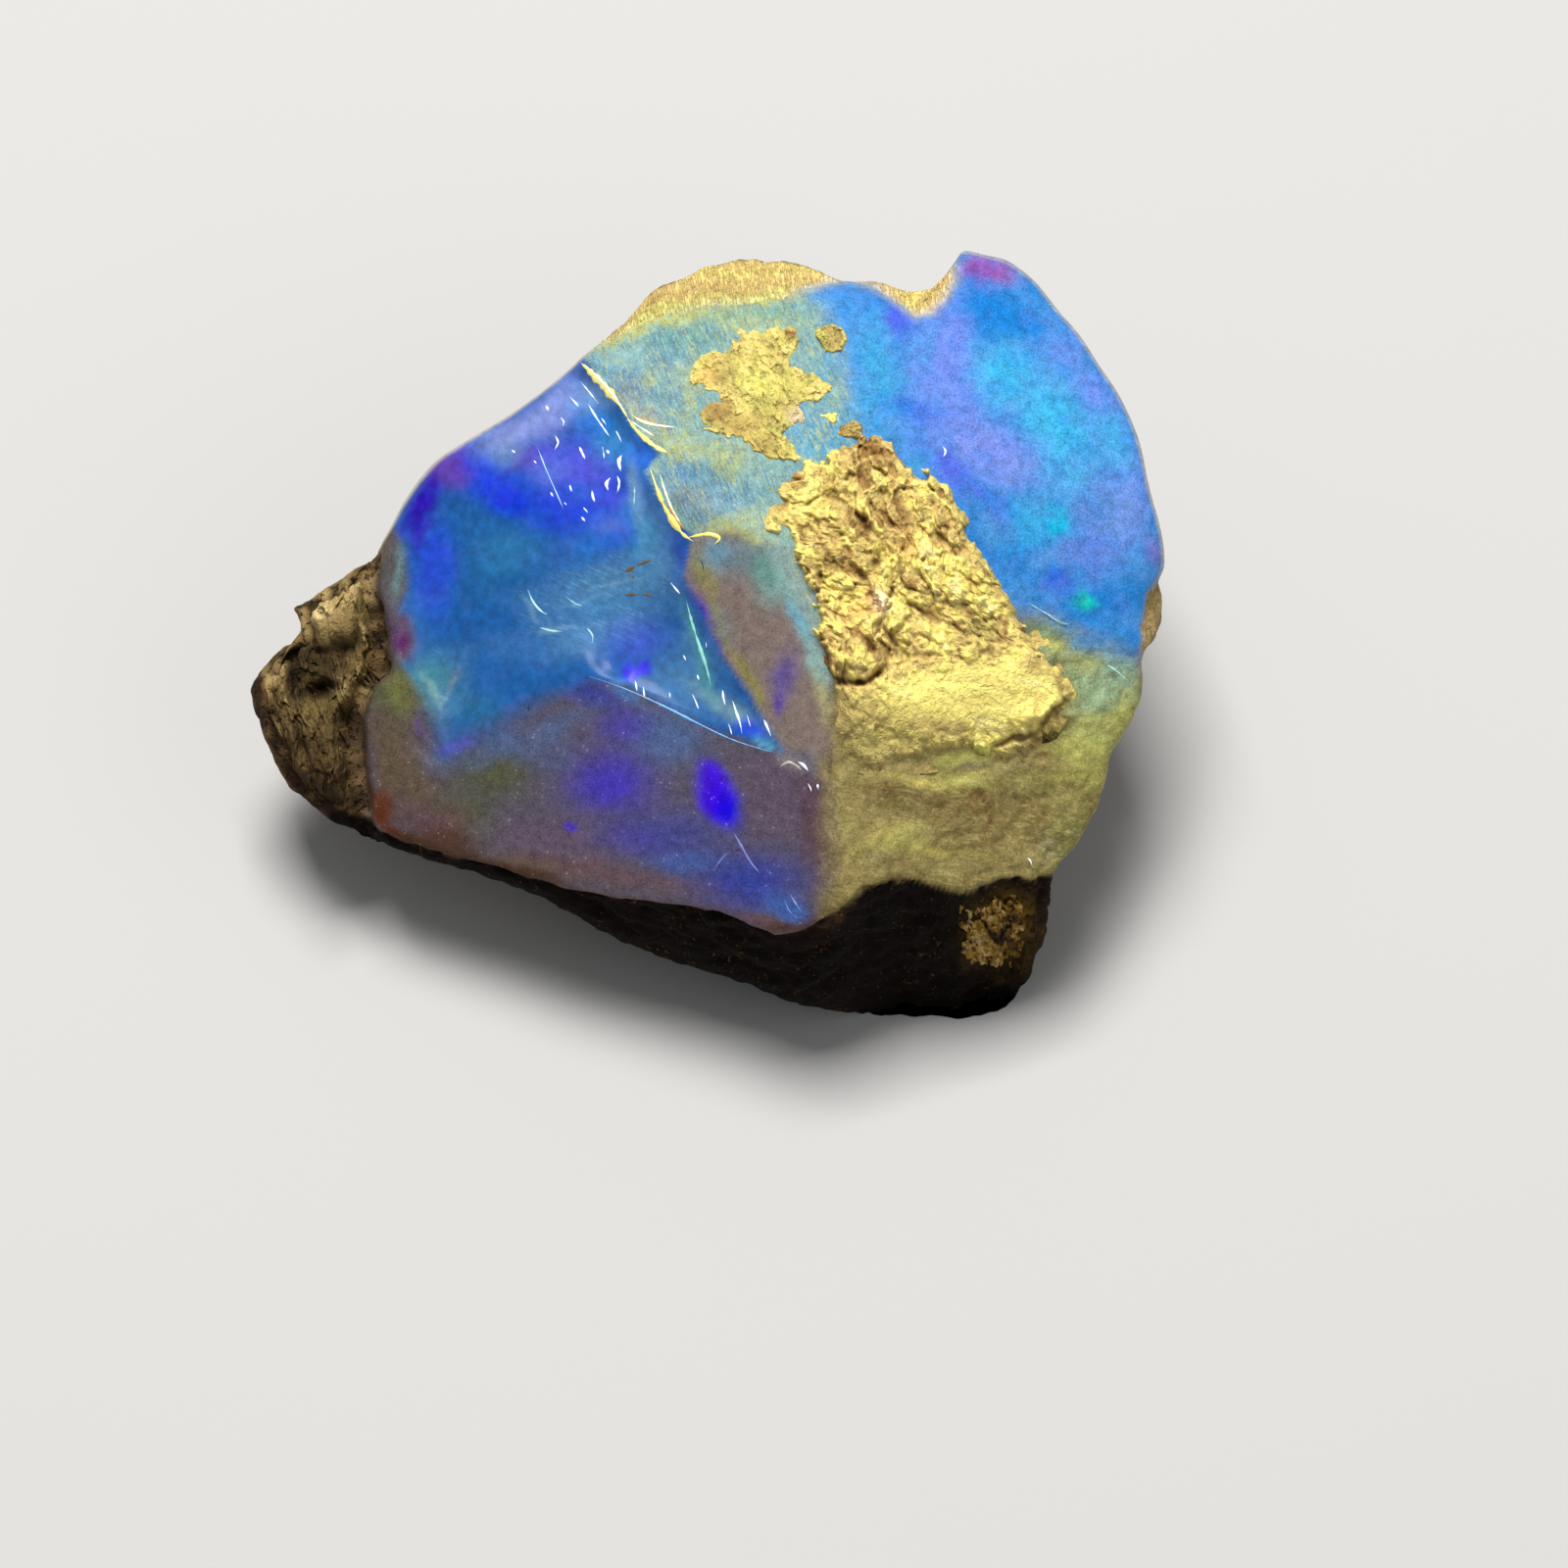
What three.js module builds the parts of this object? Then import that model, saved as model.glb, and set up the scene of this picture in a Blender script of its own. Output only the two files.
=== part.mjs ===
// A rough opal: a single nodule, broken open at the front so that its glassy inside shows, with
// crumbly host rock left on its edges, its back and part of its front. It lies on its flat underside.
//
// All lengths are millimetres, and +Z is up. The shape is worked out on a sheet laid against the
// broken front: "across" runs to the right, "up" runs up the front, and a height says how far the
// stone stands out of the sheet there, towards whoever looks at it. The front and the back are each
// such a height over the same outline. The sheet is then tipped back until the underside is level.

import * as THREE from 'three';
import { mergeGeometries, mergeVertices } from 'three/addons/utils/BufferGeometryUtils.js';

const FRONT_TILT = THREE.MathUtils.degToRad(25); // how far the front leans back from level
const REST_DEPTH = 6.3; // the level underside lies this far below the middle of the sheet
const GRID_CELLS = 48; // cells along each side of the front's net, and of the back's
const WELD_DISTANCE = 1e-4;
const CALM_REACH = 0.045; // the part of a turn on either side that the calmer inner rings average
const CALM_SAMPLES = 8;
const CALM_FADE = 8; // how late, towards the edge, the rings take up its notches

// The edge of the stone as seen square on to its front, counter-clockwise from the right.
// Each point is across, up, and the radius with which the front rolls over the edge there.
const OUTLINE = [
  // the right-hand lump of host rock, then the domed right side
  [10.9, -0.5, 0.4], [11.2, -0.1, 0.4], [11.4, 0.4, 0.4], [11.4, 1.0, 0.4], [11.3, 1.4, 0.3],
  [11.4, 1.8, 0.3], [11.3, 2.6, 0.3], [11.0, 3.7, 0.3], [10.75, 4.85, 0.3], [10.3, 5.9, 0.3],
  [9.75, 6.75, 0.3], [9.3, 7.45, 0.3], [8.75, 8.1, 0.3], [8.2, 8.8, 0.3], [7.55, 9.3, 0.3],
  // the horn at the top, the notch beside it, and the rounded top edge
  [7.0, 9.45, 0.3], [6.45, 9.55, 0.3], [6.2, 9.3, 0.4], [5.9, 8.95, 0.6], [5.6, 8.65, 0.9],
  [5.05, 8.65, 1.1], [4.4, 8.8, 1.2], [3.55, 8.9, 1.3], [2.7, 9.2, 1.4], [1.95, 9.4, 1.5],
  [1.1, 9.5, 1.5], [0.25, 9.35, 1.4], [-0.6, 9.0, 1.2], [-1.4, 8.55, 1.0], [-1.9, 7.9, 0.7],
  // the sharp upper left edge, where the scoop runs out
  [-2.45, 7.35, 0.4], [-3.15, 6.75, 0.3], [-3.95, 6.1, 0.3], [-4.9, 5.45, 0.3], [-6.05, 4.8, 0.35],
  [-6.8, 4.3, 0.4], [-7.45, 3.5, 0.5], [-7.95, 2.6, 0.5], [-8.35, 2.05, 0.4],
  // the bark-like lump on the left, in two lobes with a notch between them
  [-9.1, 1.55, 0.5], [-9.85, 1.05, 0.5], [-10.35, 0.75, 0.4], [-10.2, 0.2, 0.4], [-10.7, -0.3, 0.4],
  [-11.45, -1.05, 0.5], [-11.45, -1.75, 0.5], [-11.05, -2.65, 0.5], [-10.65, -3.55, 0.5],
  [-10.15, -4.15, 0.5], [-9.2, -4.8, 0.5],
  // the foot of the lower wall
  [-8.1, -5.25, 0.4], [-6.9, -5.65, 0.4], [-5.4, -6.1, 0.4], [-3.95, -6.7, 0.5], [-2.5, -7.5, 0.5],
  [-1.0, -8.15, 0.6], [0.75, -8.7, 0.6], [2.45, -9.3, 0.6], [3.95, -9.6, 0.7], [5.4, -9.7, 0.7],
  [6.65, -9.65, 0.6], [7.65, -9.35, 0.5], [8.3, -8.35, 0.4], [8.6, -7.4, 0.4], [8.7, -6.5, 0.4],
  // the smooth lower right side
  [8.75, -5.85, 0.3], [9.3, -5.2, 0.4], [9.75, -4.4, 0.5], [10.0, -3.65, 0.5], [10.2, -2.85, 0.5],
  [10.7, -2.05, 0.5], [10.9, -1.25, 0.5],
];

// The lower rim, where the front ends and the rough wall under it begins, from left to right.
const LOWER_RIM = [
  [-8.6, -4.6], [-8.2, -4.9], [-7.0, -5.3], [-5.2, -5.8], [-3.7, -6.3], [-1.8, -6.6], [0.3, -6.9],
  [1.8, -7.5], [2.4, -7.4], [3.0, -7.1], [3.6, -6.8], [4.0, -6.3], [4.7, -6.1], [5.6, -6.3],
  [6.4, -6.5], [7.5, -6.1], [8.3, -6.2], [8.8, -5.9],
];
const WALL_STEEPNESS = 1.67; // how fast the wall falls away below the rim
const RIM_SOFTNESS = 0.45;

// The edges of the big shell-shaped scoop: its stepped lip with the ridge below it, then the
// arris that parts it from the frosted facet.
const SCOOP_LIP = [
  [-3.4, 7.6], [-2.9, 6.7], [-2.3, 6.0], [-1.8, 5.2], [-1.1, 4.4], [-1.4, 4.0], [-0.9, 3.0],
  [-0.3, 2.4],
];
const SCOOP_RIDGE = [[-0.3, 2.4], [-0.5, 1.4], [0.3, -0.3], [1.0, -1.3], [2.0, -2.9]];
const SCOOP_ARRIS = [
  [2.0, -2.9], [0.5, -2.4], [-0.7, -1.8], [-1.9, -1.2], [-2.9, -1.1], [-4.0, -1.6], [-5.3, -2.3],
  [-6.5, -2.9], [-6.7, -2.1], [-7.15, -1.25], [-7.5, -0.75], [-7.9, -0.4], [-8.6, -0.2],
];
const SCOOP_FAR_CORNERS = [[-13.0, 3.0], [-6.0, 10.0]];
const SCOOP_AREA = [...SCOOP_LIP, ...SCOOP_RIDGE, ...SCOOP_ARRIS, ...SCOOP_FAR_CORNERS];
const SCOOP_DEPTH = 1.5;
const SCOOP_REACH = 1.7; // how far in from each of its edges the scoop reaches its depth
const LIP_STEP = 0.3;
const LIP_WIDTH = 0.4;
const GENTLE_ARRIS = 0.8; // how far the middle of the arris is worn round
const CREASE_SOFTNESS = 0.12;
const SHELL_SOFTNESS = 2.5; // how much softer the creases are where the scoop crosses them

// The groove between the opal and the left lump, from top to bottom, as up and across.
const LEFT_GROOVE = [
  [-4.4, -8.6], [-3.1, -8.7], [-2.1, -8.8], [-1.2, -8.4], [-0.9, -8.0], [0.1, -8.1], [1.1, -8.4],
  [2.1, -8.3],
];
const GROOVE_DEPTH = 0.45;
const GROOVE_WIDTH = 0.35;

// Rounded rises (or hollows, with a height below nought): across, up, half width, half length, height.
const LEFT_LOBES = [
  [-9.3, 0.6, 0.9, 1.0, 0.75],
  [-10.9, -1.8, 0.6, 1.5, 0.85],
  [-9.5, -3.0, 0.8, 1.1, 0.75],
  [-9.0, -1.3, 0.4, 0.5, 0.25],
];
const FRONT_SWELLS = [
  [11.5, 0.6, 0.55, 0.95, -0.9], // the brown lump on the right lies lower than the dome
  [0.5, 3.4, 1.1, 0.8, -0.22], // a shallow dish beside the lip
  [5.3, 8.5, 0.9, 0.6, -0.45], // the bevelled notch by the horn
  [8.4, -2.0, 0.9, 0.25, 0.18], // the small ledge on the smooth side
  [8.3, -2.45, 0.9, 0.2, -0.15], // and the crack below it
];

// The crumbly patches that stand proud of the opal, each by its own border and thickness.
const CRUST_PATCHES = [
  {
    thickness: 0.48,
    border: [
      [0.9, 2.9], [1.7, 3.5], [2.4, 4.2], [3.2, 4.6], [4.3, 4.8], [5.0, 4.4], [5.9, 3.8],
      [6.5, 2.9], [7.0, 1.9], [7.6, 0.8], [8.3, 0.1], [8.4, -0.6], [9.1, -1.4], [8.7, -2.2],
      [7.8, -2.6], [6.4, -2.6], [5.0, -2.7], [3.8, -2.6], [3.4, -2.0], [3.1, -1.2], [2.8, -0.3],
      [2.6, 1.0], [2.2, 2.0], [1.3, 2.5],
    ],
  },
  {
    thickness: 0.14,
    border: [
      [-0.3, 7.1], [1.0, 7.5], [2.0, 7.6], [3.0, 7.7], [3.5, 6.9], [3.2, 6.3], [2.8, 5.8],
      [2.3, 5.0], [2.1, 4.2], [1.4, 4.6], [0.5, 5.0], [-0.2, 5.3], [0.0, 6.1], [-0.4, 6.5],
    ],
  },
  {
    thickness: 0.08,
    border: [
      [-2.9, 6.8], [-1.9, 7.5], [-0.5, 8.0], [1.5, 8.4], [2.9, 8.6], [4.5, 8.4], [5.1, 8.0],
      [5.6, 8.0], [6.1, 8.9], [5.0, 10.5], [1.0, 11.0], [-3.0, 9.0],
    ],
  },
];
const CRUST_EDGE_WIDTH = 0.35;
const CRUST_LUMP_SIZE = 1.3;
const CRUST_LUMP_HEIGHT = 0.34;
const OPAL_WAVE_SIZE = 3.0;
const OPAL_WAVE_HEIGHT = 0.10;

const BACK_LUMP_SIZE = 2.8;
const BACK_LUMP_HEIGHT = 0.75;
const BACK_CORNER_SOFTNESS = 2.2;
const EDGE_SQUARENESS = 24; // how upright the sides stand where the back meets the outline
const LEAST_THICKNESS = 0.5; // between the front's edge and the back behind it

// Small tools

function clamp01(value) {
  return Math.min(Math.max(value, 0), 1);
}

// 0 below the start, 1 past the end, and a smooth S between them.
function ramp(start, end, value) {
  const t = clamp01((value - start) / (end - start));
  return t * t * (3 - 2 * t);
}

// The lower of two values, with the corner between them rounded over the given softness.
function softMin(a, b, softness) {
  const near = Math.max(softness - Math.abs(a - b), 0) / softness;
  return Math.min(a, b) - (near * near * softness) / 4;
}

function softMax(a, b, softness) {
  return -softMin(-a, -b, softness);
}

// The value of a line of [position, value] points at a position, level past both its ends.
function alongLine(points, position) {
  const last = points.length - 1;
  if (position <= points[0][0]) return points[0][1];
  if (position >= points[last][0]) return points[last][1];
  const next = points.findIndex(([start]) => start > position);
  const [x0, y0] = points[next - 1];
  const [x1, y1] = points[next];
  return y0 + ((position - x0) / (x1 - x0)) * (y1 - y0);
}

// How far a place is from each straight stretch of a line of points.
function stretchDistances(points, across, up) {
  return points.slice(1).map(([x1, y1], i) => {
    const [x0, y0] = points[i];
    const [dx, dy] = [x1 - x0, y1 - y0];
    const t = clamp01(((across - x0) * dx + (up - y0) * dy) / (dx * dx + dy * dy));
    return Math.hypot(across - x0 - t * dx, up - y0 - t * dy);
  });
}

// How far a place is from the nearest point of a line of points.
function distanceToLine(points, across, up) {
  return Math.min(...stretchDistances(points, across, up));
}

// The same without the creases that the line's corners cast: each stretch adds its distance to
// the power of -6, and the sum is taken to the power of -1/6.
function calmDistance(points, across, up) {
  const powers = stretchDistances(points, across, up).map((away) => Math.max(away, 1e-4) ** -6);
  return powers.reduce((sum, power) => sum + power, 0) ** (-1 / 6);
}

function isInside(border, across, up) {
  let inside = false;
  border.forEach(([x1, y1], i) => {
    const [x0, y0] = border[(i + border.length - 1) % border.length];
    const crosses = y1 > up !== y0 > up && across < x1 + ((up - y1) / (y0 - y1)) * (x0 - x1);
    if (crosses) inside = !inside;
  });
  return inside;
}

// A fixed value from 0 to 1 for each point of a lattice of whole numbers.
function latticeValue(i, j, k) {
  const mixed = Math.sin(i * 127.1 + j * 311.7 + k * 74.7) * 43758.5453;
  return mixed - Math.floor(mixed);
}

// Smooth lumps from -0.5 to 0.5, blended between the eight lattice points around a place.
function lumps(size, x, y, z) {
  const place = [x / size, y / size, z / size];
  const cell = place.map(Math.floor);
  const [fx, fy, fz] = place.map((p, n) => ramp(0, 1, p - cell[n]));
  let total = 0;
  for (let corner = 0; corner < 8; corner++) {
    const [i, j, k] = [corner & 1, (corner >> 1) & 1, corner >> 2];
    const weight = (i ? fx : 1 - fx) * (j ? fy : 1 - fy) * (k ? fz : 1 - fz);
    total += weight * latticeValue(cell[0] + i, cell[1] + j, cell[2] + k);
  }
  return total - 0.5;
}

// The sum of a list of rounded rises at a place.
function swells(list, across, up) {
  return list.reduce((sum, [x, y, halfWidth, halfLength, height]) => {
    const reach = ((across - x) / halfWidth) ** 2 + ((up - y) / halfLength) ** 2;
    return sum + height * Math.exp(-reach);
  }, 0);
}

// The front

// The dome of the nodule, fullest in the middle of the right half.
function dome(across, up) {
  const [x, y] = [across - 3.92, up - 3.19];
  return 5.1 - 0.12 * x - 0.22 * y - 0.03 * (x * x + y * y);
}

// The smooth side that falls away to the lower right.
function smoothSide(across, up) {
  return 5.0 - 0.372 * (across - 3.19) + 0.2147 * (up + 1.23);
}

// The brown strip between the scoop and the crumbly patch.
function brownStrip(across, up) {
  return 4.9 + 0.3 * (across + 0.37) + 0.26 * (up - 2.5);
}

// The frosted facet at the lower left.
function frostedFacet(across, up) {
  return 4.365 + 0.33 * across + 0.281 * up;
}

function crust(across, up) {
  return CRUST_PATCHES.reduce((most, { thickness, border }) => {
    const distance = distanceToLine([...border, border[0]], across, up);
    const inward = isInside(border, across, up) ? distance : -distance;
    const cover = ramp(-CRUST_EDGE_WIDTH, CRUST_EDGE_WIDTH, inward);
    const relief = 0.5 + lumps(CRUST_LUMP_SIZE, across, up, 7) * (CRUST_LUMP_HEIGHT / thickness);
    return Math.max(most, cover * thickness * relief * 1.4);
  }, 0);
}

// The broken front without the left lump and the lower wall. The scoop is one smooth shell: its
// depth grows with the distance from each of its three edges, and these shares are multiplied.
function openedFace(across, up) {
  const inScoop = isInside(SCOOP_AREA, across, up);
  const lines = [SCOOP_LIP, SCOOP_RIDGE, SCOOP_ARRIS];
  const [toLip, toRidge, toArris] = lines.map((line) => (inScoop ? calmDistance(line, across, up) : 0));
  const gentle = GENTLE_ARRIS * ramp(-2.2, -3.6, across) * ramp(-6.5, -5.4, across);
  const ways = [toLip, toRidge, Math.hypot(toArris, gentle) - gentle];
  const shell = ways.reduce((share, way) => share * (1 - Math.exp(-way / SCOOP_REACH)), 1);
  const softness = CREASE_SOFTNESS + SHELL_SOFTNESS * shell;
  const skin = softMin(dome(across, up), smoothSide(across, up), 1.4);
  const cuts = softMin(brownStrip(across, up), frostedFacet(across, up), softness);
  const step = ramp(0, LIP_WIDTH, toLip) * Math.exp(-toLip / SCOOP_REACH) * Math.min(8 * shell, 1);
  const waves = OPAL_WAVE_HEIGHT * lumps(OPAL_WAVE_SIZE, across, up, 0) * (1 - Math.min(2 * shell, 1));
  const height = softMin(skin, cuts, softness) - SCOOP_DEPTH * shell - LIP_STEP * step + waves;
  return height + swells(FRONT_SWELLS, across, up) + crust(across, up);
}

function leftLump(across, up) {
  const body = 0.1 + 0.22 * (across + 9.5) + swells(LEFT_LOBES, across, up);
  return body + 0.35 * lumps(CRUST_LUMP_SIZE, across, up, 3);
}

function faceHeight(across, up) {
  const groove = alongLine(LEFT_GROOVE, up);
  const share = ramp(groove - GROOVE_WIDTH, groove + GROOVE_WIDTH, across);
  const height = THREE.MathUtils.lerp(leftLump(across, up), openedFace(across, up), share);
  return height - GROOVE_DEPTH * Math.exp(-(((across - groove) / GROOVE_WIDTH) ** 2));
}

// The whole front: the face down to the lower rim, and the wall that falls away under it.
function frontHeight(across, up) {
  const overRim = up - alongLine(LOWER_RIM, across);
  const drop = softMin(overRim, 0, RIM_SOFTNESS);
  const wallLumps = 0.5 * lumps(CRUST_LUMP_SIZE, across, up, 5) * ramp(0, -0.6, overRim);
  return faceHeight(across, up - drop) + WALL_STEEPNESS * drop + wallLumps;
}

// How far the front has rolled down at a distance in from the edge, for a rounding radius.
function edgeRoll(distance, radius) {
  const short = Math.max(radius - distance, 0);
  return radius - Math.sqrt(radius * radius - short * short);
}

// The back

// The level underside, on which the stone rests.
function restingHeight(up) {
  return (-REST_DEPTH - Math.sin(FRONT_TILT) * up) / Math.cos(FRONT_TILT);
}

// The back is the hollow between these sloping sides, with its corners well rounded.
function backHeight(across, up) {
  const farLeft = -0.64 * across + 0.77 * up;
  const nearLeft = -0.38 * across - 0.92 * up;
  const sides = [
    restingHeight(up) - 0.35, // a little lower, so that the underside stays level between its pits
    -6.48 - 0.57 * (across + 4) - 0.466 * (up + 1),
    1.5 + 2.35 * (up - 9.6),
    1.5 + 2.8 * (across - 11.4),
    0.5 + 2.2 * (farLeft - 7.71),
    -0.5 + 1.46 * (nearLeft - 7.75),
  ];
  const hollow = sides.reduce((a, b) => softMax(a, b, BACK_CORNER_SOFTNESS));
  const rough = lumps(BACK_LUMP_SIZE, across, up, 11) + 0.4 * lumps(1.2, across, up, 13);
  return Math.max(hollow + BACK_LUMP_HEIGHT * rough, restingHeight(up));
}

// The net that carries the heights

// Turns a place on a square net into its ring (0 in the middle, 1 on the edge) and its turn
// (0 to 1, counter-clockwise from the right), so that the square's border becomes the last ring.
function ringAndTurn(x, y) {
  const ring = Math.max(Math.abs(x), Math.abs(y));
  if (ring === 0) return [0, 0];
  let eighths = 8;
  if (x === ring) eighths = y / ring;
  else if (y === ring) eighths = 2 - x / ring;
  else if (x === -ring) eighths = 4 - y / ring;
  else eighths = 6 + x / ring;
  return [ring, ((eighths + 8) % 8) / 8];
}

const edgeCurve = new THREE.CatmullRomCurve3(
  OUTLINE.map((point) => new THREE.Vector3(...point)), true, 'catmullrom', 0.5,
);

// The edge with its notches averaged away, which the inner rings follow so that no notch draws a
// line right across the stone.
function calmEdge(turn) {
  const total = new THREE.Vector3();
  for (let i = -CALM_SAMPLES; i <= CALM_SAMPLES; i++) {
    total.add(edgeCurve.getPoint((turn + 1 + (i / CALM_SAMPLES) * CALM_REACH) % 1));
  }
  return total.divideScalar(2 * CALM_SAMPLES + 1);
}

// Where a ring crosses a turn: the last ring is the edge itself, the inner ones are calmer.
function placeOnSheet(scale, turn, edge) {
  const spot = calmEdge(turn).lerp(edge, scale ** CALM_FADE).multiplyScalar(scale);
  return [spot.x, spot.y];
}

// Front: rings crowd together near the edge, where the surface rolls over.
function placeFront(x, y) {
  const [ring, turn] = ringAndTurn(x, y);
  const edge = edgeCurve.getPoint(turn);
  const scale = ring * (1.25 - 0.25 * ring * ring);
  const [across, up] = placeOnSheet(scale, turn, edge);
  const toEdge = (1 - scale) * Math.hypot(edge.x, edge.y);
  return [across, up, frontHeight(across, up) - edgeRoll(toEdge, edge.z)];
}

// Back: it starts from the front's own edge, so that the two nets share their last ring.
function placeBack(x, y) {
  const [ring, turn] = ringAndTurn(x, y);
  if (ring === 1) return placeFront(x, y);
  const edge = edgeCurve.getPoint(turn);
  const scale = Math.sin((ring * Math.PI) / 2);
  const [across, up] = placeOnSheet(scale, turn, edge);
  const start = frontHeight(edge.x, edge.y) - edgeRoll(0, edge.z);
  const sink = Math.sqrt(1 - scale ** EDGE_SQUARENESS);
  const end = Math.min(backHeight(across, up), start - LEAST_THICKNESS);
  return [across, up, THREE.MathUtils.lerp(start, end, sink)];
}

// A square net of triangles whose points are moved to where the given function places them.
function makeNet(place, facesBack) {
  const net = new THREE.PlaneGeometry(2, 2, GRID_CELLS, GRID_CELLS);
  net.deleteAttribute('normal');
  net.deleteAttribute('uv');
  const points = net.getAttribute('position');
  for (let i = 0; i < points.count; i++) {
    const column = Math.round(((points.getX(i) + 1) * GRID_CELLS) / 2);
    const row = Math.round(((points.getY(i) + 1) * GRID_CELLS) / 2);
    points.setXYZ(i, ...place((2 * column) / GRID_CELLS - 1, (2 * row) / GRID_CELLS - 1));
  }
  if (facesBack) {
    const corners = net.getIndex();
    for (let i = 0; i < corners.count; i += 3) {
      const second = corners.getX(i + 1);
      corners.setX(i + 1, corners.getX(i + 2));
      corners.setX(i + 2, second);
    }
  }
  return net;
}

// Front and back welded along the outline, tipped so that the underside is level at Z = 0, and
// centred over the origin.
function makeStoneGeometry() {
  const nets = [makeNet(placeFront, false), makeNet(placeBack, true)];
  const solid = mergeVertices(mergeGeometries(nets), WELD_DISTANCE);
  solid.rotateX(FRONT_TILT);
  solid.computeBoundingBox();
  const middle = solid.boundingBox.getCenter(new THREE.Vector3());
  solid.translate(-middle.x, -middle.y, REST_DEPTH);
  const points = solid.getAttribute('position');
  for (let i = 0; i < points.count; i++) {
    points.setZ(i, points.getZ(i) < 0.002 ? 0 : points.getZ(i));
  }
  solid.computeVertexNormals();
  return solid;
}

function makeStone() {
  const material = new THREE.MeshStandardMaterial({ color: 0x6fa3c4, roughness: 0.4, metalness: 0 });
  const stone = new THREE.Mesh(makeStoneGeometry(), material);
  stone.name = 'opal_nodule';
  return stone;
}

const roughOpal = new THREE.Group();
roughOpal.name = 'rough_opal';
roughOpal.add(makeStone());

export default roughOpal;
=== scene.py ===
"""A rough opal nodule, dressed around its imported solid.

The stone is worked out on a sheet laid against its broken front, in millimetres: "across" runs to
the right, "up" runs up the front, and a height says how far the stone stands out of the sheet. The
sheet is tipped back until the underside is level, and only then are the points put into metres.
"""

import logging
import math
from dataclasses import astuple, dataclass, fields
from enum import Enum
from typing import Any, Iterator, Sequence

import bpy
import numpy as np
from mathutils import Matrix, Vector
from mathutils.geometry import convex_hull_2d


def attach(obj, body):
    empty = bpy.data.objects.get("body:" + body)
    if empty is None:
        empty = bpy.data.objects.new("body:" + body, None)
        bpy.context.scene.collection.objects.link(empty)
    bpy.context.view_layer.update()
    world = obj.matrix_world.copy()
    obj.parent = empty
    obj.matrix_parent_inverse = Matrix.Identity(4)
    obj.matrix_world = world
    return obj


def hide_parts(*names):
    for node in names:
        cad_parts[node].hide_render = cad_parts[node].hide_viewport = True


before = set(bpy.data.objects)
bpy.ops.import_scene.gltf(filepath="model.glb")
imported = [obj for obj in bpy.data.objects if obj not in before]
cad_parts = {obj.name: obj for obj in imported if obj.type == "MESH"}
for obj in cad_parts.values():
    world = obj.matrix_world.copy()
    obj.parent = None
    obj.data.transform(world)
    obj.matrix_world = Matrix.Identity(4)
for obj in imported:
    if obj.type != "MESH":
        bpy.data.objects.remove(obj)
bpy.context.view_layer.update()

NODE = "opal_nodule"
MM = 0.001
LOG = logging.getLogger("rough_opal")

Array = np.ndarray
Points = Sequence[tuple[float, float]]


# Small tools on whole arrays


def ramp(start: float, end: float, value: Array) -> Array:
    """0 below the start, 1 past the end, and a smooth S (3t^2 - 2t^3) between them."""
    t = np.clip((value - start) / (end - start), 0.0, 1.0)
    return t * t * (3.0 - 2.0 * t)


def soft_min(a: Array, b: Array, softness: Array | float) -> Array:
    """The lower of two heights, with the corner between them rounded over the softness.

    Args:
        a: The first height.
        b: The second height.
        softness: How far apart the heights may be and still be rounded together.

    Returns:
        The lower height, less a quarter of the softness times their nearness squared.
    """
    near = np.maximum(softness - np.abs(a - b), 0.0) / softness
    return np.minimum(a, b) - near * near * softness / 4.0


def soft_max(a: Array, b: Array, softness: Array | float) -> Array:
    """The higher of two heights, rounded as soft_min rounds the lower one."""
    return -soft_min(-a, -b, softness)


def stretch_distances(points: Points, across: Array, up: Array) -> list[Array]:
    """How far each place is from each straight stretch of a line.

    Args:
        points: The line's points.
        across: The places' first coordinates.
        up: The places' second coordinates.

    Returns:
        One array for each stretch, the distance to the foot of the perpendicular on it.
    """
    distances = []
    for (x0, y0), (x1, y1) in zip(points, points[1:]):
        dx, dy = x1 - x0, y1 - y0
        length = max(dx * dx + dy * dy, 1e-12)
        t = np.clip(((across - x0) * dx + (up - y0) * dy) / length, 0.0, 1.0)
        distances.append(np.hypot(across - x0 - t * dx, up - y0 - t * dy))
    return distances


def distance_to_line(points: Points, across: Array, up: Array) -> Array:
    """The distance to the nearest stretch of a line."""
    return np.minimum.reduce(stretch_distances(points, across, up))


def calm_distance(points: Points, across: Array, up: Array) -> Array:
    """The distance to a line without the creases that its corners cast.

    Each stretch adds its distance to the power of -6, and the sum is taken to the power of -1/6.
    """
    distances = stretch_distances(points, across, up)
    return sum(np.maximum(distance, 1e-4) ** -6.0 for distance in distances) ** (-1.0 / 6.0)


def is_inside(border: Points, across: Array, up: Array) -> Array:
    """Whether each place is inside a border, by how often a line to its right crosses it.

    Args:
        border: The border's corners in order.
        across: The places' first coordinates.
        up: Their second ones.

    Returns:
        True inside it, False outside.
    """
    inside = np.zeros(np.shape(across), bool)
    for (x0, y0), (x1, y1) in zip(border, [*border[1:], border[0]]):
        if y0 == y1:
            continue
        crosses = ((y1 > up) != (y0 > up)) & (across < x1 + (up - y1) / (y0 - y1) * (x0 - x1))
        inside ^= crosses
    return inside


def inward(border: Points, across: Array, up: Array) -> Array:
    """The distance to a border, above nought inside it and below nought outside."""
    distance = distance_to_line([*border, border[0]], across, up)
    return np.where(is_inside(border, across, up), distance, -distance)


def lattice_value(i: Array, j: Array, k: Array, salt: float = 0.0) -> Array:
    """A fixed value from 0 to 1 for each point of a lattice, the loose end of a large sine."""
    mixed = np.sin(i * 127.1 + j * 311.7 + k * 74.7 + salt * 19.3) * 43758.5453
    return mixed - np.floor(mixed)


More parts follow.
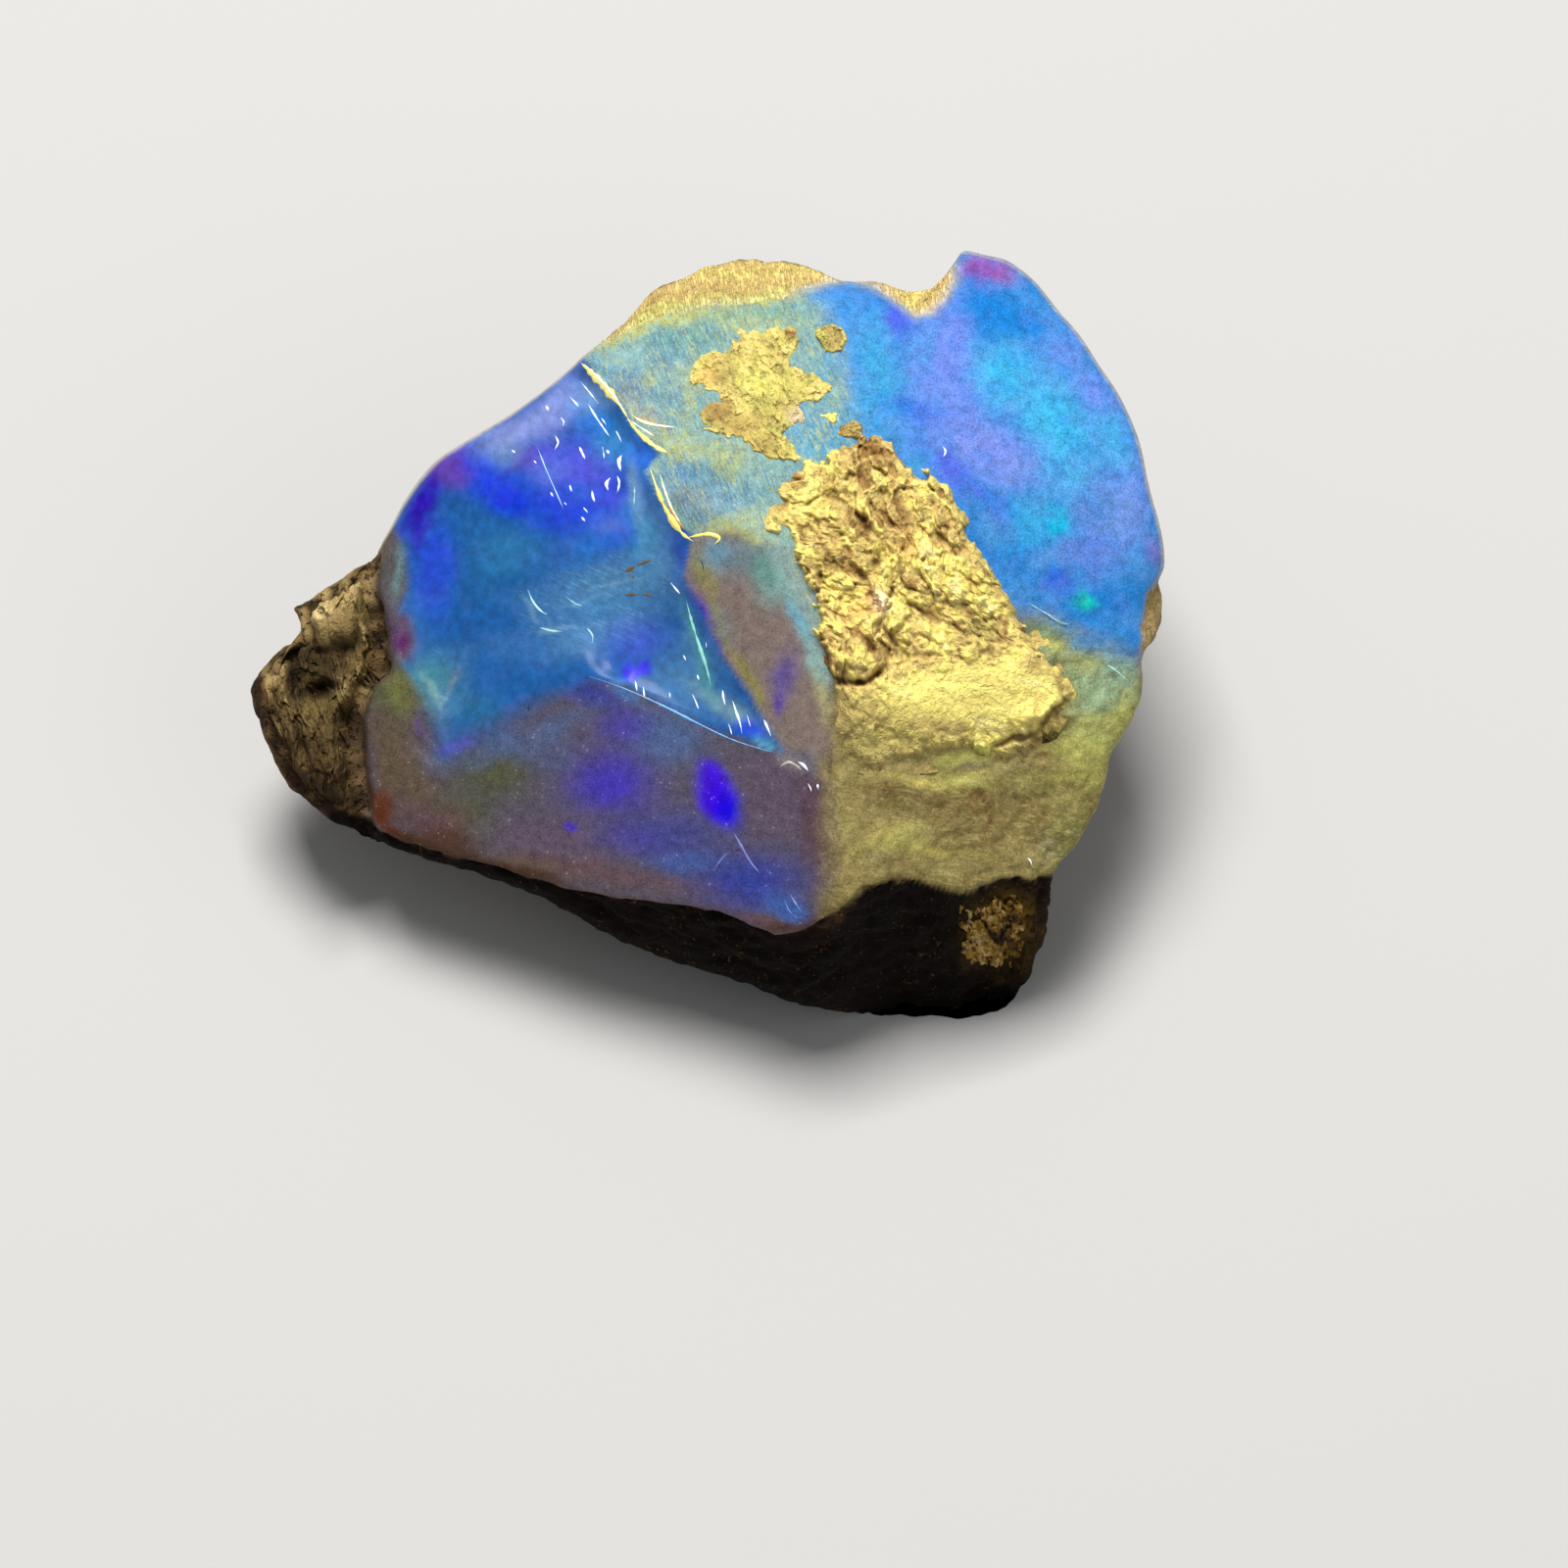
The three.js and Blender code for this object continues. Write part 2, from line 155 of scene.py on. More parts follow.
def lumps(size: float, x: Array, y: Array, z: Array | float) -> Array:
    """Smooth lumps from -0.5 to 0.5.

    Args:
        size: The lattice spacing, about one lump.
        x: First coordinates.
        y: Second coordinates.
        z: Third coordinates, or one number for a slice.

    Returns:
        The lattice values of the eight corners around each place, blended by smooth weights.
    """
    place = [np.asarray(p, float) / size for p in (x, y, z)]
    cell = [np.floor(p) for p in place]
    fx, fy, fz = (ramp(0.0, 1.0, p - c) for p, c in zip(place, cell))
    total = 0.0
    for corner in range(8):
        i, j, k = corner & 1, corner >> 1 & 1, corner >> 2
        weight = (fx if i else 1 - fx) * (fy if j else 1 - fy) * (fz if k else 1 - fz)
        total = total + weight * lattice_value(cell[0] + i, cell[1] + j, cell[2] + k)
    return total - 0.5


def rough(size: float, x: Array, y: Array, z: Array | float, octaves: int = 3) -> Array:
    """Lumps with smaller lumps on them: each octave is half the size and half the height."""
    return sum(0.5**n * lumps(size * 0.5**n, x, y, np.asarray(z) + 17.0 * n) for n in range(octaves))


def middles(
    size: float, places: Sequence[Array], salt: float
) -> Iterator[tuple[list[Array], Array, Array]]:
    """Middles scattered one to a cell, from each of the cells around every place in turn.

    Args:
        size: The usual distance between two middles.
        places: The coordinates, two or three arrays.
        salt: Makes one scattering differ from another.

    Yields:
        The way from the middle in sizes, an array for each coordinate; the middle's own value from
        0 to 1; and the height at the place of a plane through the middle that leans its own way.
    """
    scaled = [np.asarray(place, float) / size for place in places]
    cell = [np.floor(place) for place in scaled]
    for step in np.ndindex(*(3,) * len(scaled)):
        at = [c + s - 1 for c, s in zip(cell, step)]
        key = [*at, 0.0][:3]
        away = [p - a - lattice_value(*key, salt + n) for n, (p, a) in enumerate(zip(scaled, at))]
        plane = sum((lattice_value(*key, salt + 5.0 + n) - 0.5) * w for n, w in enumerate(away))
        yield away, lattice_value(*key, salt + 4.0), plane


def chips(
    size: float, places: Sequence[Array], salt: float, tilt: float = 1.0, fall: float = 1.1
) -> Array:
    """Overlapping chips, each of which leans its own way.

    Args:
        size: The usual distance between two chips.
        places: The coordinates, two or three arrays.
        salt: Makes one packing differ from another.
        tilt: How steeply the chips may lean.
        fall: How fast they fall away from their middles.

    Returns:
        The height of the topmost chip, about -0.5 to 0.5. A chip's height is its own value, plus
        the tilt times its plane, less the fall times the square of the way from its middle.
    """
    best = np.full(np.shape(places[0]), -np.inf)
    for away, value, plane in middles(size, places, salt):
        best = np.maximum(best, value + tilt * plane - fall * sum(w * w for w in away))
    return best - 0.6


def flakes(
    size: float, places: Sequence[Array], salt: float, lean: float
) -> tuple[Array, Array, Array]:
    """Broken flakes with sharp edges: each place belongs to the nearest of scattered middles.

    Args:
        size: The usual distance between two flakes.
        places: The two coordinates.
        salt: Makes one breakage differ from another.
        lean: How steeply the flakes may lean.

    Returns:
        The height, from -0.5 to 0.5 and the lean; the flake's own value from 0 to 1; and how much
        farther the second nearest middle is, in sizes, which is nought on a crack.
    """
    nearest = np.full(np.shape(places[0]), np.inf)
    second, top, own = nearest.copy(), np.zeros_like(nearest), np.zeros_like(nearest)
    for away, value, plane in middles(size, places, salt):
        far = np.hypot(*away)
        closer = far < nearest
        second = np.where(closer, nearest, np.minimum(second, far))
        top = np.where(closer, value + lean * plane, top)
        own = np.where(closer, value, own)
        nearest = np.where(closer, far, nearest)
    return top - 0.5, own, second - nearest


def cubic(before: Array, start: Array, end: Array, after: Array, t: Array) -> Array:
    """The cubic from start to end whose slope at each is half the way between its neighbours.

    Args:
        before: The points before the start.
        start: The points at the start.
        end: The points at the end.
        after: The points after the end.
        t: The share of the way from start to end.

    Returns:
        The points on the curve.
    """
    slope_in, slope_out = (end - before) / 2, (after - start) / 2
    third = 2 * start - 2 * end + slope_in + slope_out
    second = -3 * start + 3 * end - 2 * slope_in - slope_out
    return ((third * t + second) * t + slope_in) * t + start


@dataclass(frozen=True)
class Swell:
    """A rounded rise or hollow: its middle, its half width and half length, height and turn."""

    across: float
    up: float
    half_width: float
    half_length: float
    height: float
    turn: float = 0.0

    def reach(self, across: Array, up: Array) -> Array:
        """The distance from the middle in half sizes, with the long side turned by turn degrees.

        Args:
            across: The places' first coordinates.
            up: Their second ones.

        Returns:
            Nought at the middle and 1 on the oval rim.
        """
        cos, sin = math.cos(math.radians(self.turn)), math.sin(math.radians(self.turn))
        x, y = across - self.across, up - self.up
        return np.hypot((cos * x + sin * y) / self.half_width, (cos * y - sin * x) / self.half_length)

    def rise(self, across: Array, up: Array) -> Array:
        """The height times the bell curve exp(-reach squared)."""
        return self.height * np.exp(-self.reach(across, up) ** 2)

    def border(self, corners: int = 10) -> Points:
        """Corners on its oval rim, alternately a little out and in.

        Args:
            corners: How many corners.

        Returns:
            The corners in order.
        """
        turn = np.arange(corners) * 2 * math.pi / corners
        wave = 1 + 0.1 * np.cos(2.5 * turn + 10 * self.across)
        x, y = self.half_width * wave * np.cos(turn), self.half_length * wave * np.sin(turn)
        return list(zip((self.across + x).tolist(), (self.up + y).tolist()))


def swells(parts: Sequence[Swell], across: Array, up: Array) -> Array:
    """The sum of several rises and hollows."""
    return sum((part.rise(across, up) for part in parts), np.zeros(np.shape(across)))


def rises(*rows: tuple) -> tuple[Swell, ...]:
    """Swells from rows of across, up, half width, half length, height and turn."""
    return tuple(Swell(*row) for row in rows)


# The shape of the stone


@dataclass(frozen=True)
class Plane:
    """A flat break: its height at one place, and how fast it rises to the right and upwards."""

    height: float
    across: float = 0.0
    up: float = 0.0
    rise_across: float = 0.0
    rise_up: float = 0.0

    def at(self, across: Array, up: Array) -> Array:
        """The height at each place."""
        return self.height + self.rise_across * (across - self.across) + self.rise_up * (up - self.up)


@dataclass(frozen=True)
class StoneShape:
    """The sizes of the stone in millimetres, and the height of its front and back.

    The lists repeat the solid's own: the outline as across, up and rounding radius, the lower rim,
    the scoop's edges, the groove of the left lump, and the planes that it is broken along.
    """

    tilt: float = math.radians(25.0)
    rest_depth: float = 6.3
    outline: tuple = (
        (10.9, -0.5, 0.4), (11.2, -0.1, 0.4), (11.4, 0.4, 0.4), (11.4, 1.0, 0.4), (11.3, 1.4, 0.3),
        (11.4, 1.8, 0.3), (11.3, 2.6, 0.3), (11.0, 3.7, 0.3), (10.75, 4.85, 0.3), (10.3, 5.9, 0.3),
        (9.75, 6.75, 0.3), (9.3, 7.45, 0.3), (8.75, 8.1, 0.3), (8.2, 8.8, 0.3), (7.55, 9.3, 0.3),
        (7.0, 9.45, 0.3), (6.45, 9.55, 0.3), (6.2, 9.3, 0.4), (5.9, 8.95, 0.6), (5.6, 8.65, 0.9),
        (5.05, 8.65, 1.1), (4.4, 8.8, 1.2), (3.55, 8.9, 1.3), (2.7, 9.2, 1.4), (1.95, 9.4, 1.5),
        (1.1, 9.5, 1.5), (0.25, 9.35, 1.4), (-0.6, 9.0, 1.2), (-1.4, 8.55, 1.0), (-1.9, 7.9, 0.7),
        (-2.45, 7.35, 0.4), (-3.15, 6.75, 0.3), (-3.95, 6.1, 0.3), (-4.9, 5.45, 0.3),
        (-6.05, 4.8, 0.35), (-6.8, 4.3, 0.4), (-7.45, 3.5, 0.5), (-7.95, 2.6, 0.5), (-8.35, 2.05, 0.4),
        (-9.1, 1.55, 0.5), (-9.85, 1.05, 0.5), (-10.35, 0.75, 0.4), (-10.2, 0.2, 0.4),
        (-10.7, -0.3, 0.4), (-11.45, -1.05, 0.5), (-11.45, -1.75, 0.5), (-11.05, -2.65, 0.5),
        (-10.65, -3.55, 0.5), (-10.15, -4.15, 0.5), (-9.2, -4.8, 0.5), (-8.1, -5.25, 0.4),
        (-6.9, -5.65, 0.4), (-5.4, -6.1, 0.4), (-3.95, -6.7, 0.5), (-2.5, -7.5, 0.5),
        (-1.0, -8.15, 0.6), (0.75, -8.7, 0.6), (2.45, -9.3, 0.6), (3.95, -9.6, 0.7), (5.4, -9.7, 0.7),
        (6.65, -9.65, 0.6), (7.65, -9.35, 0.5), (8.3, -8.35, 0.4), (8.6, -7.4, 0.4), (8.7, -6.5, 0.4),
        (8.75, -5.85, 0.3), (9.3, -5.2, 0.4), (9.75, -4.4, 0.5), (10.0, -3.65, 0.5), (10.2, -2.85, 0.5),
        (10.7, -2.05, 0.5), (10.9, -1.25, 0.5),
    )
    lower_rim: tuple = (
        (-8.6, -4.6), (-8.2, -4.9), (-7.0, -5.3), (-5.2, -5.8), (-3.7, -6.3), (-1.8, -6.6), (0.3, -6.9),
        (1.8, -7.5), (2.4, -7.4), (3.0, -7.1), (3.6, -6.8), (4.0, -6.3), (4.7, -6.1), (5.6, -6.3),
        (6.4, -6.5), (7.5, -6.1), (8.3, -6.2), (8.8, -5.9),
    )
    dome: Plane = Plane(5.1, 3.92, 3.19, -0.12, -0.22)
    dome_curve: float = 0.03
    smooth_side: Plane = Plane(5.0, 3.19, -1.23, -0.372, 0.2147)
    side_softness: float = 1.4
    brown_strip: Plane = Plane(4.9, -0.37, 2.5, 0.3, 0.26)
    frosted_facet: Plane = Plane(4.365, 0.0, 0.0, 0.33, 0.281)
    wall_steepness: float = 1.67
    rim_softness: float = 0.3
    scoop_lip: tuple = (
        (-3.4, 7.6), (-2.9, 6.7), (-2.3, 6.0), (-1.8, 5.2), (-1.1, 4.4), (-1.4, 4.0), (-0.9, 3.0),
        (-0.3, 2.4),
    )
    scoop_ridge: tuple = ((-0.3, 2.4), (-0.5, 1.4), (0.3, -0.3), (1.0, -1.3), (2.0, -2.9))
    scoop_arris: tuple = (
        (2.0, -2.9), (0.5, -2.4), (-0.7, -1.8), (-1.9, -1.2), (-2.9, -1.1), (-4.0, -1.6), (-5.3, -2.3),
        (-6.5, -2.9), (-6.7, -2.1), (-7.15, -1.25), (-7.5, -0.75), (-7.9, -0.4), (-8.6, -0.2),
    )
    scoop_far_corners: tuple = ((-13.0, 3.0), (-6.0, 10.0))
    scoop_depth: float = 1.5
    scoop_reach: float = 1.7
    shell_softness: float = 2.5
    lip_step: float = 0.3
    lip_width: float = 0.4
    arris_softness: float = 0.8
    crease_softness: float = 0.12
    wave_size: float = 3.0
    wave_height: float = 0.1
    crust_lump_size: float = 1.3
    left_groove: tuple = (
        (-4.4, -8.6), (-3.1, -8.7), (-2.1, -8.8), (-1.2, -8.4), (-0.9, -8.0), (0.1, -8.1), (1.1, -8.4),
        (2.1, -8.3),
    )
    groove_depth: float = 0.5
    groove_width: float = 0.22
    edge_squareness: float = 24.0
    calm_reach: float = 0.045
    calm_samples: int = 8
    calm_fade: float = 8.0

    left_slope: Plane = Plane(0.1, -9.5, 0.0, 0.22)
    left_lobes: tuple[Swell, ...] = rises(
        (-9.3, 0.6, 0.9, 1.0, 0.75), (-10.9, -1.8, 0.6, 1.5, 0.85), (-9.5, -3.0, 0.8, 1.1, 0.75),
        (-9.0, -1.3, 0.4, 0.5, 0.25),
    )
    left_pits: tuple[Swell, ...] = rises(
        (-9.6, -1.35, 0.55, 0.22, -0.5, 10), (-9.0, -0.3, 0.28, 0.22, -0.35),
        (-10.25, -1.0, 0.17, 0.6, -0.45), (-10.05, -2.75, 0.1, 0.5, -0.35, 12),
        (-8.7, -0.1, 0.1, 0.4, -0.3, -10), (-9.7, -0.4, 0.34, 0.1, -0.15),
        (-10.75, -1.6, 0.12, 0.6, -0.15, 20),
    )
    front_swells: tuple[Swell, ...] = rises(
        (11.5, 0.6, 0.55, 0.95, -0.9), (0.5, 3.4, 1.1, 0.8, -0.22), (5.3, 8.5, 0.9, 0.6, -0.45),
        (8.4, -2.0, 0.9, 0.25, 0.18), (8.3, -2.45, 0.9, 0.2, -0.15),
    )
    top_band: tuple = (
        (-3.1, 7.0), (-2.4, 7.3), (-1.9, 7.55), (-0.9, 7.9), (0.0, 8.1), (1.0, 8.2), (2.0, 8.3),
        (2.6, 8.6), (3.6, 8.85), (4.25, 8.65), (4.75, 8.3), (5.2, 7.9), (5.6, 8.0), (5.95, 8.35),
        (6.2, 8.75), (6.15, 9.2), (5.9, 9.6), (5.0, 10.5), (1.0, 11.0), (-3.0, 9.0),
    )
    back_sides: tuple[Plane, ...] = (
        Plane(-6.48, -4.0, -1.0, -0.57, -0.466), Plane(1.5, 0.0, 9.6, 0.0, 2.35),
        Plane(1.5, 11.4, 0.0, 2.8), Plane(-16.462, 0.0, 0.0, -1.408, 1.694),
        Plane(-11.815, 0.0, 0.0, -0.5548, -1.3432),
    )
    back_lump_size: float = 2.8
    back_lump_height: float = 0.75
    back_softness: float = 2.2
    underside_sink: float = 0.35
    least_thickness: float = 0.5
    mean_radius: float = 0.45

    @property
    def scoop_area(self) -> Points:
        """The border of the scoop, closed well outside the stone."""
        return [*self.scoop_lip, *self.scoop_ridge, *self.scoop_arris, *self.scoop_far_corners]

    def edge(self, turn: Array) -> Array:
        """The edge at each turn, on the closed curve through the outline's points.

        Args:
            turn: Shares of the way round, counter-clockwise from the right.

        Returns:
            Across, up and rounding radius in a last axis of three.
        """
        knots = np.array(self.outline)
        place = np.mod(turn, 1.0) * len(knots)
        index = np.floor(place).astype(int) % len(knots)
        t = (place - np.floor(place))[..., None]
        return cubic(*(knots[(index + n) % len(knots)] for n in (-1, 0, 1, 2)), t)

    def calm_edge(self, turn: Array) -> Array:
        """The edge with its notches averaged away, as a mean over a stretch of turns."""
        steps = np.linspace(-self.calm_reach, self.calm_reach, 2 * self.calm_samples + 1)
        return sum(self.edge(turn + step) for step in steps) / len(steps)

    def skin(self, across: Array, up: Array) -> Array:
        """The nodule's own outside: a dome, rounded into the smooth side at the lower right.

        Args:
            across: The places' first coordinates.
            up: Their second ones.

        Returns:
            The heights.
        """
        x, y = across - self.dome.across, up - self.dome.up
        dome = self.dome.at(across, up) - self.dome_curve * (x * x + y * y)
        return soft_min(dome, self.smooth_side.at(across, up), self.side_softness)

    def opened_face(self, across: Array, up: Array) -> Array:
        """The broken front: the lowest of the skin and two flat breaks, with the scoop let in.

        The scoop's shell is one smooth hollow: its depth times (1 - exp(-distance / reach)) for
        each of its three edges, multiplied together, and a step more along its lip.

        Args:
            across: The places' first coordinates.
            up: Their second ones.

        Returns:
            The heights.
        """
        inside = is_inside(self.scoop_area, across, up)
        lines = (self.scoop_lip, self.scoop_ridge, self.scoop_arris)
        ways = [np.where(inside, calm_distance(line, across, up), 0.0) for line in lines]
        gentle = self.arris_softness * ramp(-2.2, -3.6, across) * ramp(-6.5, -5.4, across)
        ways[2] = np.hypot(ways[2], gentle) - gentle
        shell = np.prod([1 - np.exp(-way / self.scoop_reach) for way in ways], axis=0)
        softness = self.crease_softness + self.shell_softness * shell
        cuts = soft_min(self.brown_strip.at(across, up), self.frosted_facet.at(across, up), softness)
        height = soft_min(self.skin(across, up), cuts, softness)
        step = ramp(0.0, self.lip_width, ways[0]) * np.exp(-ways[0] / self.scoop_reach)
        height = height - self.scoop_depth * shell - self.lip_step * step * np.minimum(shell * 8, 1)
        waves = self.wave_height * lumps(self.wave_size, across, up, 0.0)
        waves = waves * (1 - np.minimum(shell * 2, 1))
        return height + waves + swells(self.front_swells, across, up)

    def left_lump(self, across: Array, up: Array) -> Array:
        """The bark-like lump: a gentle slope with rounded lobes, pits and lumps.

        Args:
            across: The places' first coordinates.
            up: Their second ones.

        Returns:
            The heights.
        """
        body = self.left_slope.at(across, up) + swells(self.left_lobes, across, up)
        body = body + 0.35 * lumps(self.crust_lump_size, across, up, 3.0)
        return body + swells(self.left_pits, across, up)

    def face(self, across: Array, up: Array) -> Array:
        """The left lump and the opened face on either side of the groove, less its bell curve.

        Args:
            across: The places' first coordinates.
            up: Their second ones.

        Returns:
            The heights.
        """
        groove = np.interp(up, *zip(*self.left_groove))
        share = ramp(groove - self.groove_width, groove + self.groove_width, across)
        height = self.left_lump(across, up) * (1 - share) + self.opened_face(across, up) * share
        return height - self.groove_depth * np.exp(-(((across - groove) / self.groove_width) ** 2))

    def over_rim(self, across: Array, up: Array) -> Array:
        """How far each place is above the lower rim, below nought on the wall."""
        return up - np.interp(across, *zip(*self.lower_rim))

    def front(self, across: Array, up: Array) -> Array:
        """The height of the front: the face down to the lower rim, then the wall under it.

        Args:
            across: The places' first coordinates.
            up: Their second ones.

        Returns:
            The heights.
        """
        over = self.over_rim(across, up)
        drop = soft_min(over, np.zeros_like(over), self.rim_softness)
        wall_lumps = 0.5 * lumps(self.crust_lump_size, across, up, 5.0) * ramp(0.0, -0.6, over)
        return self.face(across, up - drop) + self.wall_steepness * drop + wall_lumps

    def rolled(self, across: Array, up: Array) -> Array:
        """The front's height with the mean rounding of its edge taken off."""
        inner = np.maximum(inward([knot[:2] for knot in self.outline], across, up), 0.0)
        return self.front(across, up) - edge_roll(inner, np.full(np.shape(across), self.mean_radius))

    def resting(self, up: Array) -> Array:
        """The height of the level underside at a place on the sheet."""
        return (-self.rest_depth - math.sin(self.tilt) * up) / math.cos(self.tilt)

    def back(self, across: Array, up: Array) -> Array:
        """The underside and the sloping sides rounded together, lumpy, and never below the underside.

        Args:
            across: The places' first coordinates.
            up: Their second ones.

        Returns:
            The heights.
        """
        resting = self.resting(up)
        hollow = resting - self.underside_sink
        for side in self.back_sides:
            hollow = soft_max(hollow, side.at(across, up), self.back_softness)
        lumpy = lumps(self.back_lump_size, across, up, 11.0) + 0.4 * lumps(1.2, across, up, 13.0)
        return np.maximum(hollow + self.back_lump_height * lumpy, resting)

    def level(self, points: Array) -> Array:
        """The points tipped back with the sheet, with the underside at a height of nought.

        Args:
            points: Across, up and height in a last axis of three.

        Returns:
            The points, levelled.
        """
        across, up, height = points[..., 0], points[..., 1], points[..., 2]
        cos, sin = math.cos(self.tilt), math.sin(self.tilt)
        levelled = (across, cos * up - sin * height, sin * up + cos * height + self.rest_depth)
        return np.stack(levelled, axis=-1)


def edge_roll(distance: Array, radius: Array) -> Array:
    """How far the front has rolled down: a quarter circle of the radius, met at the edge."""
    short = np.maximum(radius - distance, 0.0)
    return radius - np.sqrt(radius * radius - short * short)


class Net:
    """A square net of points on a disc, whose border is the disc's last ring."""

    def __init__(self, cells: int) -> None:
        """Lays out the net.

        Args:
            cells: Cells along each side.
        """
        self.cells = cells
        line = np.linspace(-1.0, 1.0, cells + 1)
        self.x, self.y = np.meshgrid(line, line)
        self.ring = np.maximum(np.abs(self.x), np.abs(self.y))
        safe = np.where(self.ring > 0, self.ring, 1.0)
        eighths = np.select(
            [self.x == self.ring, self.y == self.ring, self.x == -self.ring],
            [self.y / safe, 2 - self.x / safe, 4 - self.y / safe],
            6 + self.x / safe,
        )
        self.turn = np.mod(eighths, 8.0) / 8.0
        self.on_border = self.ring > 1.0 - 1e-9

    def quads(self, index: Array) -> Array:
        """The cells as four corner numbers each, counter-clockwise."""
        corners = [index[:-1, :-1], index[:-1, 1:], index[1:, 1:], index[1:, :-1]]
        return np.stack(corners, axis=-1).reshape(-1, 4)

    def border(self) -> Array:
        """The places of the border's points in the flattened net, counter-clockwise from the right."""
        places = np.flatnonzero(self.on_border)
        return places[np.argsort(self.turn.ravel()[places])]

    def blurred(self, values: Array, rounds: int) -> Array:
        """Flattened values of the net, each made the mean of its four neighbours, that many times.

        Args:
            values: A number for each point.
            rounds: How many times.

        Returns:
            The blurred numbers.
        """
        grid = values.reshape(self.ring.shape)
        for _ in range(rounds):
            wide = np.pad(grid, 1, mode="edge")
            grid = (wide[:-2, 1:-1] + wide[2:, 1:-1] + wide[1:-1, :-2] + wide[1:-1, 2:]) / 4
        return grid.ravel()


def on_sheet(shape: StoneShape, scale: Array, turn: Array) -> tuple[Array, Array, Array]:
    """Where rings cross turns: the last ring is the edge itself, the inner ones are calmer.

    Args:
        shape: The stone.
        scale: Each ring's share of the way from the middle to the edge.
        turn: Each place's share of the way round.

    Returns:
        Across, up, and the edge at that turn.
    """
    edge = shape.edge(turn)
    late = (scale**shape.calm_fade)[..., None]
    spot = (shape.calm_edge(turn) * (1 - late) + edge * late) * scale[..., None]
    return spot[..., 0], spot[..., 1], edge


def front_net(shape: StoneShape, net: Net) -> tuple[Array, Array]:
    """The front's points on the sheet, and how far each is from the edge.

    The rings crowd near the edge, where the surface rolls over.

    Args:
        shape: The stone.
        net: The net that is laid on it.

    Returns:
        Across, up and height in a last axis of three, and the distances.
    """
    scale = net.ring * (1.25 - 0.25 * net.ring**2)
    across, up, edge = on_sheet(shape, scale, net.turn)
    to_edge = (1 - scale) * np.hypot(edge[..., 0], edge[..., 1])
    height = shape.front(across, up) - edge_roll(to_edge, edge[..., 2])
    return np.stack((across, up, height), axis=-1), to_edge


def back_net(shape: StoneShape, net: Net) -> Array:
    """The back's points: from the front's edge they sink to the back's height.

    The share of the way down is the square root of 1 - scale^squareness, so that the sides stand
    upright where they meet the edge.

    Args:
        shape: The stone.
        net: The net that is laid on it.

    Returns:
        Across, up and height in a last axis of three.
    """
    scale = np.sin(net.ring * math.pi / 2)
    across, up, edge = on_sheet(shape, scale, net.turn)
    start = shape.front(edge[..., 0], edge[..., 1]) - edge[..., 2]
    sink = np.sqrt(1 - np.minimum(scale, 1.0) ** shape.edge_squareness)
    low = np.minimum(shape.back(across, up), start - shape.least_thickness)
    height = start + (low - start) * sink
    return np.stack((across, up, height), axis=-1)


# Colour


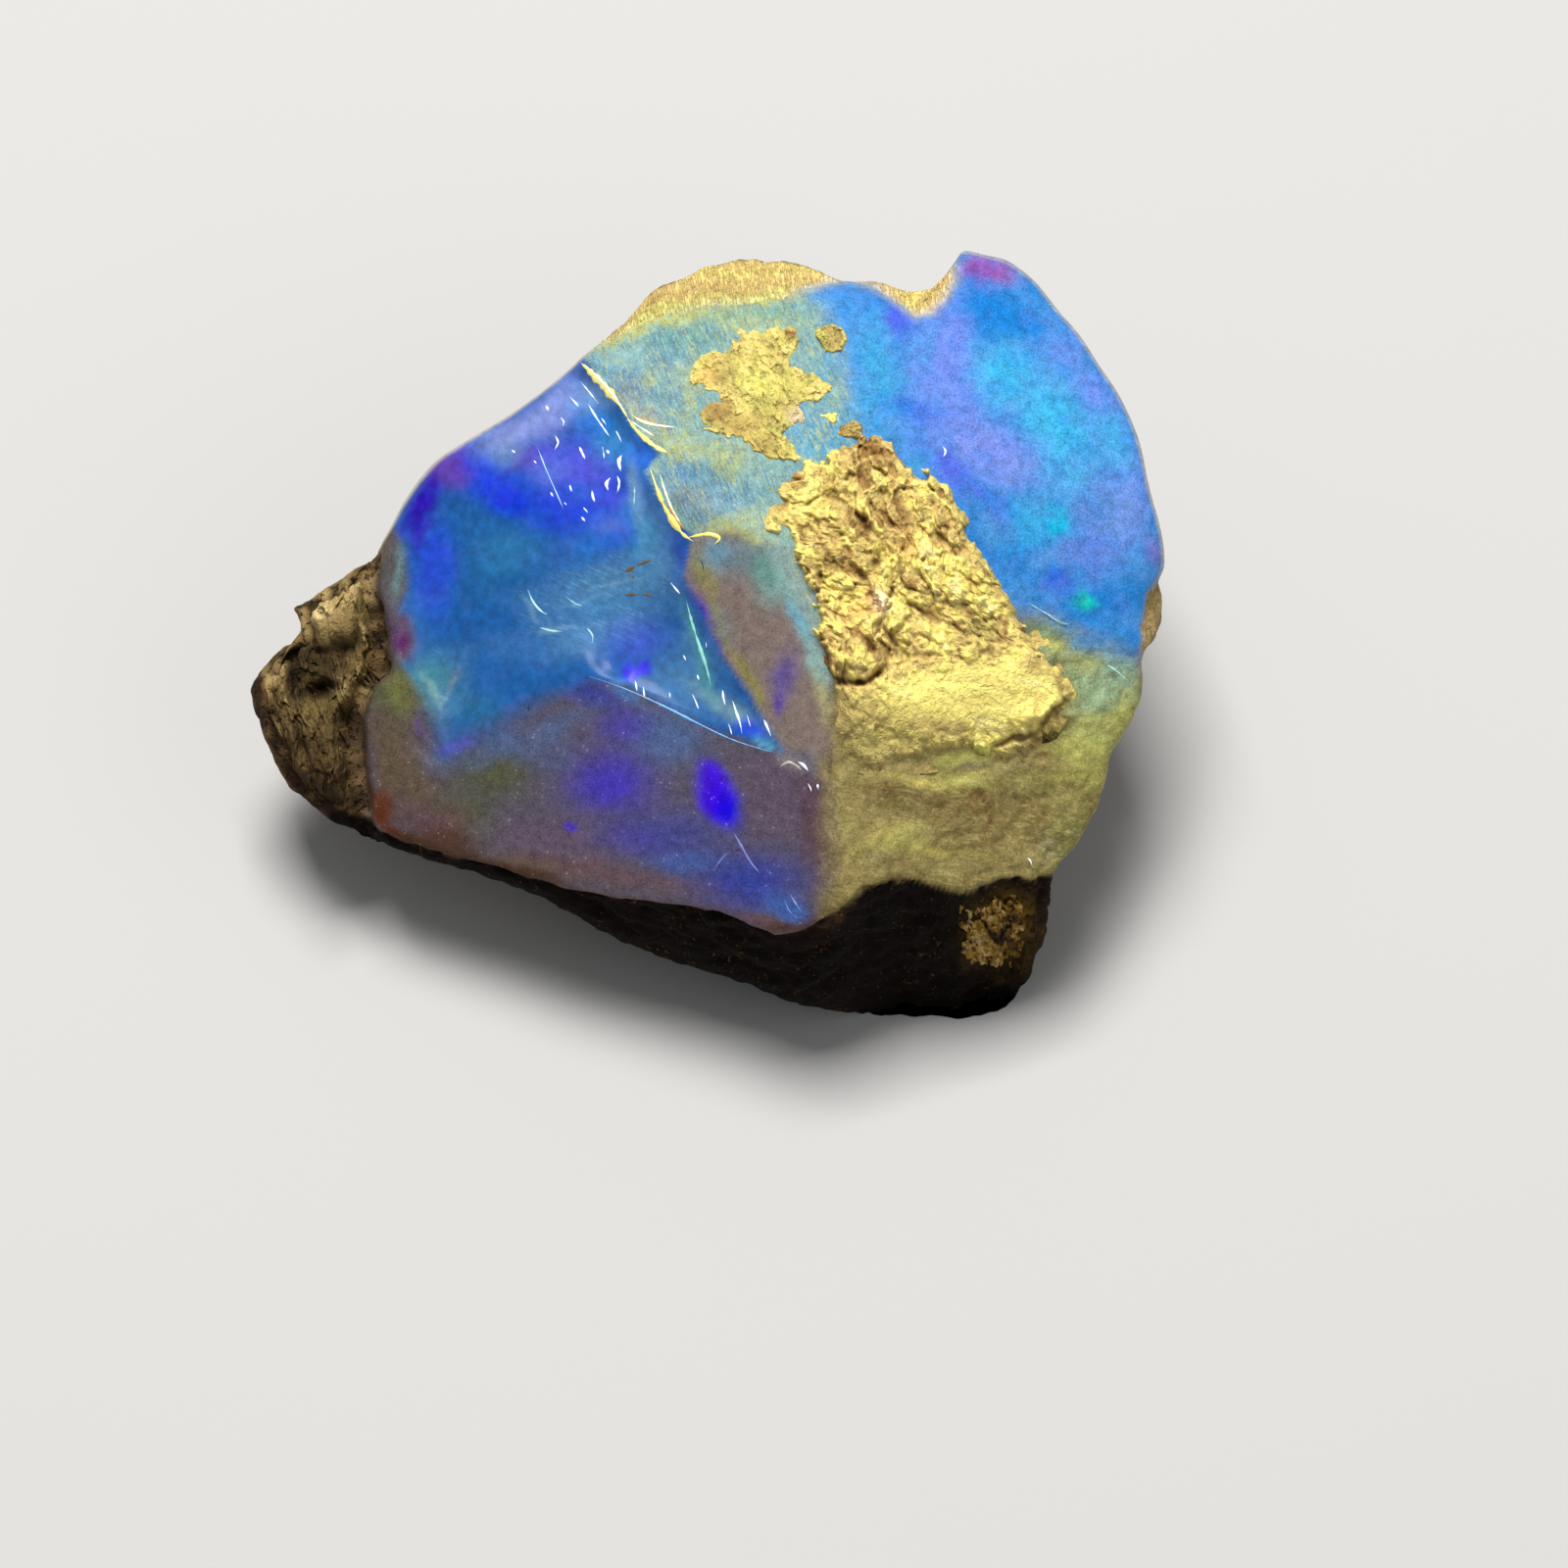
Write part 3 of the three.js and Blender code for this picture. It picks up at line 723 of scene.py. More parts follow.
class Tone(Enum):
    """The colours of the stone, as red, green and blue from 0 to 255."""

    DOME = (80, 160, 235)
    DOME_PALE = (120, 178, 250)
    DOME_TEAL = (62, 182, 232)
    DOME_BRIGHT = (70, 206, 255)
    PERIWINKLE = (124, 150, 250)
    AZURE = (24, 136, 226)
    SKY_TEAL = (72, 168, 224)
    TIP_MAGENTA = (168, 92, 186)
    VIOLET_BLUE = (88, 96, 245)
    CLEAR_BLUE = (48, 116, 240)
    CYAN_GLINT = (5, 205, 250)
    GREEN_GLINT = (0, 218, 195)
    BLUE_GREEN_DEEP = (44, 116, 168)
    # Partly the thin cream crust of the rim, partly painted highlight.
    RIM_CREAM_HIGHLIGHT = (224, 214, 178)
    UPPER = (134, 178, 176)
    PALE_TEAL = (160, 202, 196)
    TEAL_GREEN = (104, 166, 156)
    YELLOW_GREEN = (212, 216, 118)
    BEIGE_GLASS = (186, 178, 148)
    GREY_GLASS = (126, 144, 152)
    BLUE_GLASS = (92, 138, 186)
    GREY_BLUE = (104, 160, 194)
    STRAW_PALE = (204, 198, 128)
    SCOOP = (36, 100, 174)
    DEEP_BLUE = (42, 70, 244)
    BRIGHT_BLUE = (14, 22, 255)
    VIOLET_RIM = (48, 18, 186)
    MAUVE = (112, 66, 176)
    VIOLET_HAZE = (118, 104, 230)
    LAVENDER = (146, 164, 240)
    LAVENDER_PALE = (172, 188, 246)
    PALE_STREAK = (168, 214, 214)
    INDIGO = (44, 76, 190)
    SHADOW_BLUE = (56, 100, 180)
    SCOOP_TEAL = (38, 108, 168)
    HAZE = (92, 150, 196)
    WISP = (168, 208, 232)
    VIOLET_PATCH = (74, 58, 255)
    SCOOP_GREEN = (64, 142, 150)
    MAGENTA = (92, 10, 84)
    MAUVE_BROWN = (96, 66, 72)
    BAND_TEAL = (112, 142, 136)
    BAND_GREY = (100, 92, 80)
    CYAN_RIM = (110, 205, 235)
    STRIP = (146, 128, 120)
    VIOLET_STRIP = (78, 44, 188)
    MINT = (92, 172, 172)
    STRAW = (160, 150, 80)
    VIOLET_WASH = (106, 86, 172)
    FACET = (102, 94, 108)
    GREY_TEAL = (88, 116, 168)
    FACET_BLUE = (58, 72, 170)
    FACET_VIOLET = (76, 62, 196)
    FACET_OLIVE = (92, 96, 60)
    WARM_GREY = (110, 92, 66)
    MAUVE_GREY = (110, 90, 112)
    RUST_MAUVE = (104, 74, 84)
    SKY_SHADE = (64, 112, 198)
    ELLIPSE = (74, 16, 240)
    PINK_RIM = (116, 84, 82)
    RIM_BEIGE = (84, 56, 38)
    RIM_PALE = (138, 108, 84)
    RUST = (104, 50, 14)
    PALE_CHIP = (164, 156, 150)
    OLIVE = (152, 134, 80)
    OLIVE_BROWN = (130, 108, 64)
    OLIVE_YELLOW = (186, 186, 96)
    OLIVE_GREY = (154, 142, 112)
    OLIVE_GREEN = (124, 126, 70)
    OLIVE_PALE = (178, 164, 104)
    OLIVE_LIT = (186, 168, 104)
    OLIVE_DUSK = (162, 142, 88)
    OLIVE_SHADE = (112, 92, 54)
    CORE_BLUE = (30, 0, 255)
    BROWN_LINE = (104, 84, 58)
    OCHRE = (200, 162, 88)
    BLUE_GREEN = (150, 190, 158)
    BARK = (118, 94, 58)
    BARK_PALE = (182, 156, 102)
    BARK_OLIVE = (122, 106, 62)
    BARK_RUST = (116, 66, 30)
    # Painted highlight on the top of the bark lump.
    BARK_HIGHLIGHT = (238, 212, 150)
    # Near black painted shadow: pits, gaps between crumbs and grains, and shaded lobes.
    BARK_SHADOW = (20, 9, 5)
    BARK_SHADE = (58, 38, 20)
    # Near black: the wall's dark brown rock with painted shadow over it.
    WALL = (9, 4, 2)
    WALL_PATCH = (150, 114, 40)
    WALL_PALE = (184, 160, 98)
    BAND = (232, 204, 128)
    BAND_SHADE = (176, 140, 82)
    CRUST = (220, 194, 118)
    CRUST_BROWN = (168, 138, 80)
    CRUST_SHADE = (130, 94, 52)
    # Painted shadow in the crumbs' pits and deep hollows.
    CRUST_HOLLOW_SHADOW = (84, 52, 26)
    CRUST_PALE = (248, 232, 158)
    CRUST_YELLOW = (238, 220, 116)
    CRUST_BRIGHT = (248, 232, 128)
    LEMON = (190, 180, 94)
    CRUST_ORANGE = (236, 190, 108)
    CRUST_PINK = (242, 216, 190)
    CRUST_GREEN = (222, 226, 108)
    CRUST_OLIVE = (166, 150, 88)
    HOST = (118, 96, 60)
    HOST_DARK = (58, 40, 25)
    HOST_PALE = (176, 154, 104)
    # Painted glint on the little steps of the break.
    HACKLE_GLINT = (240, 246, 255)
    LIP = (230, 216, 116)
    # Painted highlight along the lip's crest.
    LIP_HIGHLIGHT = (255, 247, 208)
    LIP_RUST = (178, 122, 54)
    MINT_PALE = (140, 206, 196)
    # Painted highlight along the arris.
    ARRIS_HIGHLIGHT = (88, 160, 222)
    PINK_PALE = (150, 150, 186)
    RUST_FLECK = (98, 72, 34)
    FACET_SCRATCH = (112, 124, 176)
    BLACK_FLECK = (16, 24, 44)
    FLOOR = (182, 180, 177)

    @property
    def light(self) -> Array:
        """The colour in linear light, by the usual curve of a screen."""
        share = np.array(self.value) / 255.0
        return np.where(share <= 0.04045, share / 12.92, ((share + 0.055) / 1.055) ** 2.4)


def mixed(first: Array, second: Array, share: Array) -> Array:
    """From the first colour to the second by the share, point by point."""
    return first + (second - first) * share[..., None]


def ladder(tones: Sequence[Tone], value: Array) -> Array:
    """A colour for each value: the first tone at 0, the last at 1, the others evenly between.

    Args:
        tones: The tones in order.
        value: The places on the ladder.

    Returns:
        The colours, in linear light.
    """
    steps = np.linspace(0.0, 1.0, len(tones))
    lights = np.array([tone.light for tone in tones])
    return np.stack([np.interp(value, steps, lights[:, n]) for n in range(3)], axis=-1)


@dataclass(frozen=True)
class Spot:
    """A soft-edged spot of colour: its middle, half sizes, strength, turn, and edge hardness."""

    tone: Tone
    across: float
    up: float
    half_width: float
    half_length: float
    strength: float
    turn: float = 0.0
    hardness: float = 2.6

    def cover(self, across: Array, up: Array) -> Array:
        """The strength times exp(-reach^hardness)."""
        area = Swell(self.across, self.up, self.half_width, self.half_length, 1.0, self.turn)
        return self.strength * np.exp(-(area.reach(across, up) ** self.hardness))


def spots(*groups: tuple) -> tuple[Spot, ...]:
    """Spots from groups of one tone each.

    Args:
        groups: A tone, then a row for each spot: its across, up, half width, half length and
            strength, and its turn and hardness where they aren't the usual ones.

    Returns:
        The spots, in order.
    """
    return tuple(Spot(tone, *row) for tone, *rows in groups for row in rows)


def spotted(tint: Array, parts: Sequence[Spot], across: Array, up: Array) -> Array:
    """The colours with the spots laid over them in order.

    Args:
        tint: The colours in linear light.
        parts: The spots.
        across: The places' first coordinates.
        up: Their second ones.

    Returns:
        The new colours.
    """
    for spot in parts:
        tint = mixed(tint, spot.tone.light, spot.cover(across, up))
    return tint


@dataclass(frozen=True)
class Feel:
    """How a stretch of the stone looks close up.

    The crumb is the height of its chips in millimetres; the others are shares from 0 to 1: glassy,
    rocky, with painted shade between the chips, with steep pale strokes, near-level fibres, a play
    of colour, and pale dots and thin wisps.
    """

    gloss: float = 0.0
    rock: float = 0.0
    crumb: float = 0.0
    # How much painted shade lies in the gaps between the grains and chips.
    crevice_shade: float = 0.0
    strokes: float = 0.0
    fibres: float = 0.0
    fire: float = 0.0
    dots: float = 0.0
    wisps: float = 0.0


PARTS = tuple(part.name for part in fields(Feel))


@dataclass(frozen=True)
class Zone:
    """A stretch of the front: a border with its softness, a ground colour, a feel and spots."""

    name: str
    border: Points
    tone: Tone
    softness: float
    feel: Feel
    spots: tuple[Spot, ...] = ()
    stray: float = 1.0
    strength: float = 1.0
    blurs: tuple[Swell, ...] = ()

    def cover(self, across: Array, up: Array) -> Array:
        """The strength inside the border and 0 outside it, with a ramp across it."""
        softness = self.softness + swells(self.blurs, across, up)
        return self.strength * ramp(-1.0, 1.0, inward(self.border, across, up) / softness)

    def colour(self, across: Array, up: Array) -> Array:
        """The ground colour with the spots laid over it."""
        ground = np.broadcast_to(self.tone.light, (*np.shape(across), 3))
        return spotted(ground, self.spots, across, up)


DOME_SPOTS = spots(
    (Tone.SKY_TEAL, (4.1, 6.0, 0.82, 1.44, 0.8)),
    (Tone.DOME_PALE, (8.6, 6.2, 0.63, 0.39, 0.5, -40), (7.9, 5.7, 0.48, 0.34, 0.5),
     (9.2, 4.3, 0.58, 0.48, 0.5)),
    (Tone.PERIWINKLE, (6.1, 6.6, 0.67, 1.8, 0.9, 5), (5.9, 7.7, 0.34, 0.82, 0.7, 12),
     (7.1, 4.5, 1.59, 0.72, 0.95, -18), (10.4, 3.4, 0.63, 1.01, 0.7, 10),
     (9.4, 2.1, 0.87, 0.38, 0.75, 10), (9.1, 7.2, 0.6, 0.53, 0.5, 20)),
    (Tone.AZURE, (7.2, 8.0, 1.06, 0.72, 0.95, -15), (8.1, 7.6, 0.48, 0.34, 0.9),
     (7.7, 2.1, 0.82, 0.77, 0.8), (9.9, 1.0, 1.2, 0.53, 0.85), (10.2, -0.2, 0.53, 0.34, 0.7),
     (10.5, -0.3, 0.34, 0.39, 0.8), (4.4, 8.4, 0.67, 0.38, 0.6), (8.1, 8.9, 0.63, 0.29, 0.6, -50)),
    (Tone.TIP_MAGENTA, (6.9, 9.0, 0.63, 0.34, 0.95), (11.2, 2.1, 0.24, 0.34, 0.5),
     (6.95, 9.25, 0.6, 0.25, 0.9)),
    (Tone.VIOLET_BLUE, (6.1, 4.0, 0.31, 1.11, 0.8, 46), (4.7, 7.7, 0.31, 0.53, 0.7, 10),
     (8.6, 1.3, 0.43, 0.26, 0.6), (4.75, 7.75, 0.35, 0.35, 0.6)),
    (Tone.CLEAR_BLUE, (5.3, 5.4, 1.15, 0.26, 0.8, -15), (7.5, 3.0, 0.96, 0.34, 0.7, -20),
     (8.5, 1.4, 0.24, 0.22, 0.8)),
    (Tone.SKY_TEAL, (5.1, 4.2, 0.82, 0.12, 0.7, 40), (6.8, 2.8, 0.19, 0.96, 0.6, 30)),
    (Tone.BLUE_GREEN_DEEP, (4.5, 4.6, 0.62, 0.14, 0.5, 20)),
    (Tone.CYAN_GLINT, (8.7, 3.0, 0.26, 0.31, 1.0), (8.7, 2.6, 0.22, 0.22, 0.8)),
    (Tone.GREEN_GLINT, (9.4, 0.9, 0.31, 0.22, 1.0, 15)),
    (Tone.AZURE, (7.0, 8.1, 0.7, 0.5, 0.8, -30), (7.9, 7.6, 0.5, 0.4, 0.8)),
    (Tone.DOME_TEAL, (7.4, 6.5, 0.7, 0.7, 0.7, -20), (8.9, 5.4, 0.6, 1.1, 0.6, 12),
     (8.1, 3.0, 0.7, 0.4, 0.6, 20), (4.2, 6.6, 0.4, 1.0, 0.6, -5)),
    (Tone.PERIWINKLE, (5.6, 7.0, 0.45, 1.2, 0.8, -8), (9.7, 6.1, 0.4, 0.7, 0.6, 35),
     (10.5, 3.9, 0.5, 0.9, 0.6, 10)),
    (Tone.LAVENDER, (6.4, 4.9, 0.9, 0.5, 0.5, -15), (7.6, 4.1, 0.6, 0.4, 0.5)),
    (Tone.AZURE, (9.3, 2.9, 0.4, 0.5, 0.6), (6.6, 2.6, 0.3, 0.8, 0.6, 30),
     (9.2, 0.4, 0.9, 0.3, 0.7, -10)),
    (Tone.DOME_PALE, (8.3, 1.9, 0.5, 0.2, 0.5, 20)),
    (Tone.DOME_BRIGHT, (8.7, 4.9, 0.75, 1.5, 0.75, 14), (7.3, 6.4, 0.7, 0.7, 0.6),
     (8.0, 2.7, 0.6, 0.6, 0.5), (10.1, 4.7, 0.35, 0.9, 0.6, 22)),
    (Tone.LAVENDER, (9.9, 3.1, 0.9, 0.7, 0.55)),
    (Tone.PERIWINKLE, (9.6, 5.9, 0.4, 0.7, 0.5, 35), (9.7, 1.85, 0.6, 0.4, 0.5),
     (6.3, 7.6, 0.35, 0.5, 0.7)),
    (Tone.CYAN_GLINT, (8.7, 2.85, 0.3, 0.35, 0.9)),
    (Tone.GREEN_GLINT, (9.35, 0.9, 0.3, 0.24, 0.9, 15), (9.3, 0.75, 0.3, 0.25, 0.6)),
    (Tone.MAUVE, (6.75, 8.8, 0.3, 0.3, 0.6)),
    (Tone.DOME_PALE, (10.4, 3.1, 0.4, 0.6, 0.5), (7.0, 2.8, 0.5, 0.4, 0.35)),
    (Tone.GREY_BLUE, (10.1, -0.3, 0.4, 0.3, 0.6)),
    (Tone.DOME_BRIGHT, (8.5, 3.1, 0.25, 0.25, 0.6)),
    (Tone.DOME, (9.7, 3.2, 0.4, 0.4, 0.5), (5.5, 7.1, 0.3, 0.5, 0.7)),
)
UPPER_SPOTS = spots(
    (Tone.GREY_BLUE, (-2.1, 6.3, 0.53, 0.48, 0.6), (-0.1, 4.0, 0.63, 0.53, 0.7),
     (1.0, 3.3, 0.82, 0.38, 0.6, -20), (-0.7, 6.4, 0.48, 0.82, 0.6, 20),
     (-2.3, 6.6, 0.29, 0.58, 0.7, 50), (-1.3, 6.8, 0.63, 0.29, 0.6)),
    (Tone.SKY_TEAL, (2.4, 4.8, 0.63, 0.72, 0.7), (3.4, 5.0, 0.48, 0.34, 0.8),
     (2.8, 6.0, 0.29, 0.38, 0.7), (2.9, 6.9, 0.29, 0.48, 0.6), (3.6, 5.7, 0.38, 0.96, 0.7)),
    (Tone.TEAL_GREEN, (0.6, 7.9, 1.21, 0.29, 0.7, 6), (2.0, 8.0, 0.63, 0.34, 0.6),
     (2.7, 4.6, 0.38, 0.29, 0.7)),
    (Tone.PALE_TEAL, (-1.9, 6.9, 0.72, 0.34, 0.7, -5), (2.7, 8.0, 0.58, 0.43, 0.5)),
    (Tone.YELLOW_GREEN, (-1.9, 7.5, 1.06, 0.22, 0.9, 14), (-0.7, 7.7, 1.21, 0.17, 0.9, 12),
     (1.7, 8.3, 0.97, 0.12, 0.7, 8), (0.0, 4.6, 0.96, 0.24, 0.6, -12), (-0.3, 5.9, 0.19, 0.96, 0.5),
     (0.8, 4.2, 0.48, 0.29, 0.6, -30), (0.6, 4.0, 0.62, 0.12, 0.5, -40), (3.4, 7.2, 0.19, 0.72, 0.4),
     (-0.7, 4.5, 0.38, 0.24, 0.7, -30), (-1.5, 6.3, 0.24, 0.14, 0.6), (0.4, 2.4, 0.43, 0.19, 0.8),
     (0.6, 2.5, 0.62, 0.29, 0.7), (1.4, 2.1, 0.24, 0.48, 0.6, 20)),
    (Tone.BEIGE_GLASS, (-1.4, 5.3, 0.72, 0.19, 0.8, -38), (-0.1, 3.3, 0.63, 0.31, 0.7, -30),
     (-1.9, 5.9, 0.34, 0.63, 0.6, 38)),
    (Tone.GREY_GLASS, (-0.3, 3.2, 0.53, 0.31, 0.8, -40)),
    (Tone.BLUE_GLASS, (-0.1, 2.9, 0.38, 0.19, 0.6, -30), (-1.9, 6.2, 0.4, 0.9, 0.4, 40),
     (-0.6, 4.0, 0.5, 0.3, 0.5)),
    (Tone.STRAW_PALE, (-1.2, 4.7, 0.29, 0.12, 0.5, -40)),
    (Tone.YELLOW_GREEN, (1.0, 2.75, 0.9, 0.35, 0.7, 20)),
    (Tone.PALE_TEAL, (1.5, 4.0, 0.7, 0.3, 0.6, 20), (-2.3, 7.1, 0.5, 0.25, 0.6)),
    (Tone.TEAL_GREEN, (-0.6, 7.2, 0.9, 0.25, 0.6, 10)),
    (Tone.SKY_TEAL, (2.9, 4.6, 0.7, 0.25, 0.6, 10)),
    (Tone.GREY_BLUE, (0.6, 3.4, 0.7, 0.4, 0.7), (-0.5, 3.75, 0.5, 0.3, 0.5)),
    (Tone.YELLOW_GREEN, (-0.2, 7.7, 1.2, 0.25, 0.5, 5), (3.4, 5.9, 0.3, 0.3, 0.3),
     (1.5, 7.65, 0.9, 0.3, 0.5), (-0.5, 6.4, 0.5, 0.4, 0.35)),
)
OLIVE_SPOTS = spots(
    (Tone.OLIVE_LIT, (4.6, -3.5, 2.2, 0.6, 0.9), (4.2, -4.9, 1.6, 0.8, 0.6), (7.9, -3.1, 1.4, 0.5, 0.7),
     (8.0, -5.6, 1.0, 0.4, 0.5, 10)),
    (Tone.BLUE_GREEN, (9.9, -1.9, 0.7, 0.8, 0.7, -10)),
    (Tone.OLIVE_BROWN, (5.1, -4.0, 1.93, 0.53, 0.7, -4), (6.8, -4.6, 0.97, 0.63, 0.6)),
    (Tone.OLIVE_GREEN, (9.0, -4.9, 0.63, 1.21, 0.7, -25), (8.3, -3.7, 1.21, 0.39, 0.5)),
    (Tone.OLIVE_YELLOW, (4.7, -5.3, 0.48, 0.19, 0.7, 12), (6.2, -3.1, 0.82, 0.17, 0.9),
     (6.4, -3.6, 0.63, 0.1, 0.8, -8), (5.9, -3.35, 0.4, 0.07, 0.8, 20),
     (7.1, -3.5, 0.3, 0.08, 0.7, 30)),
    (Tone.OLIVE_PALE, (5.9, -5.8, 1.06, 0.24, 0.6), (5.8, -4.9, 0.97, 0.19, 0.5, 10),
     (5.0, -4.45, 0.5, 0.1, 0.6, 25)),
    (Tone.OLIVE_GREY, (8.5, -5.3, 0.24, 0.34, 0.5), (4.4, -5.6, 0.39, 0.14, 0.5),
     (6.8, -3.3, 0.72, 0.14, 0.7)),
    (Tone.OLIVE_YELLOW, (5.3, -5.2, 0.5, 0.09, 0.6, 28), (6.9, -5.5, 0.6, 0.09, 0.6, -8),
     (9.2, -2.8, 0.63, 0.34, 0.7), (9.7, -3.6, 0.39, 0.19, 0.7, -20)),
    (Tone.CRUST_SHADE, (4.6, -3.85, 0.35, 0.08, 0.6, 15), (6.95, -4.75, 0.1, 0.36, 0.6),
     (6.8, -4.05, 0.22, 0.1, 0.5, -30), (5.9, -5.0, 0.12, 0.1, 0.5), (8.2, -4.45, 0.14, 0.1, 0.5)),
    (Tone.STRAW, (8.9, -3.6, 0.82, 0.17, 0.7, -4), (10.0, -2.3, 0.63, 0.63, 0.5)),
    (Tone.OLIVE_YELLOW, (10.3, -2.2, 0.44, 0.39, 0.6)),
    (Tone.OCHRE, (9.2, -0.8, 0.17, 0.41, 0.7, 5)),
    (Tone.BLUE_GREEN, (9.8, -1.3, 0.82, 0.53, 0.9), (10.4, -1.0, 0.39, 0.73, 0.8),
     (8.8, -0.2, 0.34, 0.53, 0.5), (8.6, -0.1, 0.6, 0.6, 0.9, 30)),
    (Tone.PALE_TEAL, (9.4, -1.9, 0.29, 0.12, 0.4)),
    (Tone.STRAW_PALE, (3.4, -4.4, 0.34, 0.72, 0.6)),
    (Tone.OLIVE_PALE, (7.8, -5.6, 0.48, 0.24, 0.5)),
    (Tone.OLIVE_LIT, (3.5, -5.0, 0.5, 1.4, 0.7), (7.0, -5.1, 0.5, 0.3, 0.3, 10),
     (8.9, -4.2, 0.3, 0.7, 0.5, -30)),
    (Tone.CRUST_YELLOW, (4.3, -5.15, 0.9, 0.1, 0.7, 28), (5.9, -5.35, 0.7, 0.09, 0.65, -14),
     (5.4, -3.65, 0.9, 0.12, 0.7, -16), (6.7, -3.5, 0.6, 0.1, 0.7, 22)),
    (Tone.OLIVE_YELLOW, (9.6, -3.2, 0.4, 0.6, 0.7, -30)),
    (Tone.BROWN_LINE, (3.1, -2.9, 0.07, 0.7, 0.8, 2), (3.25, -4.6, 0.07, 1.0, 0.6, -2)),
    (Tone.CRUST_SHADE, (4.1, -3.85, 0.5, 0.12, 0.7, -15), (6.9, -4.6, 0.07, 0.5, 0.8, 6),
     (6.7, -4.15, 0.3, 0.06, 0.7, 30), (8.4, -3.0, 0.3, 0.09, 0.8, 10), (7.9, -4.3, 0.1, 0.14, 0.6)),
    (Tone.BLUE_GREEN, (9.7, -1.0, 0.9, 0.8, 0.7)),
    (Tone.SKY_TEAL, (9.6, -0.3, 0.9, 0.35, 0.7)),
    (Tone.OLIVE_YELLOW, (9.0, -1.5, 0.3, 0.4, 0.5, 40), (10.4, -1.8, 0.45, 0.6, 0.8),
     (9.4, -0.8, 0.35, 0.3, 0.4), (9.7, -2.2, 0.5, 0.4, 0.5)),
    (Tone.PALE_TEAL, (10.0, -1.2, 0.6, 0.5, 0.35)),
    (Tone.OLIVE_BROWN, (7.0, -5.5, 0.8, 0.4, 0.5)),
    (Tone.OLIVE_SHADE, (4.3, -4.25, 0.9, 0.16, 0.5, -8), (6.2, -4.9, 0.5, 0.12, 0.5, 14),
     (7.6, -4.0, 0.5, 0.14, 0.5, -12)),
    (Tone.BARK_SHADE, (6.85, -4.15, 0.06, 0.16, 0.6), (6.75, -3.95, 0.24, 0.05, 0.5, 30),
     (6.95, -4.65, 0.06, 0.22, 0.6, 4), (8.3, -4.35, 0.14, 0.06, 0.5),
     (4.6, -4.75, 0.16, 0.05, 0.4, 20)),
    (Tone.OLIVE_DUSK, (3.9, -4.2, 0.5, 0.9, 0.5)),
    (Tone.YELLOW_GREEN, (6.4, -3.75, 0.7, 0.1, 0.6, -12), (4.9, -5.0, 0.6, 0.1, 0.5, 25),
     (9.6, -2.6, 0.5, 0.5, 0.4, -30), (9.25, -2.2, 0.5, 0.5, 0.3), (9.75, -1.25, 0.5, 0.4, 0.3),
     (8.65, -0.35, 0.3, 0.35, 0.9, 30), (9.3, -0.7, 0.5, 0.3, 0.35)),
    (Tone.OLIVE_LIT, (3.7, -4.8, 0.5, 0.9, 0.45)),
    (Tone.PALE_TEAL, (10.1, -0.4, 0.35, 0.3, 0.6)),
)
STRIP_SPOTS = spots(
    (Tone.PALE_TEAL, (0.2, 1.8, 0.38, 0.34, 0.7), (1.7, 1.3, 0.48, 0.58, 0.6, 30),
     (2.0, 1.3, 0.22, 0.95, 0.85, 30)),
    (Tone.VIOLET_STRIP, (-0.2, 0.6, 0.24, 0.53, 1.0, 26), (0.2, -0.3, 0.22, 0.63, 1.0, 24)),
    (Tone.STRAW, (-0.1, 1.6, 0.19, 0.38, 0.95, 14), (0.4, 0.3, 0.14, 0.82, 0.95, 24),
     (1.0, -0.9, 0.14, 0.67, 0.9, 32), (1.4, -1.6, 0.14, 0.43, 0.8, 28)),
    (Tone.VIOLET_WASH, (2.0, -1.0, 0.31, 0.58, 0.8, -15)),
    (Tone.VIOLET_STRIP, (1.9, -1.7, 0.1, 0.31, 0.7)),
    (Tone.CYAN_RIM, (2.45, 0.2, 0.16, 0.7, 0.8, 24)),
    (Tone.PALE_TEAL, (2.75, -0.7, 0.18, 0.8, 0.8, 22)),
    (Tone.STRAW_PALE, (2.95, -1.7, 0.14, 0.7, 0.7, 14)),
    (Tone.GREY_GLASS, (0.9, 1.9, 0.8, 0.5, 0.9, 10)),
    (Tone.GREY_BLUE, (0.3, 1.9, 0.4, 0.3, 0.6)),
    (Tone.TEAL_GREEN, (1.5, 1.5, 0.35, 0.6, 0.7, 24)),
    (Tone.YELLOW_GREEN, (1.4, 2.4, 0.7, 0.2, 0.8, -10)),
    (Tone.STRAW, (0.2, 1.3, 0.14, 0.4, 0.7, 16)),
    (Tone.GREY_GLASS, (0.45, 0.2, 0.3, 0.6, 0.55, 24)),
)
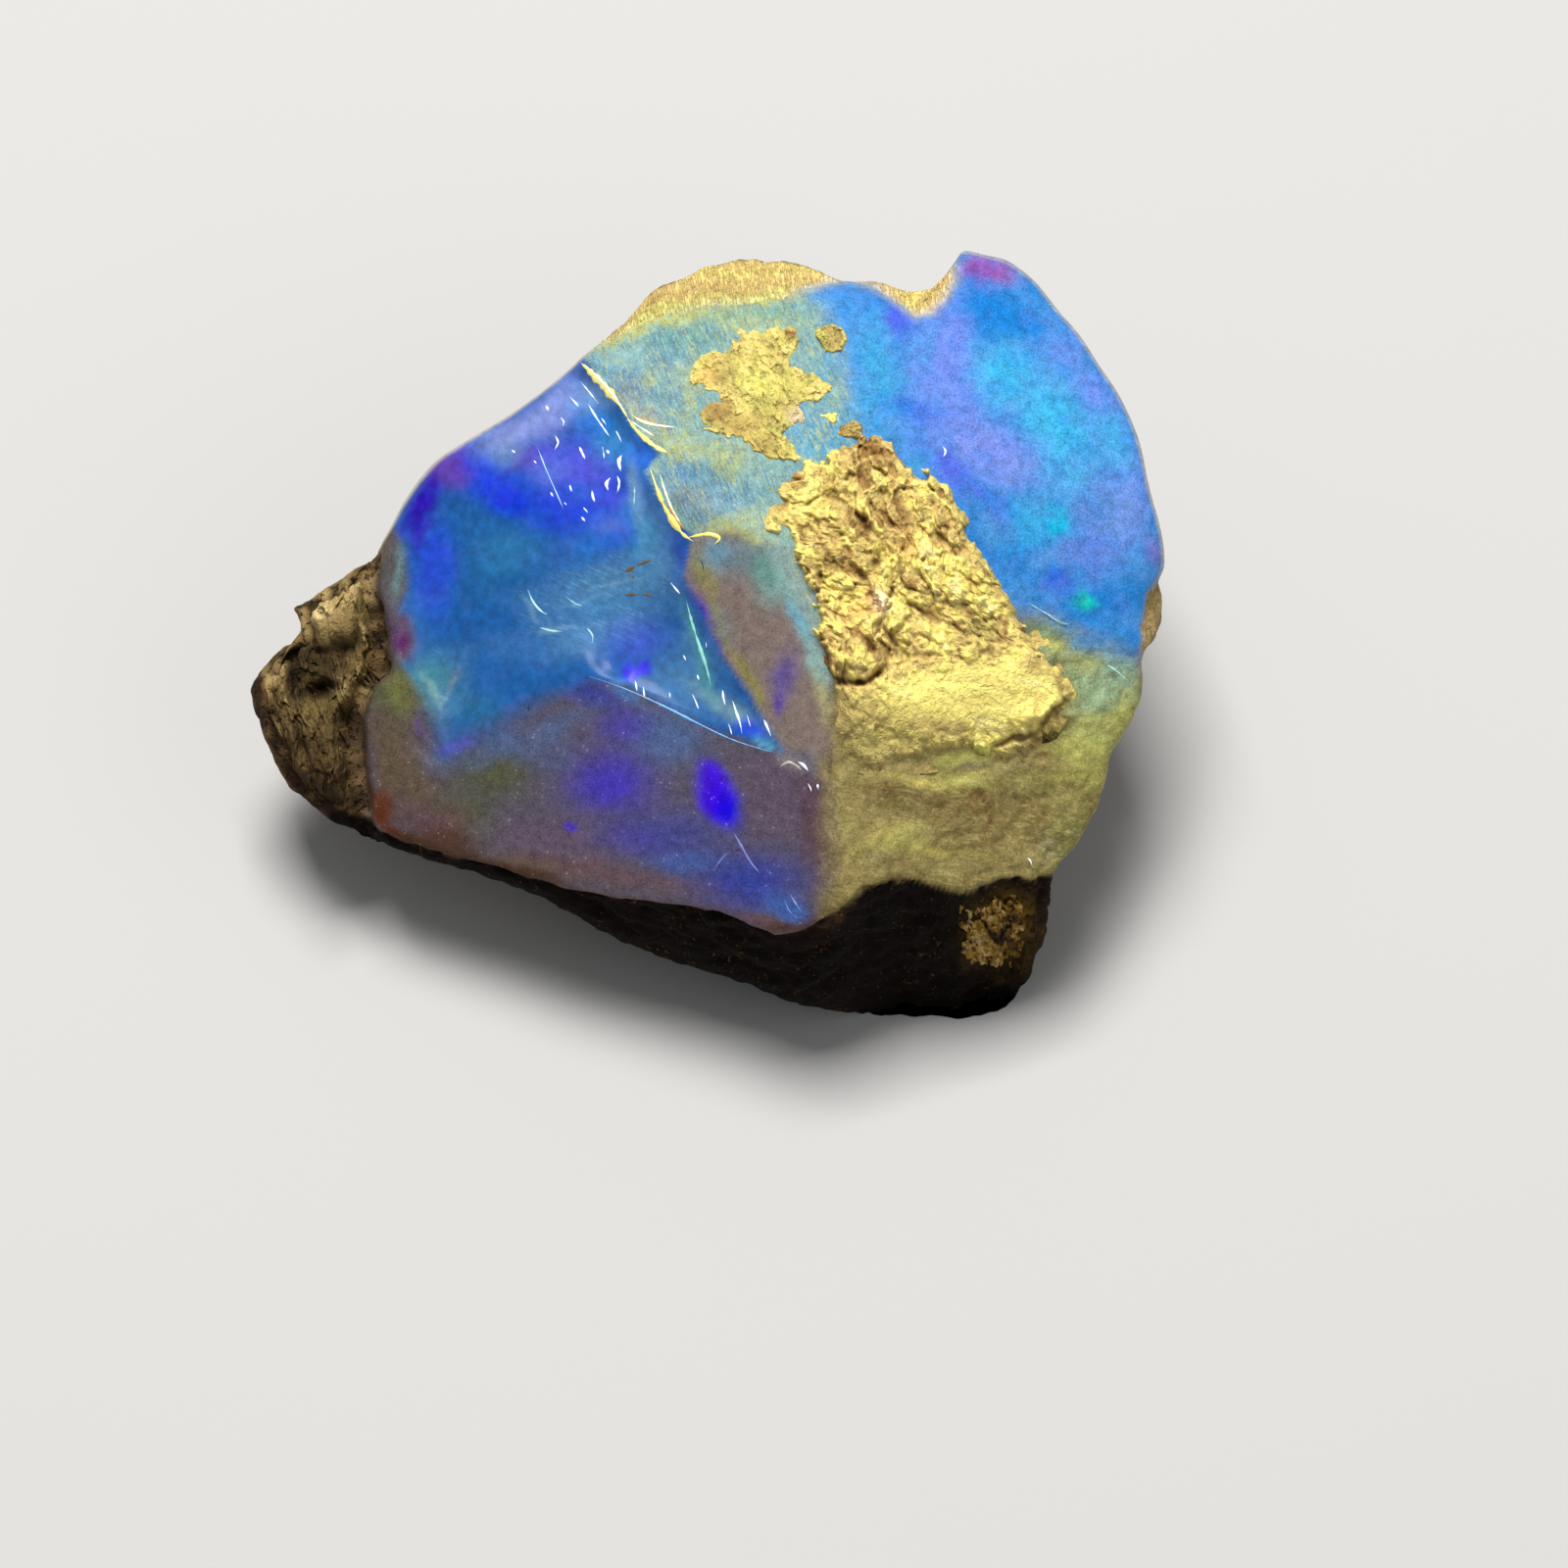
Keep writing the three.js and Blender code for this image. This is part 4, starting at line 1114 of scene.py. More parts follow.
FACET_SPOTS = spots(
    (Tone.GREY_TEAL, (-0.9, -2.5, 1.01, 0.77, 0.85), (-4.8, -2.7, 0.73, 0.34, 0.5, -20)),
    (Tone.FACET_BLUE, (-2.8, -1.4, 0.91, 0.34, 0.8, -20), (-0.9, -4.9, 1.49, 0.72, 0.6)),
    (Tone.FACET_VIOLET, (-2.4, -3.6, 1.11, 0.82, 0.8), (-2.4, -3.8, 0.58, 0.48, 0.8),
     (-2.0, -2.2, 0.67, 0.43, 0.6)),
    (Tone.FACET_OLIVE, (-5.3, -3.3, 1.06, 0.63, 0.85), (-6.1, -4.4, 0.96, 0.72, 0.7),
     (-7.5, -1.6, 0.44, 0.63, 0.7)),
    (Tone.OLIVE_GREEN, (-7.6, -1.4, 0.58, 0.63, 0.9)),
    (Tone.WARM_GREY, (-7.2, -3.7, 0.63, 0.87, 0.8), (-7.8, -2.8, 0.63, 0.83, 0.8),
     (-8.2, -2.2, 0.39, 0.63, 0.6)),
    (Tone.MAUVE_GREY, (-3.9, -5.1, 1.44, 0.63, 0.8, -10), (2.0, -3.8, 1.06, 1.35, 0.7)),
    (Tone.RUST_MAUVE, (2.7, -4.3, 0.38, 1.68, 0.7)),
    (Tone.MAUVE, (-7.1, -2.1, 0.15, 0.39, 0.4, 10)),
    (Tone.FACET_BLUE, (1.1, -6.1, 1.35, 0.72, 0.9)),
    (Tone.SKY_SHADE, (2.1, -6.8, 0.72, 0.31, 0.8, -25), (-0.5, -5.6, 0.82, 0.29, 0.5)),
    (Tone.ELLIPSE, (0.3, -3.9, 0.43, 0.82, 1.0, 27, 5.0), (-3.3, -4.8, 0.14, 0.12, 0.7)),
    (Tone.CORE_BLUE, (0.6, -4.3, 0.32, 0.5, 1.0, 22)),
    (Tone.PINK_RIM, (-6.5, -4.8, 0.54, 0.63, 0.8), (-2.7, -5.9, 2.65, 0.29, 0.6, -9),
     (1.5, -7.1, 0.97, 0.12, 0.8, -20), (3.0, -4.9, 0.34, 1.44, 0.6)),
    (Tone.WARM_GREY, (-4.6, -5.7, 1.3, 0.25, 0.6, -12)),
    (Tone.RIM_BEIGE, (-6.5, -4.95, 0.9, 0.25, 0.8, -17), (-6.5, -5.3, 1.44, 0.22, 0.8, -16),
     (-5.2, -5.75, 1.8, 0.17, 0.9, -17)),
    (Tone.BARK_SHADE, (-6.4, -5.5, 0.9, 0.1, 0.8, -17)),
    (Tone.RIM_BEIGE, (-7.2, -5.1, 0.6, 0.2, 0.9, -25), (-4.4, -5.95, 1.0, 0.14, 0.8, -17),
     (2.0, -7.3, 0.9, 0.14, 0.7), (2.9, -7.1, 0.63, 0.34, 0.8, 40)),
    (Tone.RUST, (-8.2, -4.4, 0.3, 0.4, 0.95, 30), (-8.45, -3.9, 0.16, 0.34, 0.7, 28),
     (-7.8, -4.85, 0.4, 0.18, 0.8, -38)),
    (Tone.RUST_MAUVE, (-7.2, -4.4, 0.6, 0.4, 0.6, -20)),
    (Tone.RIM_BEIGE, (-7.3, -5.05, 0.4, 0.12, 0.8, -20)),
    (Tone.BARK_SHADE, (-8.6, -2.4, 0.14, 1.1, 0.85), (-8.55, -3.8, 0.14, 0.6, 0.8, 6)),
    (Tone.FACET_OLIVE, (-8.2, -1.5, 0.35, 0.35, 0.6)),
    (Tone.WARM_GREY, (-7.9, -3.5, 0.35, 0.8, 0.7), (-7.0, -1.9, 0.25, 0.7, 0.5, 30)),
    (Tone.PALE_CHIP, (2.2, -3.1, 0.38, 0.17, 0.7, -14), (-6.9, -3.0, 0.35, 0.15, 0.3, -30)),
    (Tone.GREY_TEAL, (-6.5, -3.0, 0.5, 0.35, 0.4), (-3.6, -2.2, 0.9, 0.3, 0.5, 25),
     (-5.2, -2.7, 0.9, 0.3, 0.5, 25), (-3.8, -2.8, 0.6, 0.5, 0.35)),
    (Tone.RUST, (-8.05, -4.2, 0.35, 0.35, 0.9)),
    (Tone.DOME, (-1.9, -1.45, 0.4, 0.15, 0.5, -24)),
    (Tone.FACET_VIOLET, (-1.9, -5.1, 0.9, 0.4, 0.3)),
)
SCOOP_SPOTS = spots(
    (Tone.SCOOP_TEAL, (-5.3, 1.8, 1.25, 1.06, 0.8)),
    (Tone.HAZE, (-1.9, 1.3, 1.39, 0.53, 0.75, 4), (-2.9, -0.1, 1.2, 0.38, 0.6, 20),
     (-0.4, -1.0, 0.96, 0.96, 0.6)),
    (Tone.DEEP_BLUE, (-5.5, 4.0, 1.35, 0.58, 0.95, -32), (-3.0, 3.5, 1.11, 0.77, 0.95),
     (-2.3, 2.8, 1.11, 0.63, 0.8), (-6.7, 1.7, 0.53, 1.11, 0.8, 5), (-3.8, 3.1, 0.72, 0.58, 0.6)),
    (Tone.CLEAR_BLUE, (-3.1, 3.5, 0.5, 0.35, 0.7)),
    (Tone.BRIGHT_BLUE, (-4.9, 3.3, 0.53, 0.34, 0.6, -30)),
    (Tone.VIOLET_RIM, (-7.0, 3.4, 0.31, 1.11, 1.0, -36), (-7.2, 2.5, 0.19, 0.48, 0.8, -10),
     (-6.95, 3.05, 0.25, 0.6, 0.7, -20)),
    (Tone.MAUVE, (-6.4, 4.3, 0.63, 0.29, 0.8, 30)),
    (Tone.LAVENDER_PALE, (-4.6, 5.1, 1.06, 0.41, 0.85, 26), (-3.7, 5.5, 0.82, 0.46, 0.85, 26)),
    (Tone.LAVENDER, (-6.0, 4.8, 0.63, 0.17, 0.5, 26)),
    (Tone.VIOLET_BLUE, (-3.9, 4.3, 0.63, 0.48, 0.8)),
    (Tone.AZURE, (-2.8, 5.3, 0.53, 0.96, 0.8, 33), (-1.6, 4.2, 0.2, 0.7, 0.6, 14)),
    (Tone.SKY_TEAL, (-1.5, 2.4, 0.43, 0.82, 0.8)),
    (Tone.MAUVE, (-4.3, 4.4, 0.5, 0.3, 0.6, 20), (-6.2, 4.0, 0.45, 0.35, 0.8)),
    (Tone.VIOLET_HAZE, (-2.9, 4.1, 0.6, 0.4, 0.7)),
    (Tone.VIOLET_BLUE, (-2.3, 3.3, 0.6, 0.35, 0.6), (-1.8, -0.1, 0.82, 0.58, 0.55),
     (-6.2, -2.7, 0.51, 0.14, 0.9, 14), (-3.1, 4.3, 0.7, 0.6, 0.6)),
    (Tone.SKY_SHADE, (-3.2, 2.2, 0.9, 0.35, 0.6, 10), (-0.7, 1.6, 0.25, 0.5, 0.7, 20)),
    (Tone.HAZE, (-1.1, 1.9, 0.4, 0.5, 0.6, 10)),
    (Tone.PALE_STREAK, (-1.7, 3.4, 0.14, 0.91, 0.8, 6)),
    (Tone.CLEAR_BLUE, (-1.7, 4.6, 0.3, 0.5, 0.5, 38)),
    (Tone.INDIGO, (-0.8, 2.3, 0.22, 1.35, 0.85, 30), (-6.75, 1.4, 0.4, 0.8, 0.6)),
    (Tone.SHADOW_BLUE, (-0.4, 1.1, 0.29, 0.63, 0.5, 20)),
    (Tone.VIOLET_PATCH, (-1.8, -0.9, 0.22, 0.22, 1.0, 0, 5.0), (-1.4, -0.8, 0.22, 0.19, 1.0, -30, 5.0)),
    (Tone.SCOOP_GREEN, (-6.8, -1.0, 0.58, 0.43, 0.8), (-5.7, -1.75, 0.7, 0.5, 0.3)),
    (Tone.PALE_TEAL, (0.6, -1.8, 1.06, 0.22, 0.6, -32), (-6.75, -1.35, 0.1, 0.5, 0.75, 35)),
    (Tone.DEEP_BLUE, (1.2, -2.3, 0.36, 0.22, 0.9, -20)),
    (Tone.CYAN_RIM, (1.6, -2.7, 0.34, 0.12, 0.9, -20)),
    (Tone.MINT, (-0.3, -0.1, 0.12, 0.87, 1.0, 16), (0.1, -1.1, 0.12, 0.63, 0.8, 16)),
    (Tone.LAVENDER, (-3.8, 5.2, 0.5, 0.4, 0.4, 26)),
    (Tone.CLEAR_BLUE, (-2.3, 2.7, 0.7, 0.4, 0.7), (-1.5, 4.3, 0.3, 0.8, 0.6, 22)),
    (Tone.HAZE, (-1.2, 2.7, 0.4, 0.8, 0.7, 14), (-4.8, -0.3, 0.6, 0.4, 0.25),
     (-0.4, -0.3, 0.2, 0.5, 0.6, 16)),
    (Tone.WISP, (-1.55, 3.2, 0.1, 0.7, 0.5, 8), (-4.3, 0.7, 0.06, 0.4, 0.5, 30),
     (-3.6, 0.15, 0.5, 0.06, 0.5), (-2.9, 0.9, 0.6, 0.05, 0.4, 15), (-2.2, 1.25, 0.7, 0.05, 0.4, 8),
     (-2.9, 5.8, 0.6, 0.35, 0.45, 30), (-4.8, 4.5, 0.5, 0.3, 0.35, 20)),
    (Tone.TEAL_GREEN, (-6.95, -1.55, 0.12, 0.6, 0.6, 38)),
    (Tone.PINK_PALE, (-6.3, -1.0, 0.08, 0.32, 0.7, -35)),
    (Tone.PALE_TEAL, (-6.45, -1.45, 0.07, 0.2, 0.5, -20)),
    (Tone.SKY_TEAL, (-1.4, 2.6, 0.3, 0.5, 0.45, 10), (-4.8, 2.1, 0.8, 0.5, 0.3),
     (-2.4, 0.7, 0.8, 0.4, 0.35), (-2.3, 4.7, 0.5, 0.5, 0.6, 30)),
    (Tone.MAGENTA, (-7.35, -0.3, 0.2, 0.35, 0.9)),
    (Tone.PERIWINKLE, (-2.4, 2.6, 0.45, 0.3, 0.5), (-3.8, 4.0, 0.5, 0.4, 0.5)),
    (Tone.DOME_PALE, (-1.6, 3.5, 0.22, 0.5, 0.7, 8)),
    (Tone.AZURE, (-2.9, 2.1, 0.5, 0.35, 0.5)),
    (Tone.DOME, (-1.9, -1.25, 0.4, 0.2, 0.8, -24), (-1.9, 3.05, 0.35, 0.35, 0.45)),
    (Tone.LAVENDER_PALE, (-3.4, 6.0, 0.5, 0.35, 0.5, 30)),
    (Tone.CLEAR_BLUE, (-2.4, 2.15, 0.4, 0.3, 0.7)),
)
LEFT_BAND_SPOTS = spots(
    (Tone.BARK, (-8.3, 1.8, 0.2, 1.2, 0.8, -20)),
    (Tone.BAND_TEAL, (-7.65, 1.8, 0.12, 1.0, 0.9, -6)),
    (Tone.MAUVE_BROWN, (-7.9, 0.2, 0.34, 0.5, 0.9)),
    (Tone.BROWN_LINE, (-7.85, 1.6, 0.06, 0.8, 0.7, -8)),
    (Tone.BARK_SHADE, (-8.2, 0.6, 0.12, 0.8, 0.7, 4)),
    (Tone.MAGENTA, (-7.45, -0.2, 0.28, 0.42, 1.0), (-7.4, 0.35, 0.1, 0.2, 0.6)),
)
TOP_BAND_SPOTS = spots(
    (Tone.BAND_SHADE, (0.9, 8.45, 1.6, 0.14, 0.3, -2), (-1.2, 8.2, 0.5, 0.2, 0.5, 20),
     (-2.2, 7.65, 0.4, 0.1, 0.6, 25)),
    (Tone.CRUST_SHADE, (-0.7, 8.7, 0.3, 0.08, 0.6, 30)),
    (Tone.YELLOW_GREEN, (-0.9, 7.95, 1.2, 0.22, 0.8, 12), (1.2, 8.35, 1.2, 0.16, 0.7, 5)),
    (Tone.CRUST_YELLOW, (0.2, 9.0, 1.4, 0.25, 0.6), (2.3, 9.1, 0.8, 0.2, 0.5),
     (4.9, 8.3, 0.5, 0.3, 0.6)),
)
LEFT_LUMP_SPOTS = spots(
    (Tone.BARK_PALE, (-9.2, 1.0, 0.83, 0.54, 0.9, 20), (-9.8, 0.4, 0.44, 0.64, 0.8),
     (-9.1, 0.2, 0.44, 0.39, 0.6), (-8.8, -1.2, 0.34, 0.34, 0.6), (-11.0, -1.0, 0.34, 0.49, 0.7, -30)),
    (Tone.BARK_OLIVE, (-9.5, -3.1, 0.44, 0.83, 0.7, 10), (-8.9, -1.0, 0.39, 0.49, 0.6)),
    # Painted shadow in the lump's pits.
    (Tone.BARK_SHADOW, (-9.6, -1.3, 0.54, 0.22, 0.9, 10), (-9.0, -0.3, 0.27, 0.22, 0.8),
     (-10.2, -1.0, 0.17, 0.64, 0.9), (-10.0, -2.8, 0.12, 0.54, 0.7, 12),
     (-8.7, 0.0, 0.1, 0.39, 0.7, -10), (-9.7, -0.4, 0.34, 0.12, 0.6), (-8.9, -3.9, 0.34, 0.3, 0.6)),
    (Tone.BARK_RUST, (-11.3, -1.2, 0.15, 0.59, 0.6, 20), (-10.3, -3.7, 0.24, 0.54, 0.6, 20)),
)
WALL_SPOTS = spots(
    (Tone.WALL_PATCH, (7.6, -7.5, 0.85, 0.85, 0.7, 20)),
    (Tone.BARK_SHADE, (7.0, -8.2, 0.64, 0.3, 0.6, 10)),
    (Tone.RIM_BEIGE, (3.1, -7.2, 0.54, 0.2, 0.8, 30)),
    # A spot of painted shadow, the wall's near black.
    (Tone.WALL, (8.0, -6.3, 0.34, 0.2, 0.8)),
)


def opal_zones(shape: StoneShape) -> tuple[Zone, ...]:
    """The stretches of bare opal, each laid over those before it.

    Args:
        shape: The stone, for the borders that are its own edges.

    Returns:
        The dome first, as the ground, then the others.
    """
    everywhere = ((-20, -20), (20, -20), (20, 20), (-20, 20))
    upper_border = (
        (-4.0, 8.0), (-3.0, 6.0), (-1.5, 3.5), (-0.6, 1.6), (1.0, 1.8), (3.4, 2.2), (3.9, 4.4),
        (3.6, 5.6), (3.3, 7.0), (3.0, 8.0), (2.2, 8.6), (-1.0, 9.0),
    )
    olive_border = (
        (2.9, -0.9), (2.5, -3.5), (2.2, -9.0), (9.0, -9.0), (12.0, -3.0), (12.0, -0.9), (9.8, -0.3),
        (8.4, 0.4), (6.0, 0.5),
    )
    strip_border = (
        (-0.3, 2.4), (0.8, 2.6), (1.9, 2.3), (3.4, 1.3), (3.4, -0.1), (3.15, -1.4), (3.1, -3.0),
        (2.0, -3.1), (0.9, -1.4), (-0.3, -0.3), (-0.9, 1.5),
    )
    facet_border = (
        (-9.5, 0.5), (-9.5, -8.0), (2.6, -8.0), (2.95, -6.8), (3.1, -5.5), (3.0, -3.6), (2.4, -2.9),
        (2.0, -2.9), (0.0, -0.5), (-4.0, -0.5), (-7.0, -0.2), (-8.2, 0.4),
    )
    strip_edge = (
        (0.8, 2.7), (1.6, 2.2), (2.05, 1.5), (2.4, 0.6), (2.65, -0.2), (2.9, -1.0), (3.15, -1.1),
        (3.1, 0.0), (3.0, 1.2), (2.5, 2.2), (1.6, 2.9),
    )
    band_border = (
        (-8.6, 2.8), (-7.9, 3.0), (-7.5, 2.2), (-7.4, 1.2), (-7.6, 0.6), (-7.3, 0.4), (-7.2, -0.2),
        (-7.5, -0.7), (-8.4, -0.9), (-8.6, 0.2),
    )
    corner_border = ((-7.5, -0.7), (-6.9, -0.2), (-5.7, -0.3), (-5.9, -1.6), (-6.4, -2.4), (-7.1, -1.7))
    lower_edge = (
        *((across, up + 0.1) for across, up in shape.lower_rim[4:9]),
        *((across, up - 0.1) for across, up in shape.lower_rim[8:3:-1]),
    )
    haze_border = (
        (-4.6, 0.9), (-3.4, 1.6), (-1.2, 2.3), (-0.7, 1.4), (-0.9, 0.5), (-2.6, -0.4), (-4.2, -0.1),
    )
    glare_border = (
        (-5.6, 5.3), (-3.0, 6.9), (-2.6, 5.4), (-1.9, 4.2), (-2.3, 3.2), (-3.6, 3.4), (-4.6, 4.2),
    )
    gentle_arris = rises((-4.9, -2.0, 2.0, 1.2, 0.5), (-6.5, -2.6, 0.9, 0.9, 0.3))
    return (
        Zone("dome", everywhere, Tone.DOME, 1.0, Feel(gloss=0.1, fire=1.0, dots=0.3), DOME_SPOTS, 1.7),
        Zone("upper middle", upper_border, Tone.UPPER, 0.4, Feel(0.3, strokes=1.0), UPPER_SPOTS, 1.5),
        Zone(
            "olive side", olive_border, Tone.OLIVE, 0.45, Feel(0.05, crumb=0.22, fibres=0.55),
            OLIVE_SPOTS, 1.3,
        ),
        Zone("brown strip", strip_border, Tone.STRIP, 0.3, Feel(0.35, dots=0.2), STRIP_SPOTS),
        Zone(
            "frosted facet", facet_border, Tone.FACET, 0.15, Feel(0.15, dots=1.0), FACET_SPOTS,
            blurs=rises((3.0, -5.3, 0.7, 2.2, 0.4)),
        ),
        Zone(
            "scoop", shape.scoop_area, Tone.SCOOP, 0.05, Feel(1.0, fire=0.3), SCOOP_SPOTS,
            blurs=gentle_arris,
        ),
        Zone("edge of the facet", lower_edge, Tone.RIM_PALE, 0.1, Feel(0.1, dots=1.0), strength=0.5),
        Zone(
            "edge of the strip", strip_edge, Tone.PALE_TEAL, 0.25, Feel(0.3, strokes=1.0),
            strength=0.55,
        ),
        Zone(
            "left band", band_border, Tone.BAND_GREY, 0.16, Feel(0.1, dots=0.6), LEFT_BAND_SPOTS,
            strength=0.9,
        ),
        Zone("left corner", corner_border, Tone.TEAL_GREEN, 0.35, Feel(0.7, wisps=0.8), strength=0.2),
        Zone("haze", haze_border, Tone.HAZE, 0.5, Feel(0.8, wisps=1.0), strength=0.45),
        Zone("glare", glare_border, Tone.VIOLET_BLUE, 0.6, Feel(0.9, wisps=0.8), strength=0.2),
    )


def rock_zones(shape: StoneShape) -> tuple[Zone, ...]:
    """The stretches of host rock on the front, laid over the opal.

    Args:
        shape: The stone, for the borders that are its own edges.

    Returns:
        The top band, the two side lumps and the lower wall.
    """
    left_border = (
        *((across + 0.12, up) for up, across in shape.left_groove), (-9.0, 4.0), (-14.0, 4.0),
        (-14.0, -7.0), (-8.5, -5.2),
    )
    wall_border = ((-9.5, -4.4), *shape.lower_rim, (9.3, -5.7), (12.0, -12.0), (-12.0, -12.0))
    right_border = (
        (10.85, -0.75), (10.8, 0.2), (10.95, 0.9), (11.2, 1.4), (12.5, 1.6), (12.5, -0.9),
    )
    top_feel = Feel(rock=1.0, crumb=0.14, crevice_shade=0.2, strokes=1.0)
    right_feel = Feel(rock=1.0, crumb=0.16, crevice_shade=0.3)
    left_feel = Feel(rock=1.0, crumb=0.32, crevice_shade=0.9)
    wall_feel = Feel(rock=1.0, crumb=0.3, crevice_shade=0.7)
    return (
        Zone("top band", shape.top_band, Tone.BAND, 0.3, top_feel, TOP_BAND_SPOTS, 1.6),
        Zone("right lump", right_border, Tone.BARK_PALE, 0.12, right_feel),
        Zone("left lump", left_border, Tone.BARK, 0.24, left_feel, LEFT_LUMP_SPOTS),
        # The wall's near-black ground is painted shadow over its dark brown rock.
        Zone("wall", wall_border, Tone.WALL, 0.1, wall_feel, WALL_SPOTS),
    )


@dataclass
class Coat:
    """What a surface wears at each of its points: a colour, and a column for each part of a feel."""

    tint: Array
    feel: Array

    def lay(self, tint: Array, feel: Feel, share: Array) -> None:
        """Covers the coat with another by the share."""
        self.tint = mixed(self.tint, tint, share)
        self.feel = mixed(self.feel, np.array(astuple(feel)), share)

    def part(self, name: str) -> Array:
        """One part of the feel."""
        return self.feel[..., PARTS.index(name)]

    def wear(self) -> dict[str, Array]:
        """The attributes for the mesh."""
        return {"tint": self.tint, **{name: self.part(name) for name in PARTS if name != "crumb"}}


class Painter:
    """Lays the zones over one another on the sheet."""

    def __init__(self, shape: StoneShape) -> None:
        """Keeps the stone's zones."""
        self.zones = (*opal_zones(shape), *rock_zones(shape))

    def paint(self, across: Array, up: Array) -> Coat:
        """The coat of the front at each place, with the borders of colour made ragged by lumps.

        Args:
            across: The places' first coordinates.
            up: Their second ones.

        Returns:
            The coat, with each zone laid over the last by its cover.
        """
        stray = 0.24 * rough(1.1, across, up, 31.0) + 0.1 * lumps(0.25, across, up, 33.0)
        stray_up = 0.24 * rough(1.1, across, up, 35.0) + 0.1 * lumps(0.25, across, up, 37.0)
        coat = Coat(np.zeros((*np.shape(across), 3)), np.zeros((*np.shape(across), len(PARTS))))
        for zone in self.zones:
            colour = zone.colour(across + zone.stray * stray, up + zone.stray * stray_up)
            coat.lay(colour, zone.feel, zone.cover(across + 0.4 * stray, up + 0.4 * stray_up))
        return coat

    def cover(self, name: str, across: Array, up: Array) -> Array:
        """One zone's cover, by its name."""
        return next(zone.cover(across, up) for zone in self.zones if zone.name == name)


# Meshes


def make_piece(
    name: str, points: Array, faces: list, coat: dict[str, Array], corner_uv: Array, material: Any,
) -> Any:
    """Makes a smooth mesh object at the origin, which rides on the part's body.

    Args:
        name: The piece's name.
        points: Its points in metres, one row each.
        faces: The points' numbers for each face, counter-clockwise from outside.
        coat: Attributes by name; three columns make a colour, one makes a number.
        corner_uv: A place on the texture for every corner of every face, in order.
        material: Its material.

    Returns:
        The object, linked into the scene.
    """
    mesh = bpy.data.meshes.new(name)
    mesh.from_pydata(points, [], faces)
    mesh.shade_smooth()
    layer = mesh.uv_layers.new(name="OFBake")
    layer.uv.foreach_set("vector", corner_uv.astype(np.float32).ravel())
    for key, values in coat.items():
        if values.ndim == 2:
            colour = np.concatenate((values, np.ones((len(values), 1))), axis=1)
            data = mesh.attributes.new(key, "FLOAT_COLOR", "POINT").data
            data.foreach_set("color", colour.astype(np.float32).ravel())
        else:
            data = mesh.attributes.new(key, "FLOAT", "POINT").data
            data.foreach_set("value", values.astype(np.float32))
    mesh.materials.append(material)
    piece = bpy.data.objects.new(name, mesh)
    bpy.context.scene.collection.objects.link(piece)
    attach(piece, "root")
    return piece


def point_normals(points: Array, quads: Array) -> Array:
    """The outward normal at each point: the crossed diagonals of its faces, summed and scaled to 1.

    Args:
        points: The points, one row each.
        quads: Four corner numbers for each face.

    Returns:
        The normals, one row each.
    """
    a, b, c, d = (points[quads[:, n]] for n in range(4))
    crossed = np.cross(c - a, d - b)
    total = np.zeros_like(points)
    for n in range(4):
        np.add.at(total, quads[:, n], crossed)
    return total / np.maximum(np.linalg.norm(total, axis=1, keepdims=True), 1e-12)


